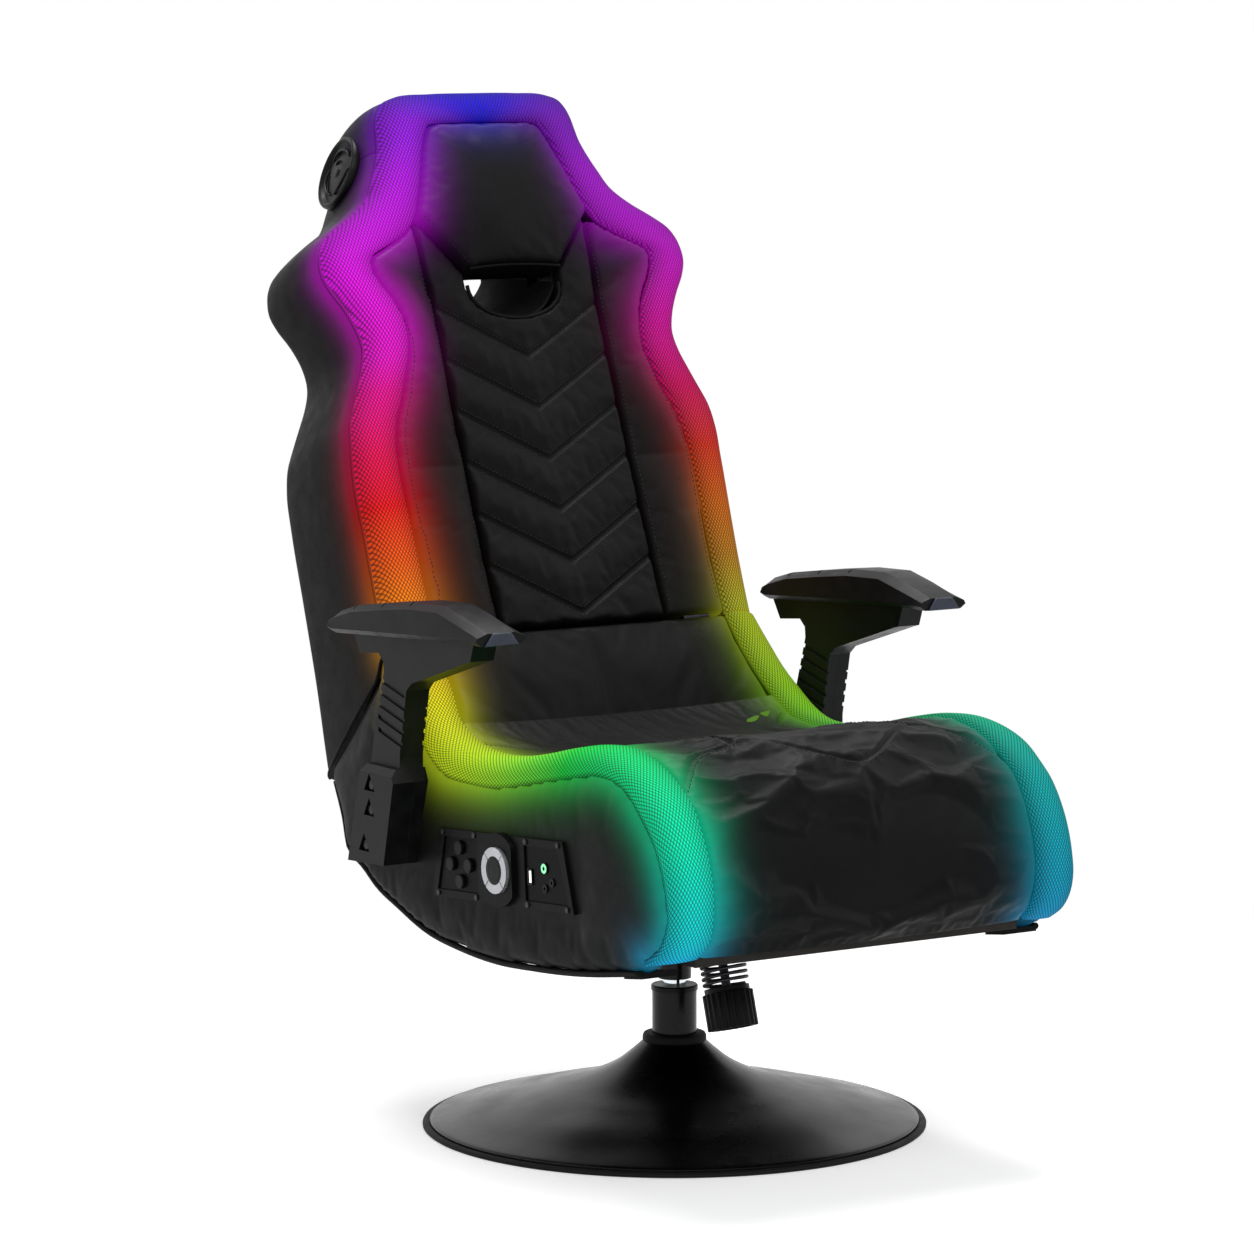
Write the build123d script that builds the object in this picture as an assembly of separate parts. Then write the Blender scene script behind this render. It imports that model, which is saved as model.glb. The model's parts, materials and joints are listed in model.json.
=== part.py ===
"""Pedestal gaming chair, in millimetres. +Z is up, the chair faces -Y, and the sitter's right is -X.
The origin is on the floor, on the swivel axis."""

from build123d import *
import math
import os

# Driving dimensions of the pedestal
BASE_RADIUS = 275.0
FLOOR_PLATE_THICKNESS = 7.0
EDGE_TRIM_WIDTH = 8.0
EDGE_TRIM_HEIGHT = 5.0
COVER_WALL = 2.0
NECK_RADIUS = 34.5
NECK_HEIGHT = 92.0
COLLAR_HEIGHT = 9.0
SLEEVE_RADIUS = 24.35
SLEEVE_WALL = 4.0
SLEEVE_TOP = 148.0
CAP_HEIGHT = 6.0
CAP_LIP = 1.2
CAP_PLUG_DEPTH = 22.0
WINDOW_WIDTH = 14.0
WINDOW_HEIGHT = 17.0
WINDOW_BOTTOM = 121.0
WINDOW_TURN_DEG = 41.0
THRUST_WASHER_HEIGHT = 6.0
POST_RADIUS = 12.85

# Driving dimensions of the tilt mechanism
HOUSING_BOSS_RADIUS = 18.5
HOUSING_BOSS_BOTTOM = 161.0
HOUSING_FLOOR = 196.0
HOUSING_HEIGHT = 34.0
HOUSING_HALF_WIDTH = 32.0
HOUSING_WALL = 4.0
HOUSING_FRONT = 50.0
HOUSING_BACK = 50.0
PIVOT_BACK_SET = 26.0
PIVOT_HEIGHT = 220.0
PIVOT_PIN_RADIUS = 6.0
BUSH_WALL = 2.5
BUSH_FLANGE = 1.5
NOSE_WIDTH = 56.0
NOSE_THICKNESS = 5.0
NOSE_FRONT_LENGTH = 34.0
TILT_SLOT_FRONT = 16.0
KNOB_LEAN_DEG = 17.0
KNOB_TOP_FORWARD = 101.0
KNOB_TOP_HEIGHT = 166.5
KNOB_RADIUS = 27.5
KNOB_LENGTH = 45.0
KNOB_RIB_COUNT = 22
KNOB_RIB_DEPTH = 1.8
KNOB_RIB_SHARE = 0.3
KNOB_NECK_LENGTH = 6.0
KNOB_NECK_RADIUS = 24.5
KNOB_DISH_DEPTH = 3.0
SPRING_LENGTH = 61.0
SPRING_OUTER_RADIUS = 25.5
SPRING_WIRE = 3.8
SPRING_TURNS = 9
SPRING_FINE = 24
BOLT_RADIUS = 5.0
BOSS_RADIUS = 11.0
SEAT_PLATE_HALF_WIDTH = 85.0
SEAT_PLATE_FRONT = 120.0
SEAT_PLATE_BACK = 80.0
SEAT_PLATE_THICKNESS = 5.0
SEAT_PLATE_BOTTOM = 241.0
EAR_WALL = 4.0
EAR_GAP = 1.0
EAR_RADIUS = 14.0
PIN_HALF_LENGTH = 42.0
PLATE_BOLT_RADIUS = 4.0
PLATE_BOLT_HEAD_RADIUS = 8.0
PLATE_BOLT_HEAD = 4.5

# Driving dimensions of the seat
SEAT_HALF_WIDTH = 255.0
SEAT_INNER_SHARE = 0.8
SEAT_INNER_HALF_WIDTH = SEAT_HALF_WIDTH * SEAT_INNER_SHARE
SEAT_DEPTH = 380.0
RIM_ROLL = 8.0
SEAT_LOW = 240.0
STRIP_THICKNESS = 12.0
STRIP_CROWN = 8.0
BOTTOM_BOARD_THICKNESS = 10.0
BOTTOM_BOARD_BACK = 190.0
SEAT_BOARD_THICKNESS = 14.0
SEAT_BOARD_TOP = 374.0
RIB_WIDTH = 18.0
RIB_SPACING = 150.0
RIB_REACH = 40.0
SEAM_WIDTH = 3.0
SEAM_DEPTH = 3.0

# Driving dimensions of the back
BACK_FOOT_Y = 182.0
BACK_FOOT_Z = 540.0
BACK_LEAN_DEG = 23.0
BACK_HEIGHT = 619.0
BACK_HALF_WIDTH = 240.5
BACK_DEPTH = 235.0
BACK_TAIL = 112.0
FOLD_SEAM = -10.0
FOLD_AXIS_DEPTH = 9.0
FOLD_KNEE_DEPTH = 40.0
FOLD_CREASE_DEG = 57.0
PARTING_GAP = 10.0
PARTING_DROP = 7.0
PARTING_SLOPE_DEG = 46.4
PANEL_HALF_WIDTH = 108.0
PANEL_TOP_HALF_WIDTH = 114.0
HEAD_PAD_HEIGHT = 150.0
STRIP_TOP_SHARE = 0.9354
SLOT_BELOW_SEAM = 65.0
SLOT_HALF_WIDTH = 60.0
SLOT_HEIGHT = 50.0
SLOT_WALL = 3.0
BOARD_DEPTH = 34.0
BOARD_THICKNESS = 6.0
FRAME_TUBE_RADIUS = 11.0
FRAME_TUBE_SPACING = 176.0
REAR_COVER_THICKNESS = 8.0
CHEVRON_COUNT = 6
CHEVRON_PITCH = 60.0
CHEVRON_FIRST = 3.0
CHEVRON_RISE = 62.0
CHEVRON_WIDTH = 9.0
CHEVRON_DEPTH = 5.0
HEAD_CROWN = 10.0
SPEAKER_RADIUS = 43.5
SPEAKER_BELOW_TOP = 64.0
SPEAKER_SET_BACK = 80.0
SPEAKER_PROUD = 6.0
SPEAKER_DRIVER_RADIUS = 33.0
SPEAKER_DRIVER_DEPTH = 34.0
HINGE_SPACING = 300.0
HINGE_LENGTH = 34.0
HINGE_RADIUS = 6.0
HINGE_PIN_RADIUS = 3.0
HINGE_PLATE = 3.0

# Driving dimensions of the arms
ARM_STAND_OFF = 20.5
ARM_THICKNESS = 29.0
ARM_PAD_LAP = 2.0
ARM_PAD_WIDTH = 62.0
ARM_PAD_REAR = 205.0
ARM_PAD_FRONT = 103.0
ARM_PAD_HEIGHT = 590.0
ARM_BOX_WIDTH = 48.0
ARM_FOOT = 293.0
ARM_BOLT_GRIP = 30.0
ARM_GROOVE_COUNT = 5
ARM_GROOVE_DEPTH = 2.0
ARM_POCKET_DEPTH = 5.0
ARM_BOLT_RADIUS = 4.0
ARM_BOLT_HEAD_RADIUS = 7.0
ARM_BOLT_HEAD = 5.0
BADGE_THICKNESS = 3.0

# Driving dimensions of the console
CONSOLE_FORWARD = 70.0
CONSOLE_HEIGHT = 314.0
CONSOLE_TURN_DEG = 4.0
CONSOLE_TOP_LENGTH = 244.0
CONSOLE_BOTTOM_LENGTH = 280.0
CONSOLE_WIDTH = 74.0
CONSOLE_PROUD = 10.0
CONSOLE_RECESS_DEPTH = 4.0
HUB_RADIUS = 39.0
HUB_PROUD = 15.0
RING_RADIUS = 24.5
RING_INNER_RADIUS = 15.2
RING_GAP = 1.2
KEY_PROUD = 4.0
KEY_TRAVEL = 1.5
CENTRE_BUTTON_RADIUS = 14.9
MODE_BUTTON_RADIUS = 7.5
MODE_BUTTON_RING = 18.0
JACK_RADIUS = 1.8
JACK_DEPTH = 14.0

# Clearances
FIT = 0.3
RUNNING_FIT = 0.05
SOFT_GAP = 0.4
OVERRUN = 20.0

LEAN_SIN = math.sin(math.radians(BACK_LEAN_DEG))
LEAN_COS = math.cos(math.radians(BACK_LEAN_DEG))
BACK_PLANE = Plane(origin=(0, BACK_FOOT_Y, BACK_FOOT_Z), x_dir=(1, 0, 0), z_dir=(0, -LEAN_COS, LEAN_SIN))


def on_back(x, up, out=0.0):
    """A point of the back: x across, up along the back from its foot, out towards the sitter."""
    return Vector(
        x,
        BACK_FOOT_Y + up * LEAN_SIN - out * LEAN_COS,
        BACK_FOOT_Z + up * LEAN_COS + out * LEAN_SIN,
    )


def on_parting(along, above):
    """A point of the line where the back unit parts from the seat, behind the fold."""
    return FOLD_AXIS + PARTING_WAY * along + PARTING_UP * (above - PARTING_DROP)


def ring_of(points):
    return Wire.make_polygon([Vector(*p) for p in points], close=True)


def ruled(sections):
    """A closed solid through polygons with the same number of corners."""
    return Solid.make_loft([ring_of(s) for s in sections], ruled=True)


def side_prism(points, low, high):
    """A polygon given as (y, z) points, carried across from x = low to x = high."""
    return extrude(Face(ring_of([(low, y, z) for y, z in points])), high - low, dir=(1, 0, 0))


def block(x, y, z):
    """A box between low and high values on each axis."""
    middle = Pos((x[0] + x[1]) / 2, (y[0] + y[1]) / 2, (z[0] + z[1]) / 2)
    return middle * Box(x[1] - x[0], y[1] - y[0], z[1] - z[0])


def back_block(x, up, out):
    """A box between low and high values along the back's own axes."""
    box = Pos((x[0] + x[1]) / 2, (up[0] + up[1]) / 2, (out[0] + out[1]) / 2) * Box(
        x[1] - x[0], up[1] - up[0], out[1] - out[0]
    )
    return BACK_PLANE.location * box


def turned(profile):
    """A solid of revolution about the swivel axis from (radius, height) points."""
    return revolve(Face(ring_of([(r, 0, z) for r, z in profile])), Axis.Z)


def upright(radius, low, high, inner=0.0):
    """A cylinder or tube about the swivel axis."""
    rod = Pos(0, 0, (low + high) / 2) * Cylinder(radius, high - low)
    if inner:
        rod = rod - Pos(0, 0, (low + high) / 2) * Cylinder(inner, high - low + OVERRUN)
    return rod


def rod_between(start, end, radius):
    """A cylinder from one point to another."""
    start, end = Vector(*start), Vector(*end)
    way = end - start
    plane = Plane(origin=start + way / 2, z_dir=way)
    return plane.location * Cylinder(radius, way.length)


def across(radius, low, high, y, z):
    """A cylinder along X."""
    return rod_between((low, y, z), (high, y, z), radius)


def mirrored(shape):
    return mirror(shape, about=Plane.YZ)


def lerp(a, b, share):
    return a + (b - a) * share


def between(table, at, column):
    """The value of a column of a table at a place in its first column, in straight runs."""
    for low, high in zip(table, table[1:]):
        if low[0] <= at <= high[0]:
            return lerp(low[column], high[column], (at - low[0]) / (high[0] - low[0]))
    return table[0][column] if at < table[0][0] else table[-1][column]


# Places that follow from the sizes above
KNOB_DOWN = Vector(0, -math.sin(math.radians(KNOB_LEAN_DEG)), -math.cos(math.radians(KNOB_LEAN_DEG)))
KNOB_TOP = Vector(0, -KNOB_TOP_FORWARD, KNOB_TOP_HEIGHT)
SPRING_TOP = KNOB_TOP - KNOB_DOWN * SPRING_LENGTH
NOSE_TOP = SPRING_TOP - KNOB_DOWN * NOSE_THICKNESS
STRIP_TOP = STRIP_TOP_SHARE * BACK_HEIGHT
HEAD_SEAM = BACK_HEIGHT - HEAD_PAD_HEIGHT
SLOT_TOP = HEAD_SEAM - SLOT_BELOW_SEAM
SPEAKER_AT = BACK_HEIGHT - SPEAKER_BELOW_TOP
ARM_CENTRE = SEAT_HALF_WIDTH + ARM_STAND_OFF
ARM_PAD_INNER = SEAT_HALF_WIDTH - ARM_PAD_LAP
ARM_PAD_OUTER = ARM_PAD_INNER + ARM_PAD_WIDTH
ARM_BOX_OUTER = SEAT_HALF_WIDTH + ARM_BOX_WIDTH
SEAT_PLATE_TOP = SEAT_PLATE_BOTTOM + SEAT_PLATE_THICKNESS
BOTTOM_BOARD_TOP = SEAT_PLATE_TOP + BOTTOM_BOARD_THICKNESS
SEAT_BOARD_BOTTOM = SEAT_BOARD_TOP - SEAT_BOARD_THICKNESS
FOLD_AXIS = on_back(0, FOLD_SEAM, -FOLD_AXIS_DEPTH)
FOLD_KNEE = on_back(0, FOLD_SEAM, -FOLD_KNEE_DEPTH)
PARTING_WAY = Vector(
    0, math.cos(math.radians(PARTING_SLOPE_DEG)), -math.sin(math.radians(PARTING_SLOPE_DEG))
)
PARTING_UP = Vector(
    0, math.sin(math.radians(PARTING_SLOPE_DEG)), math.cos(math.radians(PARTING_SLOPE_DEG))
)


# Back outline: up as a share of the height, outer and inner edge of the lit strip as shares of the half
# width, then how far the outer and inner edges stand out, and the depth of the back there, as shares of
# the depth.
BACK_SHARES = [
    (-0.1810, 0.985, 0.795, -0.150, -0.012, 1.000),
    (-0.0162, 0.985, 0.795, -0.150, -0.012, 0.972),
    (0.0970, 0.988, 0.794, -0.130, -0.012, 0.905),
    (0.1940, 0.994, 0.796, -0.106, -0.008, 0.860),
    (0.2860, 1.000, 0.800, -0.085, -0.004, 0.820),
    (0.3470, 0.994, 0.786, -0.055, 0.000, 0.795),
    (0.3880, 0.977, 0.757, -0.047, 0.004, 0.770),
    (0.4230, 0.940, 0.715, -0.042, 0.012, 0.745),
    (0.4600, 0.898, 0.682, -0.034, 0.022, 0.715),
    (0.4910, 0.864, 0.653, -0.026, 0.034, 0.690),
    (0.5270, 0.844, 0.639, -0.017, 0.055, 0.665),
    (0.5590, 0.861, 0.649, -0.012, 0.076, 0.645),
    (0.5980, 0.906, 0.690, -0.004, 0.085, 0.632),
    (0.6330, 0.960, 0.744, 0.000, 0.085, 0.628),
    (0.6590, 0.985, 0.765, 0.000, 0.085, 0.626),
    (0.6850, 0.985, 0.744, 0.000, 0.085, 0.622),
    (0.7040, 0.975, 0.649, 0.000, 0.085, 0.615),
    (0.7290, 0.935, 0.541, 0.000, 0.085, 0.605),
    (0.7480, 0.869, 0.491, 0.000, 0.085, 0.595),
    (0.7720, 0.769, 0.459, 0.000, 0.085, 0.582),
    (0.8000, 0.678, 0.432, 0.000, 0.085, 0.568),
    (0.8400, 0.615, 0.397, 0.000, 0.085, 0.555),
    (0.8800, 0.566, 0.366, 0.000, 0.085, 0.548),
    (0.9080, 0.541, 0.337, 0.000, 0.085, 0.540),
    (0.9240, 0.534, 0.299, 0.000, 0.085, 0.535),
    (STRIP_TOP_SHARE, 0.530, 0.258, 0.000, 0.085, 0.530),
]
CROWN_SHARES = [
    (STRIP_TOP_SHARE, 0.530, 0.085, 0.530),
    (0.9660, 0.511, 0.062, 0.505),
    (0.9855, 0.474, 0.030, 0.440),
    (1.0000, 0.428, 0.004, 0.300),
]
BACK_ROWS = [
    (
        up * BACK_HEIGHT,
        outer * BACK_HALF_WIDTH,
        inner * BACK_HALF_WIDTH,
        out_outer * BACK_DEPTH,
        out_inner * BACK_DEPTH,
        depth * BACK_DEPTH,
    )
    for up, outer, inner, out_outer, out_inner, depth in BACK_SHARES
]
CROWN_ROWS = [
    (up * BACK_HEIGHT, half * BACK_HALF_WIDTH, out * BACK_DEPTH, depth * BACK_DEPTH)
    for up, half, out, depth in CROWN_SHARES
]
STRIP_EDGE = 8.0
STRIP_CORNER_SHARE = 0.28
STRIP_CROWN_SHARE = 0.25
TAPE_START_SHARE = 0.4
TAPE_END_SHARE = 0.6
TAPE_THICKNESS = 1.5
REAR_CHAMFER = 20.0


def rows_from(low, high):
    """The back's rows between two heights, with a row made at each end."""
    def row_at(up):
        return (up, *[between(BACK_ROWS, up, column) for column in range(1, len(BACK_ROWS[0]))])

    inside = [row for row in BACK_ROWS if low < row[0] < high]
    return [row_at(low), *inside, row_at(high)]


def strip_under(row):
    """How far out the strip's underside lies at its outer and inner edges."""
    return row[3] - STRIP_EDGE, row[4] - STRIP_THICKNESS


def back_strip_side():
    """The right-hand run of the lit strip and the tape in its back, as lofts up the back."""
    strips, tapes = [], []
    for row in rows_from(FOLD_SEAM + SOFT_GAP, STRIP_TOP):
        up, outer, inner, out_outer, out_inner, _ = row
        under_outer, under_inner = strip_under(row)
        corner = lerp(outer, inner, STRIP_CORNER_SHARE)
        rise = STRIP_CROWN * STRIP_CROWN_SHARE
        out_corner = lerp(out_outer, out_inner, 1 - STRIP_CORNER_SHARE) + rise
        channel = []
        for share, lift in (
            (TAPE_START_SHARE, 0),
            (TAPE_START_SHARE, TAPE_THICKNESS),
            (TAPE_END_SHARE, TAPE_THICKNESS),
            (TAPE_END_SHARE, 0),
        ):
            under = lerp(under_outer, under_inner, share) + lift
            channel.append(on_back(-lerp(outer, inner, share), up, under))
        low = [
            on_back(-lerp(outer, inner, share), up, lerp(under_outer, under_inner, share) + FIT)
            for share in (TAPE_START_SHARE, TAPE_END_SHARE)
        ]
        front = [(-inner, out_inner), (-corner, out_corner), (-outer, out_outer), (-outer, under_outer)]
        back_edge = on_back(-inner, up, under_inner)
        strips.append([on_back(x, up, out) for x, out in front] + channel + [back_edge])
        tapes.append([low[0], channel[1], channel[2], low[1]])
    return ruled(strips), ruled(tapes)


def back_side():
    """The padded side under the strip, from the strip back to the rear cover."""
    sections = []
    for row in rows_from(-BACK_TAIL, STRIP_TOP):
        up, outer, inner, _, _, depth = row
        under_outer, under_inner = strip_under(row)
        sections.append(
            [
                on_back(-outer, up, under_outer),
                on_back(-inner, up, under_inner),
                on_back(-inner, up, -depth),
                on_back(-outer + REAR_CHAMFER, up, -depth),
                on_back(-outer, up, REAR_CHAMFER - depth),
            ]
        )
    return ruled(sections)


def fold_zone(lower=0):
    """The side view of the back unit's space, behind and above the fold and the parting line."""
    start = on_back(0, FOLD_SEAM + SOFT_GAP - lower, OVERRUN * 2)
    knee = on_back(0, FOLD_SEAM + SOFT_GAP - lower, -FOLD_KNEE_DEPTH)
    turn = on_parting(FOLD_KNEE_DEPTH + OVERRUN, PARTING_GAP / 2 - lower)
    tail = on_parting(BACK_DEPTH + OVERRUN, PARTING_GAP / 2 - lower)
    top = on_back(0, BACK_HEIGHT + OVERRUN, -BACK_DEPTH)
    front = on_back(0, BACK_HEIGHT + OVERRUN, OVERRUN * 2)
    points = [start, knee, turn, tail, top, front]
    return side_prism([(p.Y, p.Z) for p in points], -BACK_HALF_WIDTH - OVERRUN, BACK_HALF_WIDTH + OVERRUN)


def fold_groove():
    """The crease in front of the fold axis: the two pads meet there like two rolls."""
    wide = (FOLD_AXIS_DEPTH + OVERRUN) * math.tan(math.radians(FOLD_CREASE_DEG))
    upper = on_back(0, FOLD_SEAM + wide, OVERRUN)
    lower = on_back(0, FOLD_SEAM - wide, OVERRUN)
    corners = [(p.Y, p.Z) for p in (FOLD_AXIS, upper, lower)]
    return side_prism(corners, -BACK_HALF_WIDTH - OVERRUN, BACK_HALF_WIDTH + OVERRUN)


def panel_half(up):
    """Half the width of the chevron panel, which spreads beside the head pad."""
    start = SLOT_TOP - SLOT_HEIGHT
    share = max(0.0, min(1.0, (up - start) / (HEAD_SEAM - start)))
    return lerp(PANEL_HALF_WIDTH, PANEL_TOP_HALF_WIDTH, share)


PANEL_RISE = 8.0
PANEL_ROLL = 4.0
BOARD_FRONT = -BOARD_DEPTH


def panel_out(up):
    """How far out the chevron panel stands: it rises a little towards the head."""
    start = CHEVRON_COUNT * CHEVRON_PITCH
    share = max(0.0, min(1.0, (up - start / 2) / (HEAD_SEAM - start / 2)))
    return PANEL_RISE * share


def slot_profile(grow):
    """The neck slot seen from the front: a flat top over a half moon."""
    top = on_back(0, SLOT_TOP, 0).Z + grow
    half = SLOT_HALF_WIDTH + grow
    drop = SLOT_HEIGHT + grow * 2
    shoulder = drop / 4
    low = top - drop
    line = Polyline((-half, top - shoulder), (-half, top), (half, top), (half, top - shoulder))
    moon = ThreePointArc((half, top - shoulder), (0, low), (-half, top - shoulder))
    return Face(Wire([*line.edges(), *moon.edges()]))


def slot_tunnel(grow):
    """The slot carried level through the back."""
    front = on_back(0, SLOT_TOP, 0).Y - OVERRUN * 3
    face = Plane(origin=(0, front, 0), x_dir=(1, 0, 0), z_dir=(0, -1, 0)).location * slot_profile(grow)
    return extrude(face, BACK_DEPTH + OVERRUN * 3, dir=(0, 1, 0))


def head_trapezoid(gap):
    """The head pad's lower end, as a prism that clears the chevron panel."""
    corners = [
        (-SLOT_HALF_WIDTH - gap, SLOT_TOP - gap),
        (SLOT_HALF_WIDTH + gap, SLOT_TOP - gap),
        (PANEL_TOP_HALF_WIDTH + gap, HEAD_SEAM + gap),
        (-PANEL_TOP_HALF_WIDTH - gap, HEAD_SEAM + gap),
    ]
    face = Face(ring_of([on_back(x, up, -BOARD_DEPTH - OVERRUN) for x, up in corners]))
    return extrude(face, BOARD_DEPTH + OVERRUN * 3, dir=tuple(BACK_PLANE.z_dir))


def chevron_cut(tip_up):
    """One sewn V: two wedge channels that meet at the centre."""
    reach = PANEL_HALF_WIDTH + OVERRUN
    rise = CHEVRON_RISE * reach / PANEL_HALF_WIDTH
    half = CHEVRON_WIDTH / 2
    legs = []
    for side in (-1, 1):
        start, end = (0.0, tip_up), (side * reach, tip_up + rise)
        base = panel_out(tip_up + rise / 2)
        wedge = [
            [
                on_back(x, up - half, base + PANEL_ROLL),
                on_back(x, up, base - CHEVRON_DEPTH),
                on_back(x, up + half, base + PANEL_ROLL),
            ]
            for x, up in (start, end)
        ]
        legs.append(ruled(wedge))
    return legs


def chevron_panel():
    """The sewn panel between the bolsters, up to the head pad, with its neck slot."""
    sections = []
    marks = [n * CHEVRON_PITCH for n in range(1, CHEVRON_COUNT + 2)]
    stops = [FOLD_SEAM + SOFT_GAP] + [up for up in marks if up < HEAD_SEAM - PANEL_ROLL] + [HEAD_SEAM]
    for up in stops:
        half, out = panel_half(up), panel_out(up)
        sections.append(
            [
                on_back(-half, up, out - PANEL_ROLL),
                on_back(-half + PANEL_ROLL * 3, up, out),
                on_back(half - PANEL_ROLL * 3, up, out),
                on_back(half, up, out - PANEL_ROLL),
                on_back(half, up, BOARD_FRONT),
                on_back(-half, up, BOARD_FRONT),
            ]
        )
    panel = ruled(sections)
    for n in range(CHEVRON_COUNT):
        for leg in chevron_cut(CHEVRON_FIRST + n * CHEVRON_PITCH):
            panel = panel - leg
    panel = panel - head_trapezoid(SOFT_GAP) - slot_tunnel(SLOT_WALL)
    return panel - fold_groove()


def bolster():
    """The plain pad between the chevron panel and the strip."""
    top = HEAD_SEAM - OVERRUN
    sections = []
    for row in rows_from(FOLD_SEAM + SOFT_GAP, top):
        up, _, inner, _, out_inner, _ = row
        near, far = panel_half(up) + SOFT_GAP, inner - SOFT_GAP
        out = panel_out(up)
        middle = (near + far) / 2
        sections.append(
            [
                on_back(-near, up, out - PANEL_ROLL),
                on_back(-middle, up, (out + out_inner) / 2 + PANEL_ROLL / 2),
                on_back(-far, up, out_inner - PANEL_ROLL / 2),
                on_back(-far, up, BOARD_FRONT),
                on_back(-near, up, BOARD_FRONT),
            ]
        )
    return ruled(sections) - fold_groove()


def head_half(up):
    """Half the width of the head pad."""
    if up < HEAD_SEAM:
        share = (up - SLOT_TOP) / (HEAD_SEAM - SLOT_TOP)
        return lerp(SLOT_HALF_WIDTH, PANEL_TOP_HALF_WIDTH, share) - SOFT_GAP
    return between(BACK_ROWS, up, 2) - SOFT_GAP


HEAD_SWELL_SHARE = 0.18
HEAD_SHOULDER_SHARE = 0.55
HEAD_SHOULDER_RISE_SHARE = 0.8


def head_pad():
    """The crowned pad inside the strip's top bend."""
    low, high = SLOT_TOP + SOFT_GAP, STRIP_TOP - SOFT_GAP
    edge = between(BACK_ROWS, HEAD_SEAM, 4)
    sections = []
    for row in rows_from(low, high):
        up = row[0]
        share = (up - low) / (high - low)
        half = min(head_half(up), row[2] - SOFT_GAP)
        swell = HEAD_CROWN * math.sin(math.pi * min(1.0, share + HEAD_SWELL_SHARE))
        shoulder, rise = half * HEAD_SHOULDER_SHARE, swell * HEAD_SHOULDER_RISE_SHARE
        sections.append(
            [
                on_back(-half, up, edge - PANEL_ROLL),
                on_back(-shoulder, up, edge + rise),
                on_back(0, up, edge + swell),
                on_back(shoulder, up, edge + rise),
                on_back(half, up, edge - PANEL_ROLL),
                on_back(half, up, BOARD_FRONT),
                on_back(-half, up, BOARD_FRONT),
            ]
        )
    return ruled(sections)


CROWN_CORNER_SHARE = 0.1


def crown_strip():
    """The lit strip's run over the top of the head."""
    sections = []
    corner = BACK_DEPTH * CROWN_CORNER_SHARE
    for up, half, out, _ in CROWN_ROWS:
        sections.append(
            [
                on_back(-half, up, 0),
                on_back(-half + corner, up, out),
                on_back(half - corner, up, out),
                on_back(half, up, 0),
                on_back(half, up, -STRIP_EDGE),
                on_back(-half, up, -STRIP_EDGE),
            ]
        )
    return ruled(sections)


def crown_block():
    """The head's top, under the crown of the strip."""
    sections = []
    for up, half, _, depth in CROWN_ROWS:
        sections.append(
            [
                on_back(-half, up, -STRIP_EDGE),
                on_back(half, up, -STRIP_EDGE),
                on_back(half, up, REAR_CHAMFER - depth),
                on_back(half - REAR_CHAMFER, up, -depth),
                on_back(-half + REAR_CHAMFER, up, -depth),
                on_back(-half, up, REAR_CHAMFER - depth),
            ]
        )
    return ruled(sections)


def rear_cover():
    """The back's rear panel, closed below along the parting line."""
    sections = []
    for row in rows_from(-BACK_TAIL, STRIP_TOP):
        up, _, inner, _, _, depth = row
        half = inner - SOFT_GAP
        sections.append(
            [
                on_back(-half, up, -depth),
                on_back(half, up, -depth),
                on_back(half, up, REAR_COVER_THICKNESS - depth),
                on_back(-half, up, REAR_COVER_THICKNESS - depth),
            ]
        )
    cover = ruled(sections)
    half = BACK_ROWS[0][2] - SOFT_GAP
    start = on_parting(FOLD_KNEE_DEPTH + OVERRUN * 2, PARTING_GAP / 2)
    end = on_parting(BACK_DEPTH + OVERRUN, PARTING_GAP / 2)
    lift = PARTING_UP * REAR_COVER_THICKNESS
    corners = [start, end, end + lift, start + lift]
    floor = side_prism([(p.Y, p.Z) for p in corners], -half, half)
    keep = back_block((-half, half), (-BACK_TAIL - OVERRUN, BACK_HEIGHT), (-BACK_ROWS[0][5], OVERRUN))
    cover = (cover & fold_zone()) + (floor & keep)
    return cover - slot_tunnel(SLOT_WALL + FIT)


def slot_liner():
    """The neck slot's tunnel, cut off at the pads in front and at the rear cover."""
    tunnel = slot_tunnel(SLOT_WALL) - slot_tunnel(0)
    rear = REAR_COVER_THICKNESS / 2 - between(BACK_ROWS, SLOT_TOP, 5)
    keep = back_block((-BACK_HALF_WIDTH, BACK_HALF_WIDTH), (0, BACK_HEIGHT), (rear, -PANEL_ROLL))
    return (tunnel & keep) - head_trapezoid(SOFT_GAP)


FRAME_FOOT = 30.0
CROSSBAR_HEIGHTS_SHARES = (0.01, 0.76)
WELD_SHARE = 0.8


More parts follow.
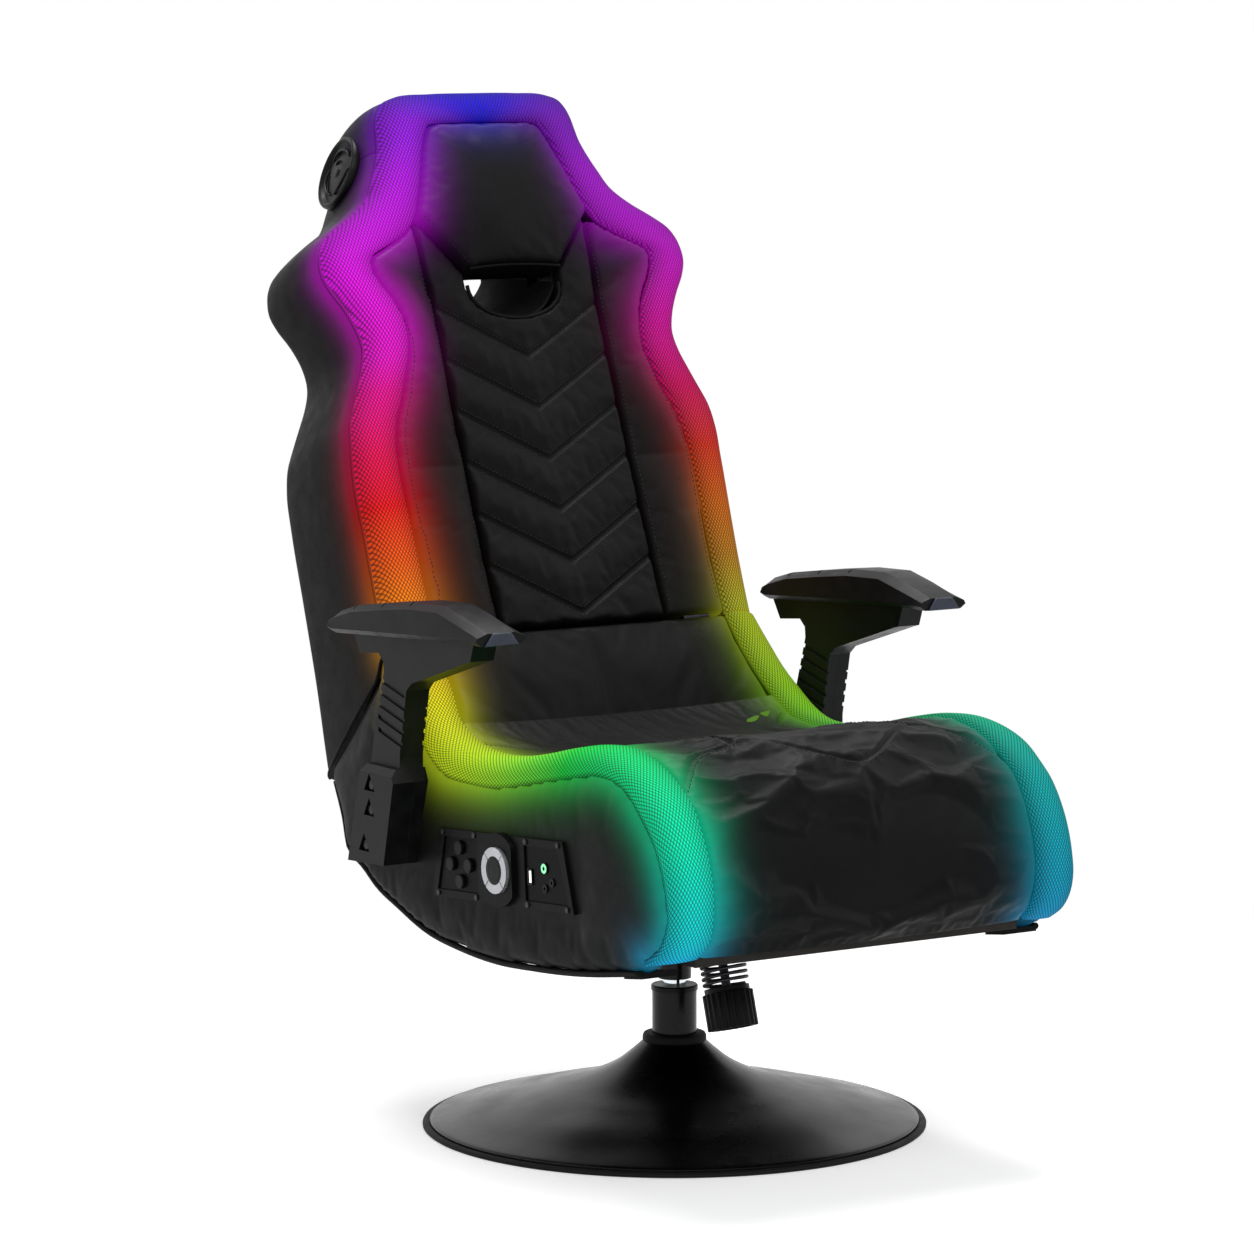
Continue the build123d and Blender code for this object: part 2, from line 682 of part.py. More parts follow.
def back_frame():
    """Two uprights and crossbars of steel tube, welded behind a pressed panel."""
    tube_out = BOARD_FRONT - BOARD_THICKNESS - FRAME_TUBE_RADIUS * WELD_SHARE
    half = FRAME_TUBE_SPACING / 2
    low, high = FRAME_FOOT / 2, CROSSBAR_HEIGHTS_SHARES[1] * BACK_HEIGHT
    frame = None
    for side in (-1, 1):
        foot, head = on_back(side * half, low, tube_out), on_back(side * half, high, tube_out)
        tube = rod_between(foot, head, FRAME_TUBE_RADIUS)
        frame = tube if frame is None else frame + tube
    for share in CROSSBAR_HEIGHTS_SHARES:
        up = max(low, share * BACK_HEIGHT)
        edges = [between(BACK_ROWS, up + side, 2) for side in (-FRAME_TUBE_RADIUS, FRAME_TUBE_RADIUS)]
        reach = min(edges) - FIT
        ends = on_back(-reach, up, tube_out), on_back(reach, up, tube_out)
        frame = frame + rod_between(*ends, FRAME_TUBE_RADIUS)
    sections = []
    for row in rows_from(FOLD_SEAM + SOFT_GAP, STRIP_TOP):
        reach = row[2] - SOFT_GAP
        sections.append(
            [
                on_back(-reach, row[0], BOARD_FRONT),
                on_back(reach, row[0], BOARD_FRONT),
                on_back(reach, row[0], BOARD_FRONT - BOARD_THICKNESS),
                on_back(-reach, row[0], BOARD_FRONT - BOARD_THICKNESS),
            ]
        )
    frame = frame + ruled(sections)
    return frame - slot_tunnel(SLOT_WALL + FIT)


def speaker_axis():
    """The right speaker's seat: its plane lies on the head's side and faces out."""
    outer = between(BACK_ROWS, SPEAKER_AT, 1)
    above = between(BACK_ROWS, SPEAKER_AT + SPEAKER_RADIUS / 2, 1)
    below = between(BACK_ROWS, SPEAKER_AT - SPEAKER_RADIUS / 2, 1)
    along = on_back(-above, SPEAKER_RADIUS, 0) - on_back(-below, 0, 0)
    depth_way = Vector(*BACK_PLANE.z_dir)
    out_way = along.cross(depth_way).normalized()
    if out_way.X > 0:
        out_way = out_way * -1
    return Plane(origin=on_back(-outer, SPEAKER_AT, -SPEAKER_SET_BACK), x_dir=depth_way, z_dir=out_way)


GRILLE_RIM = 7.0
GRILLE_RIB = 4.0
GRILLE_RIB_COUNT = 4
SPEAKER_SCREW_RADIUS = 3.0
SPEAKER_SCREW_HEAD = 2.0
SPEAKER_SCREW_COUNT = 4
SPEAKER_SCREW_TURN_DEG = 45.0
GRILLE_TURN_DEG = 20.0
MAGNET_RADIUS = 20.0


def speaker_screw_places():
    spot = SPEAKER_RADIUS - GRILLE_RIM / 2
    places = []
    for n in range(SPEAKER_SCREW_COUNT):
        a = math.radians(SPEAKER_SCREW_TURN_DEG + 360 / SPEAKER_SCREW_COUNT * n)
        places.append(Pos(spot * math.cos(a), spot * math.sin(a), 0))
    return places


def speaker_grille():
    """A round bezel with a domed centre and curved ribs over the driver."""
    where = speaker_axis().location
    rim = Pos(0, 0, SPEAKER_PROUD / 2) * Cylinder(SPEAKER_RADIUS, SPEAKER_PROUD)
    rim = rim - Pos(0, 0, SPEAKER_PROUD / 2) * Cylinder(SPEAKER_RADIUS - GRILLE_RIM, SPEAKER_PROUD + OVERRUN)
    disc = Pos(0, 0, SPEAKER_PROUD / 4) * Cylinder(SPEAKER_RADIUS - GRILLE_RIM, SPEAKER_PROUD / 2)
    holes = None
    inner, outer = MAGNET_RADIUS / 2 + GRILLE_RIB, SPEAKER_RADIUS - GRILLE_RIM - GRILLE_RIB / 2
    for n in range(GRILLE_RIB_COUNT):
        a = math.radians(360 / GRILLE_RIB_COUNT * n + GRILLE_TURN_DEG)
        middle = (inner + outer) / 2
        hole = Pos(middle * math.cos(a), middle * math.sin(a), 0) * Cylinder((outer - inner) / 2, OVERRUN)
        holes = hole if holes is None else holes + hole
    dome = Pos(0, 0, SPEAKER_PROUD / 2) * Cylinder(MAGNET_RADIUS / 2, SPEAKER_PROUD / 2)
    grille = rim + (disc - holes) + dome
    for spot in speaker_screw_places():
        grille = grille - spot * Cylinder(SPEAKER_SCREW_RADIUS / 2, OVERRUN * 2)
    return where * grille


def speaker_driver():
    """Basket, cone and magnet behind the grille."""
    where = speaker_axis().location
    basket = Pos(0, 0, -SPEAKER_DRIVER_DEPTH / 4) * Cone(
        MAGNET_RADIUS, SPEAKER_DRIVER_RADIUS, SPEAKER_DRIVER_DEPTH / 2
    )
    magnet = Pos(0, 0, -SPEAKER_DRIVER_DEPTH * 3 / 4) * Cylinder(MAGNET_RADIUS, SPEAKER_DRIVER_DEPTH / 2)
    hollow = Pos(0, 0, -SPEAKER_DRIVER_DEPTH / 8) * Cone(
        MAGNET_RADIUS / 2, SPEAKER_DRIVER_RADIUS - GRILLE_RIB, SPEAKER_DRIVER_DEPTH / 4
    )
    return where * (basket + magnet - hollow)


def speaker_screws():
    where = speaker_axis().location
    screws = []
    for spot in speaker_screw_places():
        lift = SPEAKER_PROUD + SPEAKER_SCREW_HEAD / 2
        head = Pos(0, 0, lift) * Cylinder(SPEAKER_SCREW_RADIUS, SPEAKER_SCREW_HEAD)
        shank = Pos(0, 0, SPEAKER_PROUD / 2 - OVERRUN / 4) * Cylinder(
            SPEAKER_SCREW_RADIUS / 2, SPEAKER_PROUD + OVERRUN / 2
        )
        screws.append(where * spot * (head + shank))
    return screws


def speaker_pocket():
    """The hole in the padded side that takes the driver and the screws."""
    where = speaker_axis().location
    pocket = Pos(0, 0, -BACK_HALF_WIDTH / 2) * Cylinder(SPEAKER_DRIVER_RADIUS + FIT, BACK_HALF_WIDTH)
    for spot in speaker_screw_places():
        pocket = pocket + spot * Cylinder(SPEAKER_SCREW_RADIUS / 2 + RUNNING_FIT, OVERRUN * 2)
    seat = Pos(0, 0, OVERRUN / 2) * Cylinder(SPEAKER_RADIUS + FIT, OVERRUN)
    return where * (pocket + seat)


HINGE_ARM = 10.0
HINGE_LEAF_LENGTH = 52.0
KNUCKLE_SHARE = 0.4
HINGE_ROOM = 2.0


def knuckle(low, high, radius, bore):
    """A hinge barrel along the fold axis."""
    barrel = across(radius, low, high, FOLD_AXIS.Y, FOLD_AXIS.Z)
    return barrel - across(bore, low - OVERRUN, high + OVERRUN, FOLD_AXIS.Y, FOLD_AXIS.Z)


def back_leaf(middle):
    """Upper leaf: the middle knuckle, its arm and the plate on the back frame."""
    half, wide = HINGE_LENGTH * KNUCKLE_SHARE / 2, HINGE_LENGTH / 2
    low, high = middle - half, middle + half
    arm = back_block(
        (low, high), (FOLD_SEAM, FOLD_SEAM + HINGE_ARM), (BOARD_FRONT + HINGE_PLATE, -FOLD_AXIS_DEPTH)
    )
    plate = back_block(
        (middle - wide, middle + wide),
        (FOLD_SEAM + SOFT_GAP, FOLD_SEAM + HINGE_LEAF_LENGTH),
        (BOARD_FRONT, BOARD_FRONT + HINGE_PLATE),
    )
    bore = across(HINGE_PIN_RADIUS + RUNNING_FIT, low, high, FOLD_AXIS.Y, FOLD_AXIS.Z)
    return knuckle(low, high, HINGE_RADIUS, HINGE_PIN_RADIUS + RUNNING_FIT) + (arm - bore) + plate


def seat_leaf(middle):
    """Lower leaf: two outer knuckles, their arms, the plate on the lumbar board and the pin."""
    half, wide = HINGE_LENGTH * KNUCKLE_SHARE / 2 + FIT, HINGE_LENGTH / 2
    plate = back_block(
        (middle - wide, middle + wide),
        (FOLD_SEAM - HINGE_LEAF_LENGTH, FOLD_SEAM - SOFT_GAP),
        (BOARD_FRONT, BOARD_FRONT + HINGE_PLATE),
    )
    leaf = plate + across(HINGE_PIN_RADIUS, middle - wide, middle + wide, FOLD_AXIS.Y, FOLD_AXIS.Z)
    for low, high in ((middle - wide, middle - half), (middle + half, middle + wide)):
        arm = back_block(
            (low, high), (FOLD_SEAM - HINGE_ARM, FOLD_SEAM), (BOARD_FRONT + HINGE_PLATE, -FOLD_AXIS_DEPTH)
        )
        leaf = leaf + arm + across(HINGE_RADIUS, low, high, FOLD_AXIS.Y, FOLD_AXIS.Z)
    return leaf


def hinge_room():
    """The pockets that the pads leave for one hinge on each side."""
    wide = HINGE_LENGTH / 2 + HINGE_ROOM
    rooms = []
    for side in (-1, 1):
        middle = side * HINGE_SPACING / 2
        long = HINGE_LEAF_LENGTH + HINGE_ROOM
        leaf = back_block(
            (middle - wide, middle + wide),
            (FOLD_SEAM - long, FOLD_SEAM + long),
            (BOARD_FRONT - FIT, BOARD_FRONT + HINGE_PLATE + HINGE_ROOM),
        )
        reach = HINGE_ARM + HINGE_RADIUS
        arm = back_block(
            (middle - wide, middle + wide),
            (FOLD_SEAM - reach, FOLD_SEAM + reach),
            (BOARD_FRONT, HINGE_RADIUS + HINGE_ROOM - FOLD_AXIS_DEPTH),
        )
        rooms.append(leaf + arm)
    return rooms[0] + rooms[1]


# Seat outline, from the back's foot (0, 0) to the front and lower edge (1, 1): inner edge of the lit strip,
# then its outer edge, then both half widths as shares of the seat's.
SEAT_STRIP_SHARES = [
    (0.004, 0.030, -0.054, 0.070, 0.749, 0.941),
    (0.053, 0.150, 0.000, 0.155, 0.765, 0.953),
    (0.095, 0.233, 0.053, 0.253, 0.780, 0.965),
    (0.132, 0.303, 0.102, 0.320, 0.800, 0.980),
    (0.175, 0.350, 0.144, 0.387, 0.800, 0.992),
    (0.235, 0.383, 0.212, 0.455, 0.800, 1.000),
    (0.305, 0.393, 0.295, 0.470, 0.800, 1.000),
    (0.407, 0.377, 0.404, 0.460, 0.800, 1.000),
    (0.491, 0.347, 0.495, 0.427, 0.800, 1.000),
    (0.582, 0.307, 0.582, 0.393, 0.800, 1.000),
    (0.672, 0.277, 0.670, 0.360, 0.800, 1.000),
    (0.740, 0.273, 0.740, 0.337, 0.800, 1.000),
    (0.793, 0.293, 0.793, 0.343, 0.800, 1.000),
    (0.842, 0.327, 0.842, 0.375, 0.800, 1.000),
    (0.884, 0.370, 0.880, 0.433, 0.800, 1.000),
    (0.925, 0.430, 0.915, 0.495, 0.800, 1.000),
    (0.953, 0.510, 0.940, 0.558, 0.800, 1.000),
    (0.975, 0.600, 0.960, 0.635, 0.800, 1.000),
    (0.988, 0.690, 0.972, 0.715, 0.800, 1.000),
    (0.989, 0.783, 0.977, 0.790, 0.800, 1.000),
    (0.981, 0.857, 0.968, 0.852, 0.800, 1.000),
    (0.958, 0.913, 0.945, 0.913, 0.800, 1.000),
    (0.937, 0.943, 0.900, 0.965, 0.800, 1.000),
]
# The side panel's lower edge, from the front corner to the parting line.
SEAT_FOOT_SHARES = [
    (0.877, 0.997),
    (0.819, 1.013),
    (0.721, 1.043),
    (0.619, 1.067),
    (0.519, 1.083),
    (0.389, 1.097),
    (0.256, 1.087),
    (0.133, 1.057),
    (0.037, 1.000),
    (-0.046, 0.943),
    (-0.095, 0.887),
    (-0.144, 0.843),
    (-0.193, 0.717),
    (-0.244, 0.613),
]
# The seat cushion's top, from the lumbar cushion to under the front: the middle, then the edge.
CUSHION_SHARES = [
    (0.109, 0.343, 0.137, 0.318),
    (0.161, 0.367, 0.175, 0.355),
    (0.249, 0.373, 0.235, 0.388),
    (0.319, 0.367, 0.305, 0.398),
    (0.425, 0.347, 0.407, 0.382),
    (0.530, 0.313, 0.509, 0.345),
    (0.635, 0.277, 0.609, 0.302),
    (0.732, 0.250, 0.696, 0.278),
    (0.811, 0.243, 0.758, 0.285),
    (0.872, 0.273, 0.828, 0.322),
    (0.925, 0.340, 0.884, 0.378),
    (0.961, 0.440, 0.922, 0.440),
    (0.986, 0.560, 0.962, 0.565),
    (0.998, 0.683, 0.983, 0.693),
    (0.996, 0.800, 0.984, 0.785),
    (0.982, 0.893, 0.965, 0.885),
    (0.954, 0.947, 0.937, 0.943),
]
SEAT_FRONT = SEAT_DEPTH + RIM_ROLL
SEAT_RUN = BACK_FOOT_Y + SEAT_FRONT
SEAT_DROP = BACK_FOOT_Z - SEAT_LOW
RUN_OUT_SHARE = 0.3
TAPER_RUN = 90.0
TAPER_SHARE = 0.941
TAB_THICKNESS = 6.0
TAB_INSET = 4.0


def seat_point(along, down):
    """A point of the seat's side view, as shares from the back's foot to its front and lower edge."""
    return BACK_FOOT_Y - along * SEAT_RUN, BACK_FOOT_Z - down * SEAT_DROP


def seat_rows():
    """Each row of the seat's strip: inner edge, outer edge, half widths and the way out of the seat.

    One row more runs out above the fold, where the strip is then cut off."""
    first, second = SEAT_STRIP_SHARES[:2]
    table = [[lerp(a, b, -RUN_OUT_SHARE) for a, b in zip(first, second)], *SEAT_STRIP_SHARES]
    inner = [seat_point(row[0], row[1]) for row in table]
    outer = [seat_point(row[2], row[3]) for row in table]
    rows = []
    for n, row in enumerate(table):
        before, after = max(0, n - 1), min(len(inner) - 1, n + 1)
        way_y = inner[after][0] - inner[before][0] + outer[after][0] - outer[before][0]
        way_z = inner[after][1] - inner[before][1] + outer[after][1] - outer[before][1]
        long = math.hypot(way_y, way_z)
        halves = row[4] * SEAT_HALF_WIDTH, row[5] * SEAT_HALF_WIDTH
        rows.append((inner[n], outer[n], *halves, (way_z / long, -way_y / long)))
    return rows


def over_fold():
    """The space above the seat unit's end at the fold, with the crease."""
    return fold_zone(SOFT_GAP * 2) + fold_groove()


def seat_strip_side():
    """The right-hand strip of the seat and its tape, as lofts round the seat's edge."""
    strips, tapes = [], []
    for inner, outer, half_in, half_out, way in seat_rows():

        def at(share, lift):
            y = lerp(outer[0], inner[0], share) + way[0] * lift
            z = lerp(outer[1], inner[1], share) + way[1] * lift
            return Vector(-lerp(half_out, half_in, share), y, z)

        front = [at(1, 0), at(STRIP_CORNER_SHARE + STRIP_CROWN_SHARE, STRIP_CROWN), at(0, 0)]
        channel = [
            at(TAPE_START_SHARE, -STRIP_THICKNESS),
            at(TAPE_START_SHARE, TAPE_THICKNESS - STRIP_THICKNESS),
            at(TAPE_END_SHARE, TAPE_THICKNESS - STRIP_THICKNESS),
            at(TAPE_END_SHARE, -STRIP_THICKNESS),
        ]
        strips.append(front + [at(0, -STRIP_THICKNESS)] + channel + [at(1, -STRIP_THICKNESS)])
        low = [at(share, FIT - STRIP_THICKNESS) for share in (TAPE_START_SHARE, TAPE_END_SHARE)]
        tapes.append([low[0], channel[1], channel[2], low[1]])
    return ruled(strips) - over_fold(), ruled(tapes) - over_fold()


def over_strip():
    """Everything above the strip's back, to cut the padded side with."""
    sections = []
    for inner, outer, half_in, half_out, way in seat_rows():
        wide = (half_out - half_in) / 2
        reach = 1 + wide / (half_out - half_in)

        def at(share, lift):
            y = lerp(outer[0], inner[0], share) + way[0] * lift
            z = lerp(outer[1], inner[1], share) + way[1] * lift
            return Vector(-lerp(half_out, half_in, share), y, z)

        low, high = -STRIP_THICKNESS, OVERRUN * 2
        sections.append([at(1 - reach, low), at(reach, low), at(reach, high), at(1 - reach, high)])
    return ruled(sections)


def seat_side():
    """The padded side of the seat under its strip."""
    top = [inner for inner, *_ in seat_rows()]
    foot = [seat_point(*share) for share in SEAT_FOOT_SHARES]
    start = on_parting(FOLD_KNEE_DEPTH + OVERRUN, -PARTING_GAP / 2)
    knee = on_back(0, FOLD_SEAM - SOFT_GAP, -FOLD_KNEE_DEPTH)
    crown = on_back(0, FOLD_SEAM - SOFT_GAP, 0)
    outline = [(crown.Y, crown.Z)] + top[2:] + foot + [(start.Y, start.Z), (knee.Y, knee.Z)]
    side = side_prism(outline, -SEAT_HALF_WIDTH, -SEAT_INNER_HALF_WIDTH) - over_strip()
    low, high = -BACK_DEPTH - OVERRUN, BACK_DEPTH * 2
    taper = SEAT_HALF_WIDTH * (1 - TAPER_SHARE)
    full = taper * (TAPER_RUN + PARTING_GAP / 2 + OVERRUN) / TAPER_RUN
    sections = []
    for along in (low, high):
        foot, top_edge = on_parting(along, -PARTING_GAP / 2 - TAPER_RUN), on_parting(along, OVERRUN)
        sections.append(
            [
                (-SEAT_HALF_WIDTH - OVERRUN, foot.Y, foot.Z),
                (-SEAT_HALF_WIDTH, foot.Y, foot.Z),
                (-SEAT_HALF_WIDTH + full, top_edge.Y, top_edge.Z),
                (-SEAT_HALF_WIDTH - OVERRUN, top_edge.Y, top_edge.Z),
            ]
        )
    return side - ruled(sections)


def corner_tab():
    """The small tab that closes the corner under the strip's front end."""
    first, second = seat_point(*SEAT_FOOT_SHARES[0]), seat_point(*SEAT_FOOT_SHARES[1])
    outline = [first, second, (second[0], second[1] - TAB_THICKNESS), (first[0], first[1] - TAB_THICKNESS)]
    return side_prism(outline, -SEAT_HALF_WIDTH + TAB_INSET, -SEAT_INNER_HALF_WIDTH - TAB_INSET)


CUSHION_ACROSS_SHARES = (-1.0, -0.93, -0.72, -0.4, 0.0, 0.4, 0.72, 0.93, 1.0)
CUSHION_FALL_SHARES = (1.0, 0.80, 0.42, 0.10, 0.0, 0.10, 0.42, 0.80, 1.0)
FRONT_BOARD_THICKNESS = 12.0
SEAT_BOARD_FRONT = 345.0
LUMBAR_FOOT = 160.0
LUMBAR_SEAM = 118.0


def cushion_profile(fall):
    """The seat cushion's side view: fall is 0 at the middle and 1 at the edge."""
    top = []
    for middle_y, middle_z, edge_y, edge_z in CUSHION_SHARES:
        top.append(seat_point(lerp(middle_y, edge_y, fall), lerp(middle_z, edge_z, fall)))
    lumbar_low, lumbar_foot = on_back(0, -LUMBAR_SEAM, BOARD_FRONT), on_back(0, -LUMBAR_FOOT, BOARD_FRONT)
    gap = Vector(0, -SOFT_GAP, -SOFT_GAP)
    share = (SEAT_BOARD_TOP - lumbar_foot.Z) / (lumbar_low.Z - lumbar_foot.Z)
    heel = lumbar_foot + (lumbar_low - lumbar_foot) * share
    low = lumbar_low + gap
    base = [
        (-SEAT_BOARD_FRONT, top[-1][1]),
        (-SEAT_BOARD_FRONT, SEAT_BOARD_TOP),
        (heel.Y - SOFT_GAP, SEAT_BOARD_TOP),
        (low.Y, low.Z),
    ]
    return top + base


def seat_surface(x, y):
    """The height of the seat cushion's top at a place seen from above."""
    half = SEAT_INNER_HALF_WIDTH - SOFT_GAP
    table = list(zip(CUSHION_ACROSS_SHARES, CUSHION_FALL_SHARES))
    top = cushion_profile(between(table, max(-1.0, min(1.0, x / half)), 1))[: len(CUSHION_SHARES)]
    for (y0, z0), (y1, z1) in zip(top, top[1:]):
        if y1 <= y <= y0:
            return lerp(z0, z1, (y0 - y) / (y0 - y1))
    return top[0][1]


# Sewn lines on the seat, as shares of the inner half width and of the run to the front.
SEAM_FRONT_SHARES = [
    (-1.0, 0.872),
    (-0.755, 0.818),
    (-0.574, 0.813),
    (-0.422, 0.802),
    (-0.304, 0.849),
    (-0.137, 0.890),
    (0.0, 0.908),
    (0.147, 0.890),
    (0.304, 0.858),
    (0.456, 0.818),
    (0.583, 0.790),
    (0.755, 0.818),
    (1.0, 0.872),
]
SEAM_SIDE_SHARES = [(0.574, 0.800), (0.500, 0.730), (0.422, 0.640)]


def seam_channel(places):
    """A sewn channel along places of the seat cushion's top."""
    cuts = []
    for (x0, y0), (x1, y1) in zip(places, places[1:]):
        side = Vector(y1 - y0, x0 - x1, 0).normalized() * (SEAM_WIDTH / 2)
        wedge = []
        for x, y in ((x0, y0), (x1, y1)):
            here = Vector(x, y, seat_surface(x, y))
            lift = Vector(0, 0, SEAM_DEPTH)
            wedge.append([here - side + lift, here - lift, here + side + lift])
        cuts.append(ruled(wedge))
    return cuts


def seat_cushion():
    """The seat cushion, which rolls over the front, with its sewn lines."""
    half = SEAT_INNER_HALF_WIDTH - SOFT_GAP
    sections = []
    for share, fall in zip(CUSHION_ACROSS_SHARES, CUSHION_FALL_SHARES):
        sections.append([(share * half, y, z) for y, z in cushion_profile(fall)])
    cushion = ruled(sections)

    def place(across_share, along_share, side=1):
        return side * across_share * half, BACK_FOOT_Y - along_share * SEAT_RUN

    lines = [[place(*spot) for spot in SEAM_FRONT_SHARES]]
    lines += [[place(*spot, side) for spot in SEAM_SIDE_SHARES] for side in (-1, 1)]
    for line in lines:
        for cut in seam_channel(line):
            cushion = cushion - cut
    return cushion


# The lumbar cushion, down from the fold: how far down and how far out its middle and edge lie, as shares
# of its length, then its half width as a share of the seat's.
LUMBAR_SHARES = [
    (0.004, -0.002, -0.014, 0.745),
    (0.35, 0.031, 0.078, 0.755),
    (0.66, 0.075, 0.185, 0.766),
    (0.90, 0.120, 0.272, 0.782),
    (1.00, 0.138, 0.280, 0.796),
]
LUMBAR_SHOULDER_SHARE = 0.72
LUMBAR_FALL_SHARE = 0.40


def lumbar_cushion():
    """The cushion from the fold down to the seat."""
    length = LUMBAR_SEAM + FOLD_SEAM
    sections = []
    for down, out_middle, out_edge, half_share in LUMBAR_SHARES:
        up = FOLD_SEAM - down * length
        half = half_share * SEAT_HALF_WIDTH - SOFT_GAP
        middle, edge = out_middle * length, out_edge * length - PANEL_ROLL / 2
        shoulder, out = half * LUMBAR_SHOULDER_SHARE, lerp(middle, edge, LUMBAR_FALL_SHARE)
        sections.append(
            [
                on_back(-half, up, edge),
                on_back(-shoulder, up, out),
                on_back(0, up, middle),
                on_back(shoulder, up, out),
                on_back(half, up, edge),
                on_back(half, up, BOARD_FRONT),
                on_back(-half, up, BOARD_FRONT),
            ]
        )
    return ruled(sections) - fold_groove() - hinge_room()


def seat_board():
    """Seat board, front board, two ribs and the lumbar board, glued into one frame."""
    half = SEAT_INNER_HALF_WIDTH
    heel = on_back(0, -LUMBAR_FOOT, BOARD_FRONT)
    board = block((-half, half), (-SEAT_BOARD_FRONT, heel.Y), (SEAT_BOARD_BOTTOM, SEAT_BOARD_TOP))
    front = block((-half, half), (-SEAT_BOARD_FRONT, FRONT_BOARD_THICKNESS - SEAT_BOARD_FRONT),
                  (BOTTOM_BOARD_TOP, SEAT_BOARD_TOP))
    lumbar_half = SEAT_STRIP_SHARES[0][4] * SEAT_HALF_WIDTH - SOFT_GAP
    rise = (-LUMBAR_FOOT - SEAT_BOARD_THICKNESS, FOLD_SEAM - SOFT_GAP)
    lumbar = back_block((-lumbar_half, lumbar_half), rise, (BOARD_FRONT - BOARD_THICKNESS * 2, BOARD_FRONT))
    top = on_back(0, -LUMBAR_SEAM / 2, BOARD_FRONT - BOARD_THICKNESS)
    rib_front = -SEAT_BOARD_FRONT + FRONT_BOARD_THICKNESS / 2
    rib_top = SEAT_BOARD_BOTTOM + SEAT_BOARD_THICKNESS / 2
    outline = [
        (rib_front, BOTTOM_BOARD_TOP),
        (BOTTOM_BOARD_BACK - BOTTOM_BOARD_THICKNESS, BOTTOM_BOARD_TOP),
        (BOTTOM_BOARD_BACK + RIB_REACH, (BOTTOM_BOARD_TOP + SEAT_BOARD_TOP) / 2),
        (top.Y, top.Z),
        (heel.Y, rib_top),
        (rib_front, rib_top),
    ]
    frame = board + front + lumbar
    for side in (-1, 1):
        middle = side * RIB_SPACING / 2
        frame = frame + side_prism(outline, middle - RIB_WIDTH / 2, middle + RIB_WIDTH / 2)
    for x, y in plate_bolt_places():
        frame = frame - Pos(x, y, BOTTOM_BOARD_TOP) * Cylinder(PLATE_BOLT_RADIUS, PLATE_BOLT_GRIP * 2)
    return frame


def bottom_board():
    """The board under the seat, turned up at the rear to the parting line."""
    half = SEAT_INNER_HALF_WIDTH
    bend, end = seat_point(*SEAT_FOOT_SHARES[-4]), seat_point(*SEAT_FOOT_SHARES[-1])
    thick = BOTTOM_BOARD_THICKNESS
    outline = [
        (-SEAT_BOARD_FRONT, SEAT_PLATE_TOP),
        (BOTTOM_BOARD_BACK, SEAT_PLATE_TOP),
        (bend[0], bend[1] + thick),
        (end[0] - thick / 2, end[1]),
        (end[0] - thick, end[1] + thick),
        (bend[0] - thick, bend[1] + thick * 2),
        (BOTTOM_BOARD_BACK - thick / 4, BOTTOM_BOARD_TOP),
        (-SEAT_BOARD_FRONT, BOTTOM_BOARD_TOP),
    ]
    board = side_prism(outline, -half, half)
    for x, y in plate_bolt_places():
        board = board - Pos(x, y, BOTTOM_BOARD_TOP) * Cylinder(PLATE_BOLT_RADIUS, PLATE_BOLT_GRIP * 2)
    return board


PLATE_BOLT_INSET = 12.0
PLATE_BOLT_GRIP = 40.0


def plate_bolt_places():
    half = SEAT_PLATE_HALF_WIDTH - PLATE_BOLT_INSET
    rows = (PLATE_BOLT_INSET - SEAT_PLATE_FRONT, SEAT_PLATE_BACK - PLATE_BOLT_INSET)
    return [(x, y) for x in (-half, half) for y in rows]


def seat_plate_bolts():
    bolts = []
    for x, y in plate_bolt_places():
        low, high = SEAT_PLATE_BOTTOM, BOTTOM_BOARD_TOP + PLATE_BOLT_GRIP / 2
        head = Pos(x, y, low - PLATE_BOLT_HEAD / 2) * Cylinder(PLATE_BOLT_HEAD_RADIUS, PLATE_BOLT_HEAD)
        shank = Pos(x, y, (low + high) / 2) * Cylinder(PLATE_BOLT_RADIUS, high - low)
        bolts.append(head + shank)
    return bolts


def seat_plate():
    """The pressed plate under the seat, with the pivot ears and the tension bolt's boss."""
    plate = block((-SEAT_PLATE_HALF_WIDTH, SEAT_PLATE_HALF_WIDTH), (-SEAT_PLATE_FRONT, SEAT_PLATE_BACK),
                  (SEAT_PLATE_BOTTOM, SEAT_PLATE_TOP))
    ear_inner = HOUSING_HALF_WIDTH + BUSH_FLANGE + EAR_GAP
    for side in (-1, 1):
        low, high = sorted((side * ear_inner, side * (ear_inner + EAR_WALL)))
        ear = across(EAR_RADIUS, low, high, PIVOT_BACK_SET, PIVOT_HEIGHT)
        web = block((low, high), (PIVOT_BACK_SET - EAR_RADIUS, PIVOT_BACK_SET + EAR_RADIUS),
                    (PIVOT_HEIGHT, SEAT_PLATE_BOTTOM + SEAT_PLATE_THICKNESS / 2))
        plate = plate + ear + web
    plate = plate - across(PIVOT_PIN_RADIUS, -PIN_HALF_LENGTH, PIN_HALF_LENGTH, PIVOT_BACK_SET, PIVOT_HEIGHT)
    boss = rod_between(NOSE_TOP - KNOB_DOWN * FIT, NOSE_TOP - KNOB_DOWN * OVERRUN, BOSS_RADIUS)
    wide = SEAT_PLATE_HALF_WIDTH
    boss = boss & block((-wide, wide), (-SEAT_PLATE_FRONT, 0), (0, SEAT_PLATE_TOP))
    plate = plate + boss - rod_between(NOSE_TOP + KNOB_DOWN * OVERRUN, bolt_start(), BOLT_RADIUS)
    for x, y in plate_bolt_places():
        plate = plate - Pos(x, y, SEAT_PLATE_BOTTOM) * Cylinder(PLATE_BOLT_RADIUS, OVERRUN)
    return plate


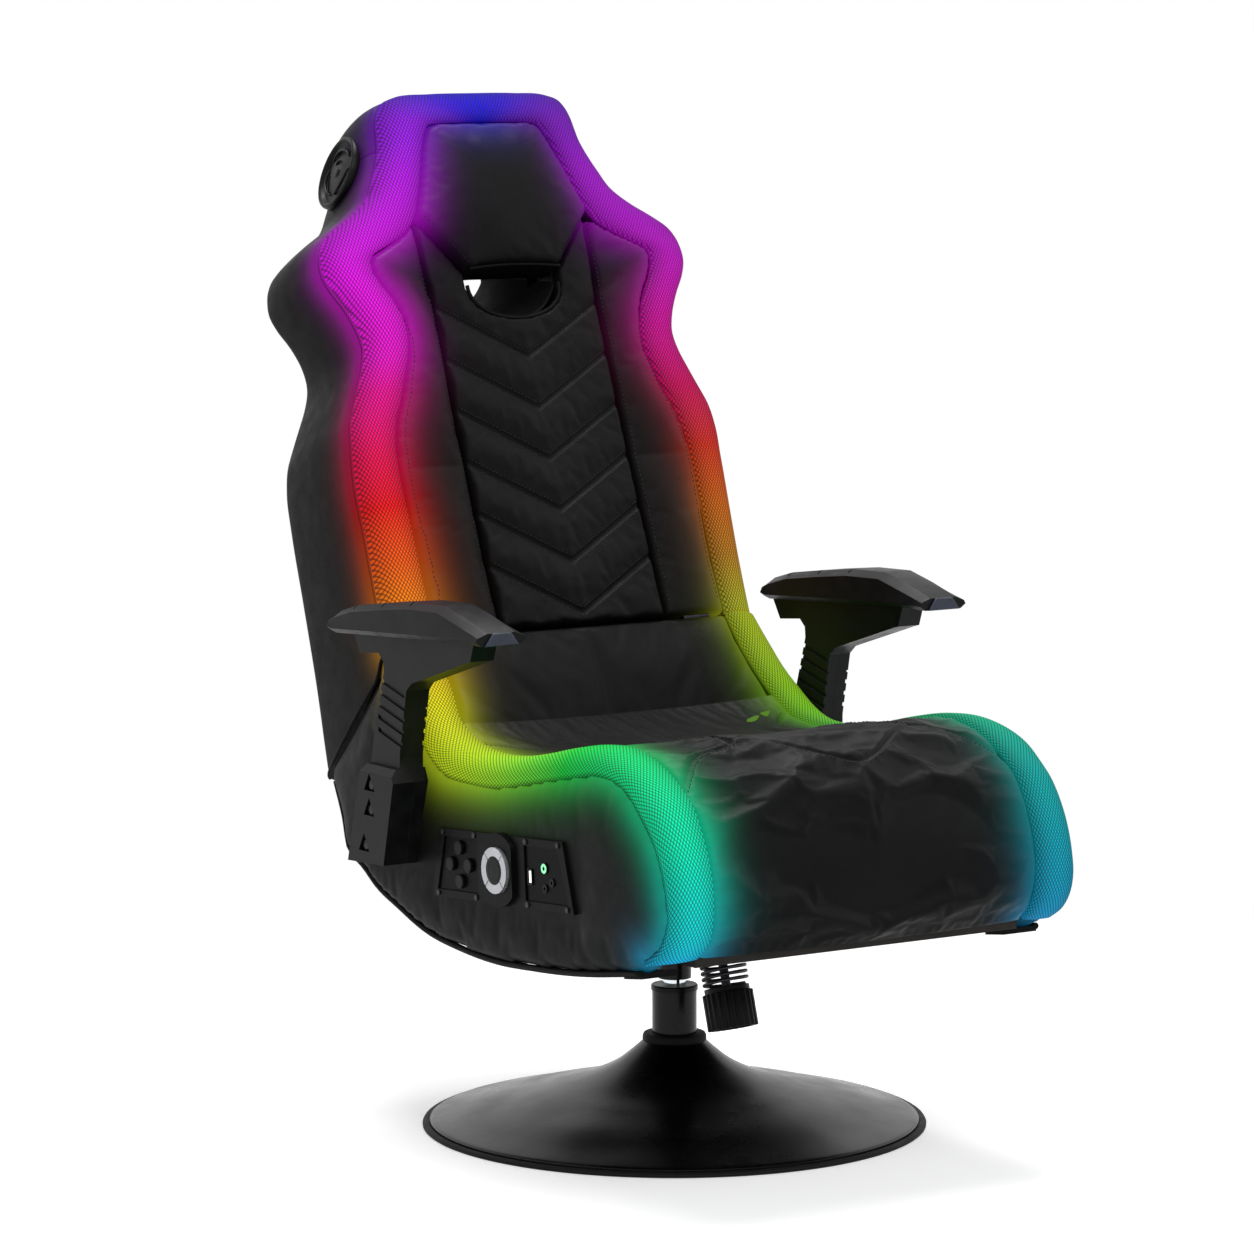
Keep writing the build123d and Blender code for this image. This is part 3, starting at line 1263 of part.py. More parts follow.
def bolt_start():
    """Where the tension bolt's top ends inside its boss."""
    return NOSE_TOP - KNOB_DOWN * ((SEAT_PLATE_BOTTOM - NOSE_TOP.Z) / -KNOB_DOWN.Z)


def tension_bolt():
    return rod_between(bolt_start(), KNOB_TOP + KNOB_DOWN * (KNOB_LENGTH - KNOB_NECK_LENGTH), BOLT_RADIUS)


def parts_of_seat():
    side = seat_side()
    strip, tape = seat_strip_side()
    bolt_end = -SEAT_HALF_WIDTH + ARM_BOLT_GRIP
    for y, z in arm_bolt_places():
        side = side - across(ARM_BOLT_RADIUS, -SEAT_HALF_WIDTH - OVERRUN, bolt_end, y, z)
    wired = side
    for a, b, radius, _ in socket_places():
        wired = wired - console_rod(a, b, radius, SOCKET_TOP - SOCKET_LENGTH, OVERRUN)
    leaves = [seat_leaf(-HINGE_SPACING / 2), seat_leaf(HINGE_SPACING / 2)]
    pin = across(PIVOT_PIN_RADIUS, -PIN_HALF_LENGTH, PIN_HALF_LENGTH, PIVOT_BACK_SET, PIVOT_HEIGHT)
    return {
        "seat_plate": [seat_plate()],
        "pivot_pin": [pin],
        "tension_bolt": [tension_bolt()],
        "seat_plate_bolts": seat_plate_bolts(),
        "bottom_board": [bottom_board()],
        "seat_board": [seat_board()],
        "seat_cushion": [seat_cushion()],
        "lumbar_cushion": [lumbar_cushion()],
        "seat_side_right": [wired],
        "seat_side_left": [mirrored(side)],
        "seat_light_strips": [strip, mirrored(strip)],
        "seat_led_tapes": [tape, mirrored(tape)],
        "corner_tabs": [corner_tab(), mirrored(corner_tab())],
        "seat_hinge_leaves": leaves,
    }


def knob():
    """The ribbed tension knob, bored for its bolt and dished below."""
    neck = rod_between(KNOB_TOP, KNOB_TOP + KNOB_DOWN * KNOB_NECK_LENGTH, KNOB_NECK_RADIUS)
    plane = Plane(origin=KNOB_TOP + KNOB_DOWN * KNOB_NECK_LENGTH, x_dir=(1, 0, 0), z_dir=KNOB_DOWN)
    corners = []
    for n in range(KNOB_RIB_COUNT * 2):
        radius = KNOB_RADIUS if n % 2 == 0 else KNOB_RADIUS - KNOB_RIB_DEPTH
        for turn in (n - KNOB_RIB_SHARE, n + KNOB_RIB_SHARE):
            a = math.pi * turn / KNOB_RIB_COUNT
            corners.append((radius * math.cos(a), radius * math.sin(a), 0))
    grip = plane.location * extrude(Face(ring_of(corners)), KNOB_LENGTH - KNOB_NECK_LENGTH, dir=(0, 0, 1))
    end = KNOB_TOP + KNOB_DOWN * KNOB_LENGTH
    dish_top, dish_end = end - KNOB_DOWN * KNOB_DISH_DEPTH, end + KNOB_DOWN * OVERRUN
    dish = rod_between(dish_top, dish_end, KNOB_NECK_RADIUS - KNOB_DISH_DEPTH)
    bore_end = KNOB_TOP + KNOB_DOWN * (KNOB_LENGTH - KNOB_NECK_LENGTH + RUNNING_FIT)
    bore = rod_between(KNOB_TOP - KNOB_DOWN * OVERRUN, bore_end, BOLT_RADIUS + RUNNING_FIT)
    return neck + grip - dish - bore


def spring_point(turn, start, pitch, radius):
    """A point of the spring's centre line and its direction, by turns from the top."""
    a = 2 * math.pi * turn
    side, front = Vector(1, 0, 0), KNOB_DOWN.cross(Vector(1, 0, 0))
    spot = start + KNOB_DOWN * (pitch * turn)
    spot = spot + side * (radius * math.cos(a)) + front * (radius * math.sin(a))
    way = KNOB_DOWN * (pitch / (2 * math.pi * radius)) - side * math.sin(a) + front * math.cos(a)
    return spot, way.normalized()


def two_arcs(start, way, end, end_way):
    """Two tangent arcs from one point and direction to another."""
    chord = end - start
    both = way + end_way
    less = 2 * (1 - way.dot(end_way))
    reach = (math.sqrt(chord.dot(both) ** 2 + less * chord.dot(chord)) - chord.dot(both)) / less
    joint = (start + way * reach + end - end_way * reach) / 2
    turn = (end - end_way * reach - start - way * reach).normalized()
    return [Edge.make_tangent_arc(start, way, joint), Edge.make_tangent_arc(joint, turn, end)]


def tension_spring():
    """One unbroken coil between the nose arm and the knob."""
    radius = SPRING_OUTER_RADIUS - SPRING_WIRE / 2
    room = SPRING_WIRE / 2 + RUNNING_FIT * 2
    pitch = (SPRING_LENGTH - room * 2) / SPRING_TURNS
    start = SPRING_TOP + KNOB_DOWN * room
    stops = [spring_point(n / 4, start, pitch, radius) for n in range(SPRING_TURNS * 4 + 1)]
    edges = []
    for (spot, way), (next_spot, next_way) in zip(stops, stops[1:]):
        edges += two_arcs(spot, way, next_spot, next_way)
    path = Wire(edges)
    end_face = Plane(origin=stops[0][0], z_dir=stops[0][1]).location * Face(Wire.make_circle(SPRING_WIRE / 2))
    wire = sweep(end_face, path)
    fine = [spring_point(n / SPRING_FINE, start, pitch, radius)[0] for n in range(SPRING_TURNS * SPRING_FINE)]
    apart = []
    for n, spot in enumerate(fine):
        later = fine[n + SPRING_FINE // 2 : n + SPRING_FINE * 3 // 2]
        apart += [(spot - other).length for other in later]
    print("tension spring least gap to itself", round(min(apart) - SPRING_WIRE, 2))
    return wire


def mechanism_housing():
    """The bored boss on the post, the channel above it and the nose arm that holds the spring down."""
    boss = upright(HOUSING_BOSS_RADIUS, HOUSING_BOSS_BOTTOM, HOUSING_FLOOR + HOUSING_WALL / 2)
    outer = block((-HOUSING_HALF_WIDTH, HOUSING_HALF_WIDTH), (-HOUSING_FRONT, HOUSING_BACK),
                  (HOUSING_FLOOR, HOUSING_FLOOR + HOUSING_HEIGHT))
    inner = block((HOUSING_WALL - HOUSING_HALF_WIDTH, HOUSING_HALF_WIDTH - HOUSING_WALL),
                  (HOUSING_WALL - HOUSING_FRONT, HOUSING_BACK + OVERRUN),
                  (HOUSING_FLOOR + HOUSING_WALL, HOUSING_FLOOR + HOUSING_HEIGHT + OVERRUN))
    front_way = Vector(0, KNOB_DOWN.Z, -KNOB_DOWN.Y)
    tail = (-HOUSING_FRONT + HOUSING_WALL - SPRING_TOP.Y) / front_way.Y
    plane = Plane(origin=SPRING_TOP, x_dir=(1, 0, 0), z_dir=KNOB_DOWN * -1)
    side = Vector(0, *tuple(plane.y_dir)[1:])
    sign = 1 if side.Y * front_way.Y > 0 else -1
    ends = sorted((sign * NOSE_FRONT_LENGTH, sign * tail))
    nose = plane.location * block((-NOSE_WIDTH / 2, NOSE_WIDTH / 2), ends, (0, NOSE_THICKNESS))
    slot_ends = sorted((sign * TILT_SLOT_FRONT, -sign * (BOLT_RADIUS + FIT * 4)))
    slot_half = BOLT_RADIUS + FIT * 3
    slot = plane.location * block((-slot_half, slot_half), slot_ends, (-OVERRUN, OVERRUN))
    housing = (outer - inner) + boss + (nose - slot)
    housing = housing - upright(POST_RADIUS, 0, POST_TOP)
    wide = HOUSING_HALF_WIDTH + OVERRUN
    return housing - across(PIVOT_PIN_RADIUS + BUSH_WALL, -wide, wide, PIVOT_BACK_SET, PIVOT_HEIGHT)


def pivot_bushes():
    bushes = []
    for side in (-1, 1):
        inner, outer = side * (HOUSING_HALF_WIDTH - HOUSING_WALL), side * HOUSING_HALF_WIDTH
        flange = side * (HOUSING_HALF_WIDTH + BUSH_FLANGE)
        sleeve = across(PIVOT_PIN_RADIUS + BUSH_WALL, inner, flange, PIVOT_BACK_SET, PIVOT_HEIGHT)
        rim = across(PIVOT_PIN_RADIUS + BUSH_WALL * 2, outer, flange, PIVOT_BACK_SET, PIVOT_HEIGHT)
        bore = across(PIVOT_PIN_RADIUS + RUNNING_FIT, inner - side * OVERRUN, flange + side * OVERRUN,
                      PIVOT_BACK_SET, PIVOT_HEIGHT)
        bushes.append(sleeve + rim - bore)
    return bushes


POST_TOP = HOUSING_FLOOR + HOUSING_WALL * 3
POST_FOOT = FLOOR_PLATE_THICKNESS + THRUST_WASHER_HEIGHT


def parts_of_mechanism():
    return {
        "swivel_post": [upright(POST_RADIUS, POST_FOOT + RUNNING_FIT, POST_TOP)],
        "mechanism_housing": [mechanism_housing()],
        "pivot_bushes": pivot_bushes(),
        "tension_spring": [tension_spring()],
        "tension_knob": [knob()],
    }


# The trumpet cover's outline, from the neck to the rim, as shares of the radius and of the neck's height.
COVER_SHARES = [
    (0.125, 1.000),
    (0.173, 0.875),
    (0.224, 0.755),
    (0.287, 0.650),
    (0.364, 0.552),
    (0.509, 0.428),
    (0.691, 0.297),
    (0.855, 0.165),
    (0.953, 0.095),
    (0.967, 0.076),
]


def pedestal_cover():
    """The spun trumpet, an even shell on the floor plate."""
    outer = [(radius * BASE_RADIUS, height * NECK_HEIGHT) for radius, height in COVER_SHARES[:-1]]
    outer.append((COVER_SHARES[-1][0] * BASE_RADIUS, FLOOR_PLATE_THICKNESS))
    inner = [(r - COVER_WALL, z - COVER_WALL) for r, z in outer[1:-2]]
    inner = [(outer[0][0] - COVER_WALL, outer[0][1])] + inner
    inner.append((outer[-1][0] - COVER_WALL * 3, FLOOR_PLATE_THICKNESS))
    return turned(outer + inner[::-1])


def edge_trim():
    inner = BASE_RADIUS - EDGE_TRIM_WIDTH
    return turned(
        [
            (inner, 0),
            (BASE_RADIUS, 0),
            (BASE_RADIUS, EDGE_TRIM_HEIGHT * 2 / 3),
            (BASE_RADIUS - EDGE_TRIM_WIDTH / 2, EDGE_TRIM_HEIGHT),
            (inner, EDGE_TRIM_HEIGHT),
        ]
    )


def column_sleeve():
    """The fixed sleeve round the post, with its window."""
    sleeve = upright(SLEEVE_RADIUS, FLOOR_PLATE_THICKNESS, SLEEVE_TOP, SLEEVE_RADIUS - SLEEVE_WALL)
    window = block((0, SLEEVE_RADIUS + OVERRUN), (-WINDOW_WIDTH / 2, WINDOW_WIDTH / 2),
                   (WINDOW_BOTTOM, WINDOW_BOTTOM + WINDOW_HEIGHT))
    return sleeve - Rot(0, 0, WINDOW_TURN_DEG) * window


def column_cap():
    """The guide at the sleeve's mouth: a lip over the sleeve and a plug inside it."""
    plug = SLEEVE_RADIUS - SLEEVE_WALL
    bore = POST_RADIUS + RUNNING_FIT
    return turned(
        [
            (bore, SLEEVE_TOP - CAP_PLUG_DEPTH),
            (plug, SLEEVE_TOP - CAP_PLUG_DEPTH),
            (plug, SLEEVE_TOP),
            (SLEEVE_RADIUS + CAP_LIP, SLEEVE_TOP),
            (SLEEVE_RADIUS + CAP_LIP, SLEEVE_TOP + CAP_HEIGHT - CAP_LIP),
            (SLEEVE_RADIUS, SLEEVE_TOP + CAP_HEIGHT),
            (bore, SLEEVE_TOP + CAP_HEIGHT),
        ]
    )


def thrust_washer():
    """A cup that carries the post's foot and holds it on the axis."""
    outer, bore = SLEEVE_RADIUS - SLEEVE_WALL, POST_RADIUS + RUNNING_FIT
    rim = POST_FOOT + THRUST_WASHER_HEIGHT * 2
    return turned(
        [
            (0, FLOOR_PLATE_THICKNESS),
            (outer, FLOOR_PLATE_THICKNESS),
            (outer, rim),
            (bore, rim),
            (bore, POST_FOOT),
            (0, POST_FOOT),
        ]
    )


def parts_of_base():
    collar_top = NECK_HEIGHT + COLLAR_HEIGHT
    return {
        "floor_plate": [upright(BASE_RADIUS - EDGE_TRIM_WIDTH, 0, FLOOR_PLATE_THICKNESS)],
        "edge_trim": [edge_trim()],
        "pedestal_cover": [pedestal_cover()],
        "neck_collar": [upright(NECK_RADIUS, NECK_HEIGHT, collar_top, SLEEVE_RADIUS)],
        "column_sleeve": [column_sleeve()],
        "column_cap": [column_cap()],
        "thrust_washer": [thrust_washer()],
    }


# The arm's side view, as shares from the pad's rear end to its front and from the bracket's foot to the
# pad's top.
ARM_BOX_SHARES = [(0.385, 0.320), (0.362, 0.367), (0.165, 0.367), (0.071, 0.0), (0.317, 0.013)]
ARM_STEM_SHARES = [
    (0.832, 0.808),
    (0.806, 0.801),
    (0.443, 0.687),
    (0.408, 0.657),
    (0.362, 0.418),
    (0.362, 0.367),
    (0.165, 0.367),
    (0.191, 0.488),
    (0.256, 0.707),
    (0.252, 0.747),
    (0.220, 0.774),
    (0.094, 0.761),
]
ARM_STEM_REAR_SHARE = 0.049
ARM_STEM_FRONT_SHARE = 0.858
# Pad stations: along from the rear, underside and top.
PAD_SHARES = [
    (0.000, 0.838, 0.892),
    (0.032, 0.832, 0.912),
    (0.146, 0.840, 0.943),
    (0.340, 0.852, 0.970),
    (0.534, 0.864, 0.993),
    (0.728, 0.876, 1.000),
    (0.858, 0.884, 0.970),
    (1.000, 0.884, 0.929),
]
PAD_NOTCH_SHARES = (0.142, 0.333, 0.524)
PAD_CORNER = 7.0
PAD_EDGE = 5.0
NOTCH_WIDTH = 3.0
NOTCH_DEPTH = 4.0
ARM_LENGTH = ARM_PAD_REAR + ARM_PAD_FRONT
ARM_RISE = ARM_PAD_HEIGHT - ARM_FOOT
# Places on the box for its pockets, and the post's grooves.
ARM_POCKET_SHARES = [(0.223, 0.296), (0.220, 0.205), (0.184, 0.071)]
GROOVE_LOW_SHARE = 0.488
GROOVE_HIGH_SHARE = 0.675
GROOVE_WIDTH = 5.0
GROOVE_SLANT = 14.0
POCKET_RADIUS = 13.0
POCKET_SIDES = 3
BOLT_HEAD_SHARE = 0.71
ARM_SHELL_WALL = 4.5
BOX_CHAMFER = 8.0


def arm_point(along, up):
    return ARM_PAD_REAR - along * ARM_LENGTH, ARM_FOOT + up * ARM_RISE


def pad_row(along):
    """The pad's underside and top heights at a place along the arm."""
    return [arm_point(0, between(PAD_SHARES, along, column))[1] for column in (1, 2)]


def arm_pad():
    sections = []
    for along, low_share, top_share in PAD_SHARES:
        y, low = arm_point(along, low_share)
        top = arm_point(along, top_share)[1]
        edge = min(PAD_EDGE, (top - low) / 2)
        corner = min(PAD_CORNER, (top - low) / 3)
        sections.append(
            [
                (-ARM_PAD_INNER - PAD_CORNER, y, low),
                (-ARM_PAD_INNER, y, low + edge),
                (-ARM_PAD_INNER - corner / 2, y, top - corner),
                (-ARM_PAD_INNER - PAD_CORNER * 2, y, top),
                (-ARM_PAD_OUTER + PAD_CORNER * 2, y, top),
                (-ARM_PAD_OUTER + corner / 2, y, top - corner),
                (-ARM_PAD_OUTER, y, low + edge),
                (-ARM_PAD_OUTER + PAD_CORNER, y, low),
            ]
        )
    pad = ruled(sections)
    for along in PAD_NOTCH_SHARES:
        y, top = arm_point(along, 0)[0], pad_row(along)[1]
        wide = (-ARM_PAD_OUTER - OVERRUN, -ARM_PAD_INNER + OVERRUN)
        long = (y - NOTCH_WIDTH / 2, y + NOTCH_WIDTH / 2)
        pad = pad - block(wide, long, (top - NOTCH_DEPTH, top + OVERRUN))
    return pad


def arm_stem():
    """The side view of the post and the carrier under the pad."""
    inside = [row[0] for row in PAD_SHARES if ARM_STEM_REAR_SHARE < row[0] < ARM_STEM_FRONT_SHARE]
    top = []
    for along in [ARM_STEM_REAR_SHARE, *inside, ARM_STEM_FRONT_SHARE]:
        top.append((arm_point(along, 0)[0], pad_row(along)[0]))
    return top + [arm_point(*share) for share in ARM_STEM_SHARES]


def arm_bolt_places():
    return [arm_point(*share) for share in ARM_POCKET_SHARES]


def grooves(x_side):
    """Slanted grooves across one face of the post."""
    cuts = []
    for n in range(ARM_GROOVE_COUNT):
        share = lerp(GROOVE_LOW_SHARE, GROOVE_HIGH_SHARE, n / (ARM_GROOVE_COUNT - 1))
        front, z = arm_point(ARM_STEM_SHARES[3][0], share)
        rear = arm_point(ARM_STEM_SHARES[7][0], share)[0]
        inset = BOX_CHAMFER / 2
        outline = [
            (front + inset, z - GROOVE_SLANT),
            (rear - inset * 2, z),
            (rear - inset * 2, z + GROOVE_WIDTH),
            (front + inset, z + GROOVE_WIDTH - GROOVE_SLANT),
        ]
        cuts.append(side_prism(outline, x_side - ARM_GROOVE_DEPTH, x_side + ARM_GROOVE_DEPTH))
    return cuts


def arm_shells():
    """The arm's two shells, which meet on its middle plane round a hollow."""
    post_in, post_out = ARM_CENTRE - ARM_THICKNESS / 2, ARM_CENTRE + ARM_THICKNESS / 2
    stem = side_prism(arm_stem(), -post_out, -post_in)
    box_points = [arm_point(*share) for share in ARM_BOX_SHARES]
    box = side_prism(box_points, -ARM_BOX_OUTER, -SEAT_HALF_WIDTH)
    nose = box_points[1]
    sections = []
    for y in (nose[0] - OVERRUN, nose[0] + ARM_LENGTH):
        sections.append(
            [
                (-ARM_BOX_OUTER - OVERRUN, y, nose[1] + BOX_CHAMFER),
                (-ARM_BOX_OUTER - OVERRUN, y, nose[1] - BOX_CHAMFER - OVERRUN),
                (-ARM_BOX_OUTER + BOX_CHAMFER * 2, y, nose[1] + BOX_CHAMFER),
            ]
        )
    arm = stem + (box - ruled(sections))
    centre_y = sum(y for y, _ in box_points) / len(box_points)
    centre_z = sum(z for _, z in box_points) / len(box_points)
    long = max(z for _, z in box_points) - min(z for _, z in box_points)
    share = 1 - ARM_SHELL_WALL * 4 / long
    hollow_points = [(lerp(centre_y, y, share), lerp(centre_z, z, share)) for y, z in box_points]
    hollow_outer = -ARM_BOX_OUTER + ARM_SHELL_WALL * 2 + ARM_POCKET_DEPTH
    arm = arm - side_prism(hollow_points, hollow_outer, -SEAT_HALF_WIDTH - ARM_SHELL_WALL)
    pillar_radius = ARM_BOLT_HEAD_RADIUS + ARM_SHELL_WALL / 2
    for y, z in arm_bolt_places():
        arm = arm + across(pillar_radius, -ARM_BOX_OUTER + ARM_POCKET_DEPTH, -SEAT_HALF_WIDTH, y, z)
        corners = []
        for n in range(POCKET_SIDES):
            a = 2 * math.pi * n / POCKET_SIDES + math.pi / 2
            corners.append((y + POCKET_RADIUS * math.cos(a), z + POCKET_RADIUS * math.sin(a)))
        arm = arm - side_prism(corners, -ARM_BOX_OUTER - OVERRUN, -ARM_BOX_OUTER + ARM_POCKET_DEPTH)
        arm = arm - across(ARM_BOLT_RADIUS, -ARM_BOX_OUTER, -SEAT_HALF_WIDTH, y, z)
    for cut in grooves(-post_out) + grooves(-post_in):
        arm = arm - cut
    low_z, high_z = ARM_FOOT - OVERRUN, ARM_PAD_HEIGHT + OVERRUN
    ends = (-ARM_PAD_FRONT - OVERRUN, ARM_PAD_REAR + OVERRUN)
    outer = arm & block((-ARM_PAD_OUTER - OVERRUN, -ARM_CENTRE), ends, (low_z, high_z))
    inner = arm & block((-ARM_CENTRE, -SEAT_INNER_HALF_WIDTH), ends, (low_z, high_z))
    return outer, inner


def arm_badge():
    """The bare plate on the pad's front end."""
    y = -ARM_PAD_FRONT
    low, top = pad_row(1.0)
    corner = PAD_CORNER + BADGE_THICKNESS
    outline = [(-ARM_PAD_INNER - corner, low), (-ARM_PAD_OUTER + corner, low),
               (-ARM_PAD_OUTER + corner * 2, top), (-ARM_PAD_INNER - corner * 2, top)]
    return extrude(Face(ring_of([(x, y, z) for x, z in outline])), BADGE_THICKNESS, dir=(0, -1, 0))


def arm_bolts():
    bolts = []
    for y, z in arm_bolt_places():
        face = -ARM_BOX_OUTER + ARM_POCKET_DEPTH
        head = across(ARM_BOLT_HEAD_RADIUS * BOLT_HEAD_SHARE, face - ARM_BOLT_HEAD / 2, face, y, z)
        bolts.append(head + across(ARM_BOLT_RADIUS, face, -SEAT_HALF_WIDTH + ARM_BOLT_GRIP, y, z))
    return bolts


def parts_of_arms():
    outer, inner = arm_shells()
    pad, badge, bolts = arm_pad(), arm_badge(), arm_bolts()
    return {
        "arm_outer_shell_right": [outer],
        "arm_outer_shell_left": [mirrored(outer)],
        "arm_inner_shell_right": [inner],
        "arm_inner_shell_left": [mirrored(inner)],
        "arm_pad_right": [pad],
        "arm_pad_left": [mirrored(pad)],
        "arm_badges": [badge, mirrored(badge)],
        "arm_bolts": [*bolts, *[mirrored(bolt) for bolt in bolts]],
    }


CONSOLE_TURN = math.radians(CONSOLE_TURN_DEG)
CONSOLE_PLANE = Plane(
    origin=(-SEAT_HALF_WIDTH, -CONSOLE_FORWARD, CONSOLE_HEIGHT),
    x_dir=(0, -math.cos(CONSOLE_TURN), math.sin(CONSOLE_TURN)),
    z_dir=(-1, 0, 0),
)
CONSOLE_RIM = 8.0
CONSOLE_SCREW_RADIUS = 3.0
CONSOLE_SCREW_HEIGHT = 1.5
MODE_CENTRE = 83.0
SOCKET_CENTRE = 70.0
FACE_PLATE_THICKNESS = 2.0
BUTTON_SEAT = 5.0


def console_shape(points, low, high):
    """A polygon on the console, forward and up, raised from low to high."""
    face = Face(ring_of([(a, b, low) for a, b in points]))
    return CONSOLE_PLANE.location * extrude(face, high - low, dir=(0, 0, 1))


def console_rod(a, b, radius, low, high):
    return CONSOLE_PLANE.location * (Pos(a, b, (low + high) / 2) * Cylinder(radius, high - low))


def wing(side, inset):
    """One wing of the console: side is 1 for the front wing and -1 for the rear one."""
    half = CONSOLE_WIDTH / 2
    slope = (CONSOLE_BOTTOM_LENGTH - CONSOLE_TOP_LENGTH) / 2 / CONSOLE_WIDTH
    near = HUB_RADIUS + inset
    top = CONSOLE_TOP_LENGTH / 2 - inset * (1 + slope)
    foot = CONSOLE_BOTTOM_LENGTH / 2 - inset * (1 + slope)
    points = [
        (side * near, half - inset),
        (side * top, half - inset),
        (side * foot, inset - half),
        (side * near, inset - half),
    ]
    return points if side > 0 else points[::-1]


def mode_places():
    ring = MODE_BUTTON_RING
    return [(-MODE_CENTRE + da, db) for da, db in ((ring, 0), (0, ring), (-ring, 0), (0, -ring))]


def console_housing():
    """The console's body: two wings and the hub between them."""
    half, slope_a = CONSOLE_WIDTH / 2, CONSOLE_TOP_LENGTH / 2
    foot = CONSOLE_BOTTOM_LENGTH / 2
    body = console_shape([(-foot, -half), (foot, -half), (slope_a, half), (-slope_a, half)], 0, CONSOLE_PROUD)
    floor = CONSOLE_PROUD - CONSOLE_RECESS_DEPTH
    for side in (-1, 1):
        body = body - console_shape(wing(side, CONSOLE_RIM), floor, CONSOLE_PROUD + OVERRUN)
    hub_points = []
    for n in range(HUB_SIDES):
        a = 2 * math.pi * n / HUB_SIDES
        wide = HUB_WIDTH_SHARE * HUB_RADIUS
        hub_points.append((max(-wide, min(wide, HUB_RADIUS * math.cos(a))), HUB_RADIUS * math.sin(a)))
    body = body + console_shape(hub_points, 0, HUB_PROUD)
    body = body - console_rod(0, 0, RING_RADIUS + FIT, HUB_PROUD - KEY_SEAT, HUB_PROUD + OVERRUN)
    for a, b in mode_places():
        body = body - console_rod(a, b, MODE_BUTTON_RADIUS + FIT, floor - BUTTON_SEAT, CONSOLE_PROUD)
    for a, b, radius, _ in socket_places():
        body = body - console_rod(a, b, radius, -OVERRUN, CONSOLE_PROUD)
    for a, b in console_screw_places():
        body = body - console_rod(a, b, CONSOLE_SCREW_RADIUS / 2, 0, CONSOLE_PROUD + OVERRUN)
    return body


HUB_SIDES = 40
HUB_WIDTH_SHARE = 0.74
KEY_SEAT = 5.0
KEY_COUNT = 4
# Sockets: place on the console as shares of the wings, then the bush radius and the bore radius.
SOCKET_SPREAD = 14.0
SOCKET_BUSH = 4.5
HEADPHONE_BUSH = 6.0


def socket_places():
    spread = SOCKET_SPREAD
    return [
        (SOCKET_CENTRE + spread, spread / 2, HEADPHONE_BUSH, JACK_RADIUS),
        (SOCKET_CENTRE + spread, -spread, SOCKET_BUSH, JACK_RADIUS),
        (SOCKET_CENTRE + spread * 2, -spread / 2, SOCKET_BUSH, JACK_RADIUS),
    ]


def usb_shape(grow, low, high):
    a, b = SOCKET_CENTRE - SOCKET_SPREAD, -SOCKET_SPREAD / 4
    long, wide = USB_LENGTH / 2 + grow, USB_WIDTH / 2 + grow
    corners = [(a - wide, b - long), (a + wide, b - long), (a + wide, b + long), (a - wide, b + long)]
    return console_shape(corners, low, high)


USB_LENGTH = 14.0
USB_WIDTH = 6.0
USB_RIM = 1.5
SOCKET_TOP = CONSOLE_PROUD - CONSOLE_RECESS_DEPTH + FACE_PLATE_THICKNESS + USB_RIM
SOCKET_LENGTH = JACK_DEPTH + USB_RIM


def console_screw_places():
    half, rim = CONSOLE_WIDTH / 2, CONSOLE_RIM / 2
    near = HUB_RADIUS + CONSOLE_RIM + rim
    top, foot = CONSOLE_TOP_LENGTH / 2 - CONSOLE_RIM, CONSOLE_BOTTOM_LENGTH / 2 - CONSOLE_RIM - rim
    places = []
    for side in (-1, 1):
        places += [(side * near, half - rim), (side * top, half - rim)]
        places += [(side * near, rim - half), (side * foot, rim - half)]
    return places


def face_plates():
    """The plates in the wings' recesses: the rear one holds the buttons, the front one the sockets."""
    low = CONSOLE_PROUD - CONSOLE_RECESS_DEPTH
    high = low + FACE_PLATE_THICKNESS
    plates = [console_shape(wing(side, CONSOLE_RIM + FIT), low, high) for side in (1, -1)]
    for a, b, radius, _ in socket_places():
        plates[0] = plates[0] - console_rod(a, b, radius, 0, CONSOLE_PROUD + OVERRUN)
    plates[0] = plates[0] - usb_shape(USB_RIM, 0, CONSOLE_PROUD + OVERRUN)
    for a, b in mode_places():
        plates[1] = plates[1] - console_rod(a, b, MODE_BUTTON_RADIUS + FIT, 0, CONSOLE_PROUD + OVERRUN)
    return plates


def sockets():
    """Headphone and auxiliary sockets with their bores, and the shallow port beside them."""
    low, top = SOCKET_TOP - SOCKET_LENGTH, SOCKET_TOP
    pieces = []
    for a, b, radius, bore in socket_places():
        bush = console_rod(a, b, radius, low, top)
        pieces.append(bush - console_rod(a, b, bore, top - JACK_DEPTH, top + OVERRUN))
    base = CONSOLE_PROUD - CONSOLE_RECESS_DEPTH
    rim = usb_shape(USB_RIM, base, top) - usb_shape(0, base + FACE_PLATE_THICKNESS, top + OVERRUN)
    return pieces + [rim]


def mode_button(a, b):
    base = CONSOLE_PROUD - CONSOLE_RECESS_DEPTH
    low, high = base - BUTTON_SEAT + KEY_TRAVEL + FIT, base + FACE_PLATE_THICKNESS + KEY_PROUD
    return console_rod(a, b, MODE_BUTTON_RADIUS, low, high)


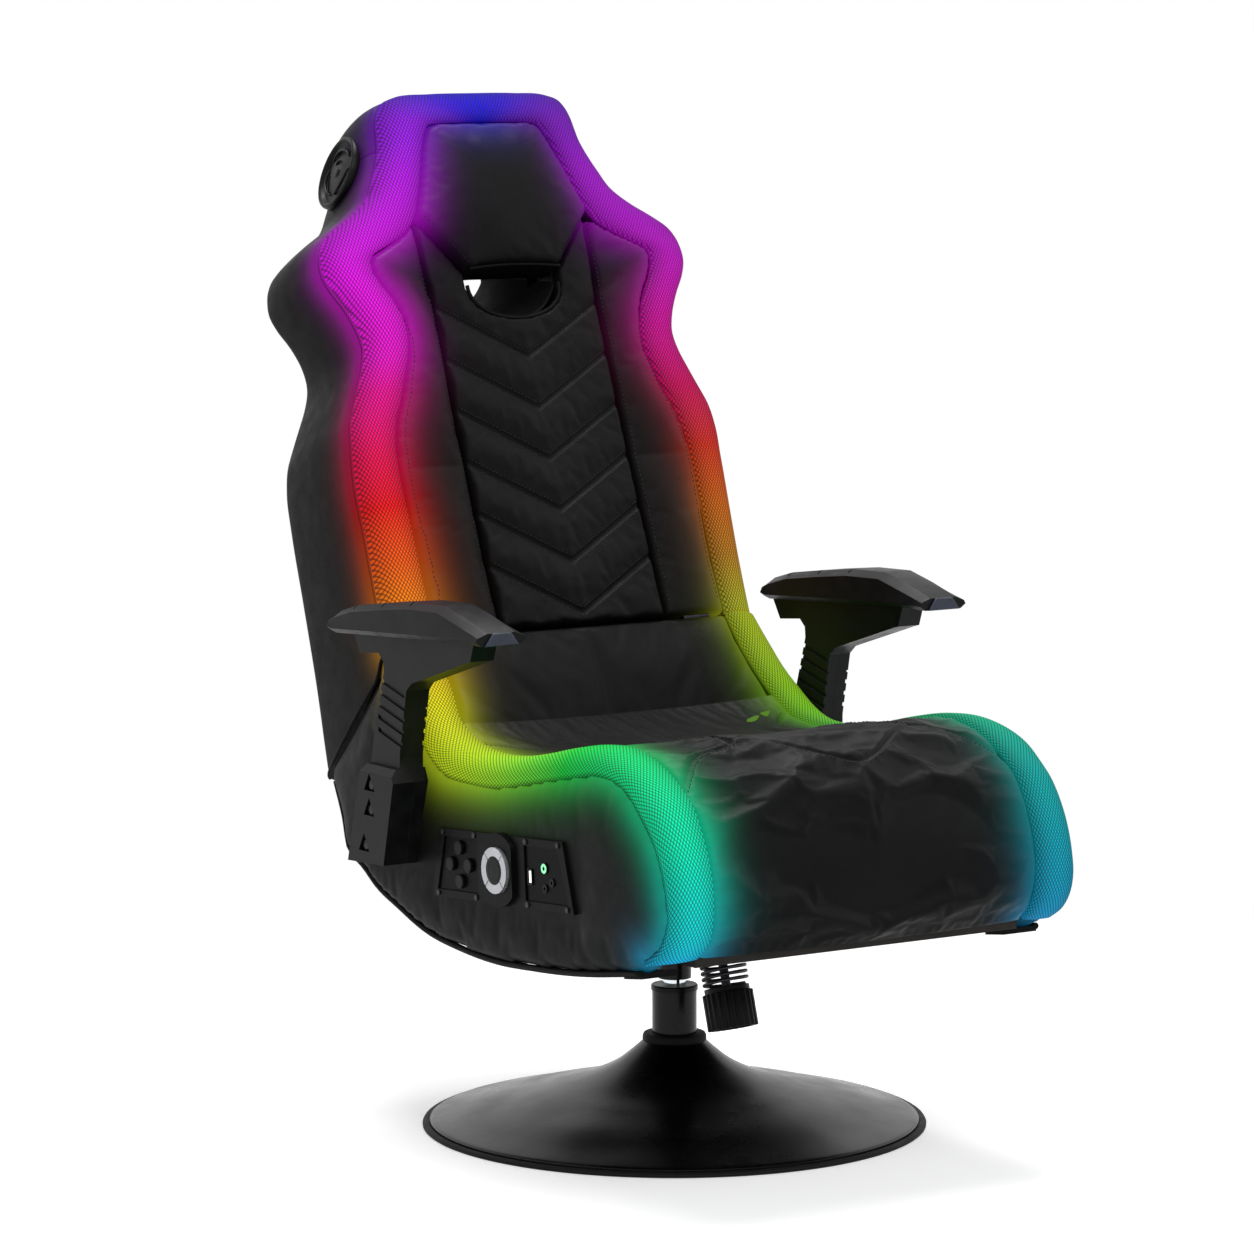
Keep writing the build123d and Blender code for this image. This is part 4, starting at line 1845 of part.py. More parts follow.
def control_ring():
    """The silver ring of four keys."""
    low = HUB_PROUD - KEY_SEAT + KEY_TRAVEL + FIT
    ring = console_rod(0, 0, RING_RADIUS, low, HUB_PROUD + KEY_PROUD)
    ring = ring - console_rod(0, 0, RING_INNER_RADIUS, low - OVERRUN, HUB_PROUD + KEY_PROUD + OVERRUN)
    for n in range(KEY_COUNT):
        a = 2 * math.pi * (n + 1 / 2) / KEY_COUNT
        start, end = RING_INNER_RADIUS - FIT, RING_RADIUS + FIT
        side = (-math.sin(a) * RING_GAP / 2, math.cos(a) * RING_GAP / 2)
        points = [
            (start * math.cos(a) - side[0], start * math.sin(a) - side[1]),
            (end * math.cos(a) - side[0], end * math.sin(a) - side[1]),
            (end * math.cos(a) + side[0], end * math.sin(a) + side[1]),
            (start * math.cos(a) + side[0], start * math.sin(a) + side[1]),
        ]
        ring = ring - console_shape(points, HUB_PROUD + KEY_PROUD - RING_GAP, HUB_PROUD + KEY_PROUD + OVERRUN)
    return ring


def centre_button():
    low = HUB_PROUD - KEY_SEAT + KEY_TRAVEL + FIT
    return console_rod(0, 0, CENTRE_BUTTON_RADIUS, low, HUB_PROUD + KEY_PROUD + FIT)


def console_screws():
    screws = []
    for a, b in console_screw_places():
        top = CONSOLE_PROUD + CONSOLE_SCREW_HEIGHT
        head = console_rod(a, b, CONSOLE_SCREW_RADIUS, CONSOLE_PROUD, top)
        screws.append(head + console_rod(a, b, CONSOLE_SCREW_RADIUS / 2, 0, top - CONSOLE_SCREW_HEIGHT / 2))
    return screws


AMPLIFIER_LENGTH = 150.0
AMPLIFIER_HEIGHT = 60.0
AMPLIFIER_DEPTH = 45.0


def amplifier_box():
    """The electronics behind the console, on the side's inner face and midway between the boards."""
    z = (BOTTOM_BOARD_TOP + SEAT_BOARD_BOTTOM - AMPLIFIER_HEIGHT) / 2
    y = -CONSOLE_FORWARD - AMPLIFIER_LENGTH / 2
    return block((-SEAT_INNER_HALF_WIDTH, AMPLIFIER_DEPTH - SEAT_INNER_HALF_WIDTH), (y, y + AMPLIFIER_LENGTH),
                 (z, z + AMPLIFIER_HEIGHT))


def parts_of_console():
    parts = {
        "console_housing": [console_housing()],
        "console_face_plates": face_plates(),
        "console_sockets": sockets(),
        "console_screws": console_screws(),
        "amplifier_box": [amplifier_box()],
        "control_ring": [control_ring()],
        "centre_button": [centre_button()],
    }
    for name, place in zip(("front", "upper", "rear", "lower"), mode_places()):
        parts[f"mode_button_{name}"] = [mode_button(*place)]
    return parts


def parts_of_back():
    pocket, room = speaker_pocket(), hinge_room()
    side = (back_side() & fold_zone()) - pocket
    strip, tape = back_strip_side()
    strip = strip - fold_groove()
    grille, driver, screws = speaker_grille(), speaker_driver(), speaker_screws()
    crown = crown_block() - pocket - mirrored(pocket)
    pad = bolster() - room
    leaves = [back_leaf(-HINGE_SPACING / 2), back_leaf(HINGE_SPACING / 2)]
    return {
        "back_frame": [back_frame()],
        "back_side_right": [side],
        "back_side_left": [mirrored(side)],
        "head_crown_block": [crown],
        "back_bolsters": [pad, mirrored(pad)],
        "chevron_panel": [chevron_panel()],
        "head_pad": [head_pad()],
        "back_light_strip": [strip + crown_strip() + mirrored(strip)],
        "back_led_tape": [tape, mirrored(tape)],
        "rear_cover": [rear_cover()],
        "neck_slot_liner": [slot_liner()],
        "back_hinge_leaves": leaves,
        "speaker_grilles": [grille, mirrored(grille)],
        "speaker_drivers": [driver, mirrored(driver)],
        "speaker_screws": [*screws, *[mirrored(s) for s in screws]],
    }


def write(groups):
    os.makedirs("parts", exist_ok=True)
    for name, solids in groups.items():
        flat = [s for shape in solids for s in shape.solids()]
        shape = flat[0] if len(flat) == 1 else Compound(children=flat)
        shape.label = name
        export_step(shape, f"parts/{name}.step")


write(parts_of_base())
write(parts_of_mechanism())
write(parts_of_seat())
write(parts_of_arms())
write(parts_of_console())
write(parts_of_back())
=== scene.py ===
"""Looks for the pedestal gaming chair, in metres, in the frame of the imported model."""

import json
import math

import bmesh
import bpy
import numpy as np
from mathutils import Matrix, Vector
from mathutils.bvhtree import BVHTree

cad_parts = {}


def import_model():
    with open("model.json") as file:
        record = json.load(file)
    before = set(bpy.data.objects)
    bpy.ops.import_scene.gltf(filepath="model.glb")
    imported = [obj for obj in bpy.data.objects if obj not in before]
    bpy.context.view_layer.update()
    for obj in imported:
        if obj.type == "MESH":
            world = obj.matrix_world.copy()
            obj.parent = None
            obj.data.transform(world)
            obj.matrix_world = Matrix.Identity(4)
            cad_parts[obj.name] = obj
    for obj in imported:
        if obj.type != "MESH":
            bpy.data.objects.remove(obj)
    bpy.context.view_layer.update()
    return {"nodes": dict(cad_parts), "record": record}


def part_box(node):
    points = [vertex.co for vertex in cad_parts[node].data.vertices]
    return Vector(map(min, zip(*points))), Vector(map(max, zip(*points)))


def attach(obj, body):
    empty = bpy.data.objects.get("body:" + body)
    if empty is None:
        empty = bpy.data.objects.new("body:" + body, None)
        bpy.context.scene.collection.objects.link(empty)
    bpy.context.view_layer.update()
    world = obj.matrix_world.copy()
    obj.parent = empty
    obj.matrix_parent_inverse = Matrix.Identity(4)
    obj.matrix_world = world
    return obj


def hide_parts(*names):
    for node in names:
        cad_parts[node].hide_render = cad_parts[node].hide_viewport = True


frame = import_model()
SCENE = bpy.context.scene

# Sizes of the back, which leans: x across, up along it from its foot, out towards the sitter
BACK_FOOT = (0.182, 0.540)
BACK_LEAN = math.radians(23)
LEAN_SIN, LEAN_COS = math.sin(BACK_LEAN), math.cos(BACK_LEAN)
BACK_HEIGHT, BACK_HALF, BACK_DEPTH, BACK_TAIL = 0.619, 0.2405, 0.235, 0.112
FOLD_SEAM, FOLD_AXIS_DEPTH, FOLD_KNEE = -0.010, 0.009, 0.040
BOARD_OUT = -0.034
HEAD_SEAM, SLOT_TOP, SLOT_HALF, SLOT_DROP = 0.469, 0.404, 0.060, 0.050
PANEL_HALF, PANEL_TOP_HALF = 0.108, 0.114
STRIP_TOP = 0.9354 * BACK_HEIGHT
REAR_CHAMFER = 0.020
EDGE, THICK = 0.008, 0.012

# Sizes of the seat
SEAT_HALF, SEAT_INNER = 0.255, 0.204
SEAT_RUN, SEAT_DROP = 0.570, 0.300
LUMBAR_SEAM = 0.118
ARM_BOX_WIDTH, ARM_POCKET = 0.048, 0.005
SEAT_BOARD_TOP = 0.374

# Back: up, outer and inner edge of the lit strip, how far each stands out, and the depth, as shares
BACK_SHARES = [
    (-0.1810, 0.985, 0.795, -0.150, -0.012, 1.000),
    (-0.0162, 0.985, 0.795, -0.150, -0.012, 0.972),
    (0.0970, 0.988, 0.794, -0.130, -0.012, 0.905),
    (0.1940, 0.994, 0.796, -0.106, -0.008, 0.860),
    (0.2860, 1.000, 0.800, -0.085, -0.004, 0.820),
    (0.3470, 0.994, 0.786, -0.055, 0.000, 0.795),
    (0.3880, 0.977, 0.757, -0.047, 0.004, 0.770),
    (0.4230, 0.940, 0.715, -0.042, 0.012, 0.745),
    (0.4600, 0.898, 0.682, -0.034, 0.022, 0.715),
    (0.4910, 0.864, 0.653, -0.026, 0.034, 0.690),
    (0.5270, 0.844, 0.639, -0.017, 0.055, 0.665),
    (0.5590, 0.861, 0.649, -0.012, 0.076, 0.645),
    (0.5980, 0.906, 0.690, -0.004, 0.085, 0.632),
    (0.6330, 0.960, 0.744, 0.000, 0.085, 0.628),
    (0.6590, 0.985, 0.765, 0.000, 0.085, 0.626),
    (0.6850, 0.985, 0.744, 0.000, 0.085, 0.622),
    (0.7040, 0.975, 0.649, 0.000, 0.085, 0.615),
    (0.7290, 0.935, 0.541, 0.000, 0.085, 0.605),
    (0.7480, 0.869, 0.491, 0.000, 0.085, 0.595),
    (0.7720, 0.769, 0.459, 0.000, 0.085, 0.582),
    (0.8000, 0.678, 0.432, 0.000, 0.085, 0.568),
    (0.8400, 0.615, 0.397, 0.000, 0.085, 0.555),
    (0.8800, 0.566, 0.366, 0.000, 0.085, 0.548),
    (0.9080, 0.541, 0.337, 0.000, 0.085, 0.540),
]
# Over the head: inner edge (x, up), outer edge (x, up) as shares of half width and height, then the depth
CROWN_PAIRS = [
    (0.318, 0.9225, 0.5385, 0.9250, 0.535),
    (0.295, 0.9315, 0.5315, 0.9450, 0.525),
    (0.262, 0.9350, 0.5150, 0.9660, 0.500),
    (0.215, 0.9362, 0.4850, 0.9830, 0.450),
    (0.150, 0.9366, 0.4200, 0.9935, 0.375),
    (0.075, 0.9368, 0.2400, 0.9990, 0.315),
    (0.000, 0.9368, 0.0000, 1.0000, 0.300),
]
# Seat strip: inner and outer edge from the back's foot to the front, then both half widths, as shares
SEAT_STRIP_SHARES = [
    (0.004, 0.030, -0.054, 0.070, 0.749, 0.941),
    (0.053, 0.150, 0.000, 0.155, 0.765, 0.953),
    (0.095, 0.233, 0.053, 0.253, 0.780, 0.965),
    (0.132, 0.303, 0.102, 0.320, 0.800, 0.980),
    (0.175, 0.350, 0.144, 0.387, 0.800, 0.992),
    (0.235, 0.383, 0.212, 0.455, 0.800, 1.000),
    (0.305, 0.393, 0.295, 0.470, 0.800, 1.000),
    (0.407, 0.377, 0.404, 0.460, 0.800, 1.000),
    (0.491, 0.347, 0.495, 0.427, 0.800, 1.000),
    (0.582, 0.307, 0.582, 0.393, 0.800, 1.000),
    (0.672, 0.277, 0.670, 0.360, 0.800, 1.000),
    (0.740, 0.273, 0.740, 0.337, 0.800, 1.000),
    (0.793, 0.293, 0.793, 0.343, 0.800, 1.000),
    (0.842, 0.327, 0.842, 0.375, 0.800, 1.000),
    (0.884, 0.370, 0.880, 0.433, 0.800, 1.000),
    (0.925, 0.430, 0.915, 0.495, 0.800, 1.000),
    (0.953, 0.510, 0.940, 0.558, 0.800, 1.000),
    (0.975, 0.600, 0.960, 0.635, 0.800, 1.000),
    (0.988, 0.690, 0.972, 0.715, 0.800, 1.000),
    (0.989, 0.783, 0.977, 0.790, 0.800, 1.000),
    (0.981, 0.857, 0.968, 0.852, 0.800, 1.000),
    (0.958, 0.913, 0.945, 0.913, 0.800, 1.000),
    (0.937, 0.943, 0.900, 0.965, 0.800, 1.000),
]
SEAT_FOOT_SHARES = [
    (0.877, 0.997), (0.819, 1.013), (0.721, 1.043), (0.619, 1.067), (0.519, 1.083), (0.389, 1.097),
    (0.256, 1.087), (0.133, 1.057), (0.037, 1.000), (-0.046, 0.943), (-0.095, 0.887), (-0.144, 0.843),
    (-0.193, 0.717), (-0.244, 0.613),
]
CUSHION_SHARES = [
    (0.109, 0.343, 0.137, 0.318),
    (0.161, 0.367, 0.175, 0.355),
    (0.249, 0.373, 0.235, 0.388),
    (0.319, 0.367, 0.305, 0.398),
    (0.425, 0.347, 0.407, 0.382),
    (0.530, 0.313, 0.509, 0.345),
    (0.635, 0.277, 0.609, 0.302),
    (0.732, 0.250, 0.696, 0.278),
    (0.811, 0.243, 0.758, 0.285),
    (0.872, 0.273, 0.828, 0.322),
    (0.925, 0.340, 0.884, 0.378),
    (0.961, 0.440, 0.922, 0.440),
    (0.986, 0.560, 0.962, 0.565),
    (0.998, 0.683, 0.983, 0.693),
    (0.996, 0.800, 0.984, 0.785),
    (0.982, 0.893, 0.965, 0.885),
    (0.954, 0.947, 0.937, 0.943),
]
CUSHION_FALL = [(0.0, 0.0), (0.4, 0.10), (0.72, 0.42), (0.93, 0.80), (1.0, 1.0)]
LUMBAR_SHARES = [
    (0.004, -0.002, -0.014, 0.745),
    (0.35, 0.031, 0.078, 0.755),
    (0.66, 0.075, 0.185, 0.766),
    (0.90, 0.120, 0.272, 0.782),
    (1.00, 0.138, 0.280, 0.796),
]

# Colours of the light along the strips: a place, then the colour
RIGHT_BACK_LIGHT = [
    (0.000, (1.0, 0.34, 0.01)),
    (0.075, (1.0, 0.13, 0.01)),
    (0.140, (1.0, 0.012, 0.014)),
    (0.200, (1.0, 0.008, 0.12)),
    (0.270, (1.0, 0.008, 0.36)),
    (0.310, (1.0, 0.012, 0.72)),
    (0.400, (0.95, 0.010, 0.98)),
    (0.460, (0.78, 0.010, 1.0)),
    (0.520, (0.58, 0.012, 1.0)),
    (0.550, (0.46, 0.014, 1.0)),
    (0.566, (0.36, 0.016, 0.95)),
    (0.578, (0.20, 0.025, 0.88)),
    (0.592, (0.09, 0.015, 0.88)),
    (0.605, (0.04, 0.013, 0.86)),
    (0.619, (0.025, 0.014, 0.84)),
]
LEFT_BACK_LIGHT = [
    (0.000, (0.60, 0.62, 0.03)),
    (0.060, (0.70, 0.30, 0.02)),
    (0.120, (0.90, 0.20, 0.01)),
    (0.190, (1.0, 0.05, 0.02)),
    (0.260, (1.0, 0.010, 0.18)),
    (0.340, (1.0, 0.010, 0.54)),
    (0.400, (0.90, 0.012, 0.84)),
    (0.460, (0.72, 0.012, 0.98)),
    (0.520, (0.58, 0.014, 0.98)),
    (0.550, (0.44, 0.014, 0.92)),
    (0.566, (0.32, 0.020, 0.82)),
    (0.578, (0.20, 0.022, 0.80)),
    (0.592, (0.11, 0.020, 0.86)),
    (0.605, (0.05, 0.016, 0.86)),
    (0.619, (0.025, 0.014, 0.84)),
]
CROWN_START, CROWN_END = 0.555, 0.619
RIGHT_SEAT_LIGHT = [
    (0.00, (1.0, 0.50, 0.01)),
    (0.12, (0.85, 0.80, 0.01)),
    (0.28, (0.62, 1.0, 0.02)),
    (0.42, (0.26, 1.0, 0.05)),
    (0.54, (0.015, 0.92, 0.08)),
    (0.68, (0.008, 0.98, 0.28)),
    (0.82, (0.006, 0.95, 0.52)),
    (0.93, (0.006, 0.72, 0.72)),
    (1.00, (0.010, 0.48, 0.85)),
]
LEFT_SEAT_LIGHT = [
    (0.00, (0.62, 0.75, 0.02)),
    (0.20, (0.30, 0.88, 0.02)),
    (0.45, (0.015, 0.82, 0.16)),
    (0.62, (0.010, 0.82, 0.42)),
    (0.78, (0.008, 0.66, 0.62)),
    (1.00, (0.010, 0.42, 0.85)),
]


# ---------- helpers ----------
def smooth(x):
    x = np.clip(x, 0.0, 1.0)
    return x * x * (3 - 2 * x)


def through(table):
    """A smooth curve through rows whose first column rises, as a function of that column."""
    rows = np.array(table, float)
    x, y = rows[:, 0], rows[:, 1:]
    slope = np.gradient(y, x, axis=0)

    def at(place):
        t = np.clip(np.atleast_1d(np.array(place, float)), x[0], x[-1])
        i = np.clip(np.searchsorted(x, t, side="right") - 1, 0, len(x) - 2)
        h = x[i + 1] - x[i]
        s = ((t - x[i]) / h)[:, None]
        h = h[:, None]
        return (
            y[i] * (2 * s**3 - 3 * s**2 + 1)
            + slope[i] * h * (s**3 - 2 * s**2 + s)
            + y[i + 1] * (3 * s**2 - 2 * s**3)
            + slope[i + 1] * h * (s**3 - s**2)
        )

    return at


def resample(points, count):
    """Evenly spaced points along a path, and the length so far at each."""
    points = np.array(points, float)
    step = np.linalg.norm(np.diff(points, axis=0), axis=1)
    length = np.concatenate([[0], np.cumsum(step)])
    at = np.linspace(0, length[-1], count)
    return np.stack([np.interp(at, length, points[:, k]) for k in range(points.shape[1])], axis=1), at


def smooth_path(points, count):
    """A smooth path through a few points, evenly sampled."""
    points = np.array(points, float)
    step = np.linalg.norm(np.diff(points, axis=0), axis=1)
    length = np.concatenate([[0], np.cumsum(step)])
    curve = through(np.column_stack([length, points]))
    return resample(curve(np.linspace(0, length[-1], count * 4)), count)[0]


def on_back(x, up, out):
    """Points in the chair's frame from places on the back."""
    x, up, out = np.broadcast_arrays(np.array(x, float), np.array(up, float), np.array(out, float))
    y = BACK_FOOT[0] + up * LEAN_SIN - out * LEAN_COS
    z = BACK_FOOT[1] + up * LEAN_COS + out * LEAN_SIN
    return np.stack([x, y, z], axis=-1)


def seat_yz(along, down):
    return BACK_FOOT[0] - along * SEAT_RUN, BACK_FOOT[1] - down * SEAT_DROP


def light_at(stops, place):
    table = np.array([(where, *colour) for where, colour in stops])
    return np.stack([np.interp(place, table[:, 0], table[:, k]) for k in (1, 2, 3)], axis=-1)


def make_mesh(name, points, faces, material=None):
    mesh = bpy.data.meshes.new(name)
    mesh.from_pydata([tuple(p) for p in np.array(points).reshape(-1, 3)], [], [tuple(f) for f in faces])
    mesh.validate()
    obj = bpy.data.objects.new(name, mesh)
    SCENE.collection.objects.link(obj)
    mesh.shade_smooth()
    if material is not None:
        mesh.materials.append(material)
    return obj


def face_out(obj):
    """Turns the faces of a closed form outwards."""
    bm = bmesh.new()
    bm.from_mesh(obj.data)
    bmesh.ops.recalc_face_normals(bm, faces=bm.faces)
    bm.to_mesh(obj.data)
    bm.free()
    return obj


def grid_faces(rows, cols, closed=False):
    faces = []
    span = cols if closed else cols - 1
    for i in range(rows - 1):
        for j in range(span):
            k = (j + 1) % cols
            faces.append((i * cols + j, i * cols + k, (i + 1) * cols + k, (i + 1) * cols + j))
    return faces


def loft(name, loops, material, sharp=None):
    """A closed form through loops with the same number of points."""
    loops = np.array(loops, float)
    first, last = loops[0], loops[-1]
    inset = [first + (first.mean(0) - first) * 0.25, last + (last.mean(0) - last) * 0.25]
    loops = np.concatenate([inset[:1], loops, inset[1:]])
    rows, cols = loops.shape[:2]
    faces = grid_faces(rows, cols, closed=True)
    points = loops.reshape(-1, 3)
    ends = np.array([loops[0].mean(0), loops[-1].mean(0)])
    points = np.concatenate([points, ends])
    for j in range(cols):
        k = (j + 1) % cols
        faces.append((k, j, rows * cols))
        faces.append(((rows - 1) * cols + j, (rows - 1) * cols + k, rows * cols + 1))
    obj = face_out(make_mesh(name, points, faces, material))
    if sharp:
        obj.data.set_sharp_from_angle(angle=math.radians(sharp))
    return obj


def paint(obj, name, colours):
    """A colour at each vertex, which the materials read."""
    attribute = obj.data.attributes.new(name, "FLOAT_COLOR", "POINT")
    flat = np.concatenate([np.array(colours, float), np.ones((len(colours), 1))], axis=1)
    attribute.data.foreach_set("color", flat.astype(np.float32).ravel())


def places_of(obj):
    co = np.zeros(len(obj.data.vertices) * 3, np.float32)
    obj.data.vertices.foreach_get("co", co)
    return co.reshape(-1, 3).astype(float)


def set_places(obj, co):
    obj.data.vertices.foreach_set("co", np.array(co, np.float32).ravel())
    obj.data.update()


def normals_of(obj):
    no = np.zeros(len(obj.data.vertices) * 3, np.float32)
    obj.data.vertices.foreach_get("normal", no)
    return no.reshape(-1, 3).astype(float)


def to_line(points, line):
    """Distance from each point to a path, in any number of dimensions."""
    points, line = np.array(points, float), np.array(line, float)
    best = np.full(len(points), 1e9)
    for a, b in zip(line, line[1:]):
        way = b - a
        t = np.clip((points - a) @ way / max(way @ way, 1e-12), 0, 1)
        best = np.minimum(best, np.linalg.norm(points - (a + t[:, None] * way), axis=1))
    return best


def inside_of(points, outline):
    """Signed distance to a closed outline, above 0 inside, and the nearest point on it."""
    points, outline = np.array(points, float), np.array(outline, float)
    best, near = np.full(len(points), 1e9), np.zeros_like(points)
    odd = np.zeros(len(points), bool)
    for a, b in zip(outline, np.roll(outline, -1, axis=0)):
        way = b - a
        t = np.clip((points - a) @ way / max(way @ way, 1e-12), 0, 1)
        spot = a + t[:, None] * way
        gap = np.linalg.norm(points - spot, axis=1)
        closer = gap < best
        best[closer], near[closer] = gap[closer], spot[closer]
        if a[1] != b[1]:
            crosses = (a[1] > points[:, 1]) != (b[1] > points[:, 1])
            at = a[0] + (points[:, 1] - a[1]) / (b[1] - a[1]) * way[0]
            odd ^= crosses & (points[:, 0] < at)
    return np.where(odd, best, -best), near


def pad_sheet(name, outline, place, cell, material, holes=()):
    """The top of a pad: an even grid inside an outline, with its edge drawn onto the outline.

    place turns flat places and their distance from the edge into points. The flat places and the edge's
    vertices are kept for the seams and the sides."""
    outline = np.array(outline, float)
    low, high = outline.min(0), outline.max(0)
    count = np.maximum(2, np.round((high - low) / cell).astype(int)) + 1
    a = np.linspace(low[0], high[0], count[0])
    b = np.linspace(low[1], high[1], count[1])
    flat = np.stack(np.meshgrid(a, b, indexing="ij"), axis=-1).reshape(-1, 2)
    gap, near = inside_of(flat, outline)
    for hole in holes:
        other, other_near = inside_of(flat, hole)
        closer = -other < gap
        near[closer] = other_near[closer]
        gap = np.where(closer, -other, gap)
    corner = (np.arange(count[0] - 1)[:, None] * count[1] + np.arange(count[1] - 1)[None, :]).ravel()
    quads = np.stack([corner, corner + count[1], corner + count[1] + 1, corner + 1], axis=1)
    kept = quads[(gap[quads] > -cell * 0.35).all(axis=1) & (gap[quads].mean(axis=1) > 0)]
    use = np.unique(kept)
    index = -np.ones(len(flat), int)
    index[use] = np.arange(len(use))
    kept = index[kept]
    flat, gap, near = flat[use], gap[use], near[use]
    counts = {}
    for quad in kept:
        for j in range(4):
            edge = (quad[j], quad[(j + 1) % 4])
            key = (min(edge), max(edge))
            counts.setdefault(key, []).append(edge)
    rim = [edges[0] for edges in counts.values() if len(edges) == 1]
    on_rim = np.unique(np.array(rim))
    flat[on_rim] = near[on_rim]
    gap[on_rim] = 0.0
    obj = make_mesh(name, place(flat, np.maximum(gap, 0.0)), kept.tolist(), material)
    return obj, flat, gap, rim


def close_sheet(obj, rim, low_points):
    """Adds the sides and the underside below a pad's top."""
    bm = bmesh.new()
    bm.from_mesh(obj.data)
    top = list(bm.verts)
    lower = {}
    for v in {v for edge in rim for v in edge}:
        lower[v] = bm.verts.new(low_points[v])
    for a, b in rim:
        bm.faces.new((top[b], top[a], lower[a], lower[b]))
    ring = [e for e in bm.edges if len(e.link_faces) == 1]
    bmesh.ops.triangle_fill(bm, edges=ring, use_beauty=False)
    bmesh.ops.recalc_face_normals(bm, faces=bm.faces)
    for f in bm.faces:
        f.smooth = True
    bm.to_mesh(obj.data)
    bm.free()
    obj.data.update()
    return obj


def puff(obj, held, pressure, cap, grow=0.0, frames=20, stiff=12.0):
    """Blows a pad's top up between its held points with cloth, and applies the result."""
    rest = places_of(obj)
    group = obj.vertex_groups.new(name="held")
    group.add([int(i) for i in np.nonzero(held)[0]], 1.0, "REPLACE")
    modifier = obj.modifiers.new("puff", "CLOTH")
    cloth = modifier.settings
    cloth.quality = 5
    cloth.mass = 0.25
    cloth.tension_stiffness = stiff
    cloth.compression_stiffness = stiff
    cloth.shear_stiffness = stiff * 0.4
    cloth.bending_stiffness = 0.6
    cloth.tension_damping = 12
    cloth.compression_damping = 12
    cloth.air_damping = 4
    cloth.use_pressure = True
    cloth.uniform_pressure_force = pressure
    cloth.shrink_min = -grow
    cloth.shrink_max = -grow
    cloth.vertex_group_mass = "held"
    cloth.effector_weights.gravity = 0
    modifier.collision_settings.use_collision = False
    modifier.collision_settings.use_self_collision = False
    modifier.point_cache.frame_start = 1
    modifier.point_cache.frame_end = frames
    SCENE.frame_start, SCENE.frame_end = 1, frames
    for number in range(1, frames + 1):
        SCENE.frame_set(number)
    graph = bpy.context.evaluated_depsgraph_get()
    shaped = obj.evaluated_get(graph).to_mesh()
    co = np.zeros(len(shaped.vertices) * 3, np.float32)
    shaped.vertices.foreach_get("co", co)
    move = co.reshape(-1, 3).astype(float) - rest
    size = np.linalg.norm(move, axis=1)
    move *= np.minimum(1.0, cap / np.maximum(size, 1e-9))[:, None]
    obj.modifiers.remove(modifier)
    obj.vertex_groups.clear()
    SCENE.frame_set(1)
    set_places(obj, rest + move)
    print("puff", obj.name, len(rest), "most", round(float(size.max()) * 1000, 1), "mm")
    return obj


def soften(obj, levels=1):
    modifier = obj.modifiers.new("smooth", "SUBSURF")
    modifier.levels = levels
    modifier.render_levels = levels
    return obj


def mirror_of(obj, name):
    """The same piece on the chair's other side."""
    mesh = obj.data.copy()
    mesh.name = name
    other = bpy.data.objects.new(name, mesh)
    SCENE.collection.objects.link(other)
    co = places_of(other)
    co[:, 0] *= -1
    set_places(other, co)
    mesh.flip_normals()
    for modifier in obj.modifiers:
        copy = other.modifiers.new(modifier.name, modifier.type)
        for key in ("levels", "render_levels", "width", "segments", "limit_method", "angle_limit"):
            if hasattr(modifier, key):
                setattr(copy, key, getattr(modifier, key))
    return other


def tube(name, path, radius, material, body, sides=10, closed=False):
    """A round cord-like trim along a path, such as piping."""
    path = np.array(path, float)
    count = len(path)
    after = np.roll(path, -1, axis=0) if closed else np.vstack([path[1:], path[-1:]])
    before = np.roll(path, 1, axis=0) if closed else np.vstack([path[:1], path[:-1]])
    way = after - before
    way /= np.maximum(np.linalg.norm(way, axis=1), 1e-12)[:, None]
    side = np.cross(way[0], (0, 0, 1) if abs(way[0][2]) < 0.9 else (1, 0, 0))
    loops = []
    for i in range(count):
        side = side - way[i] * (side @ way[i])
        side /= np.linalg.norm(side)
        up = np.cross(way[i], side)
        turn = np.arange(sides) * 2 * math.pi / sides
        width = radius if np.isscalar(radius) else radius[i]
        loops.append(path[i] + width * (np.cos(turn)[:, None] * side + np.sin(turn)[:, None] * up))
    if closed:
        points = np.array(loops).reshape(-1, 3)
        faces = grid_faces(count, sides, closed=True)
        for j in range(sides):
            k = (j + 1) % sides
            faces.append(((count - 1) * sides + j, (count - 1) * sides + k, k, j))
        obj = face_out(make_mesh(name, points, faces, material))
    else:
        obj = loft(name, loops, material)
    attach(obj, body)
    return obj


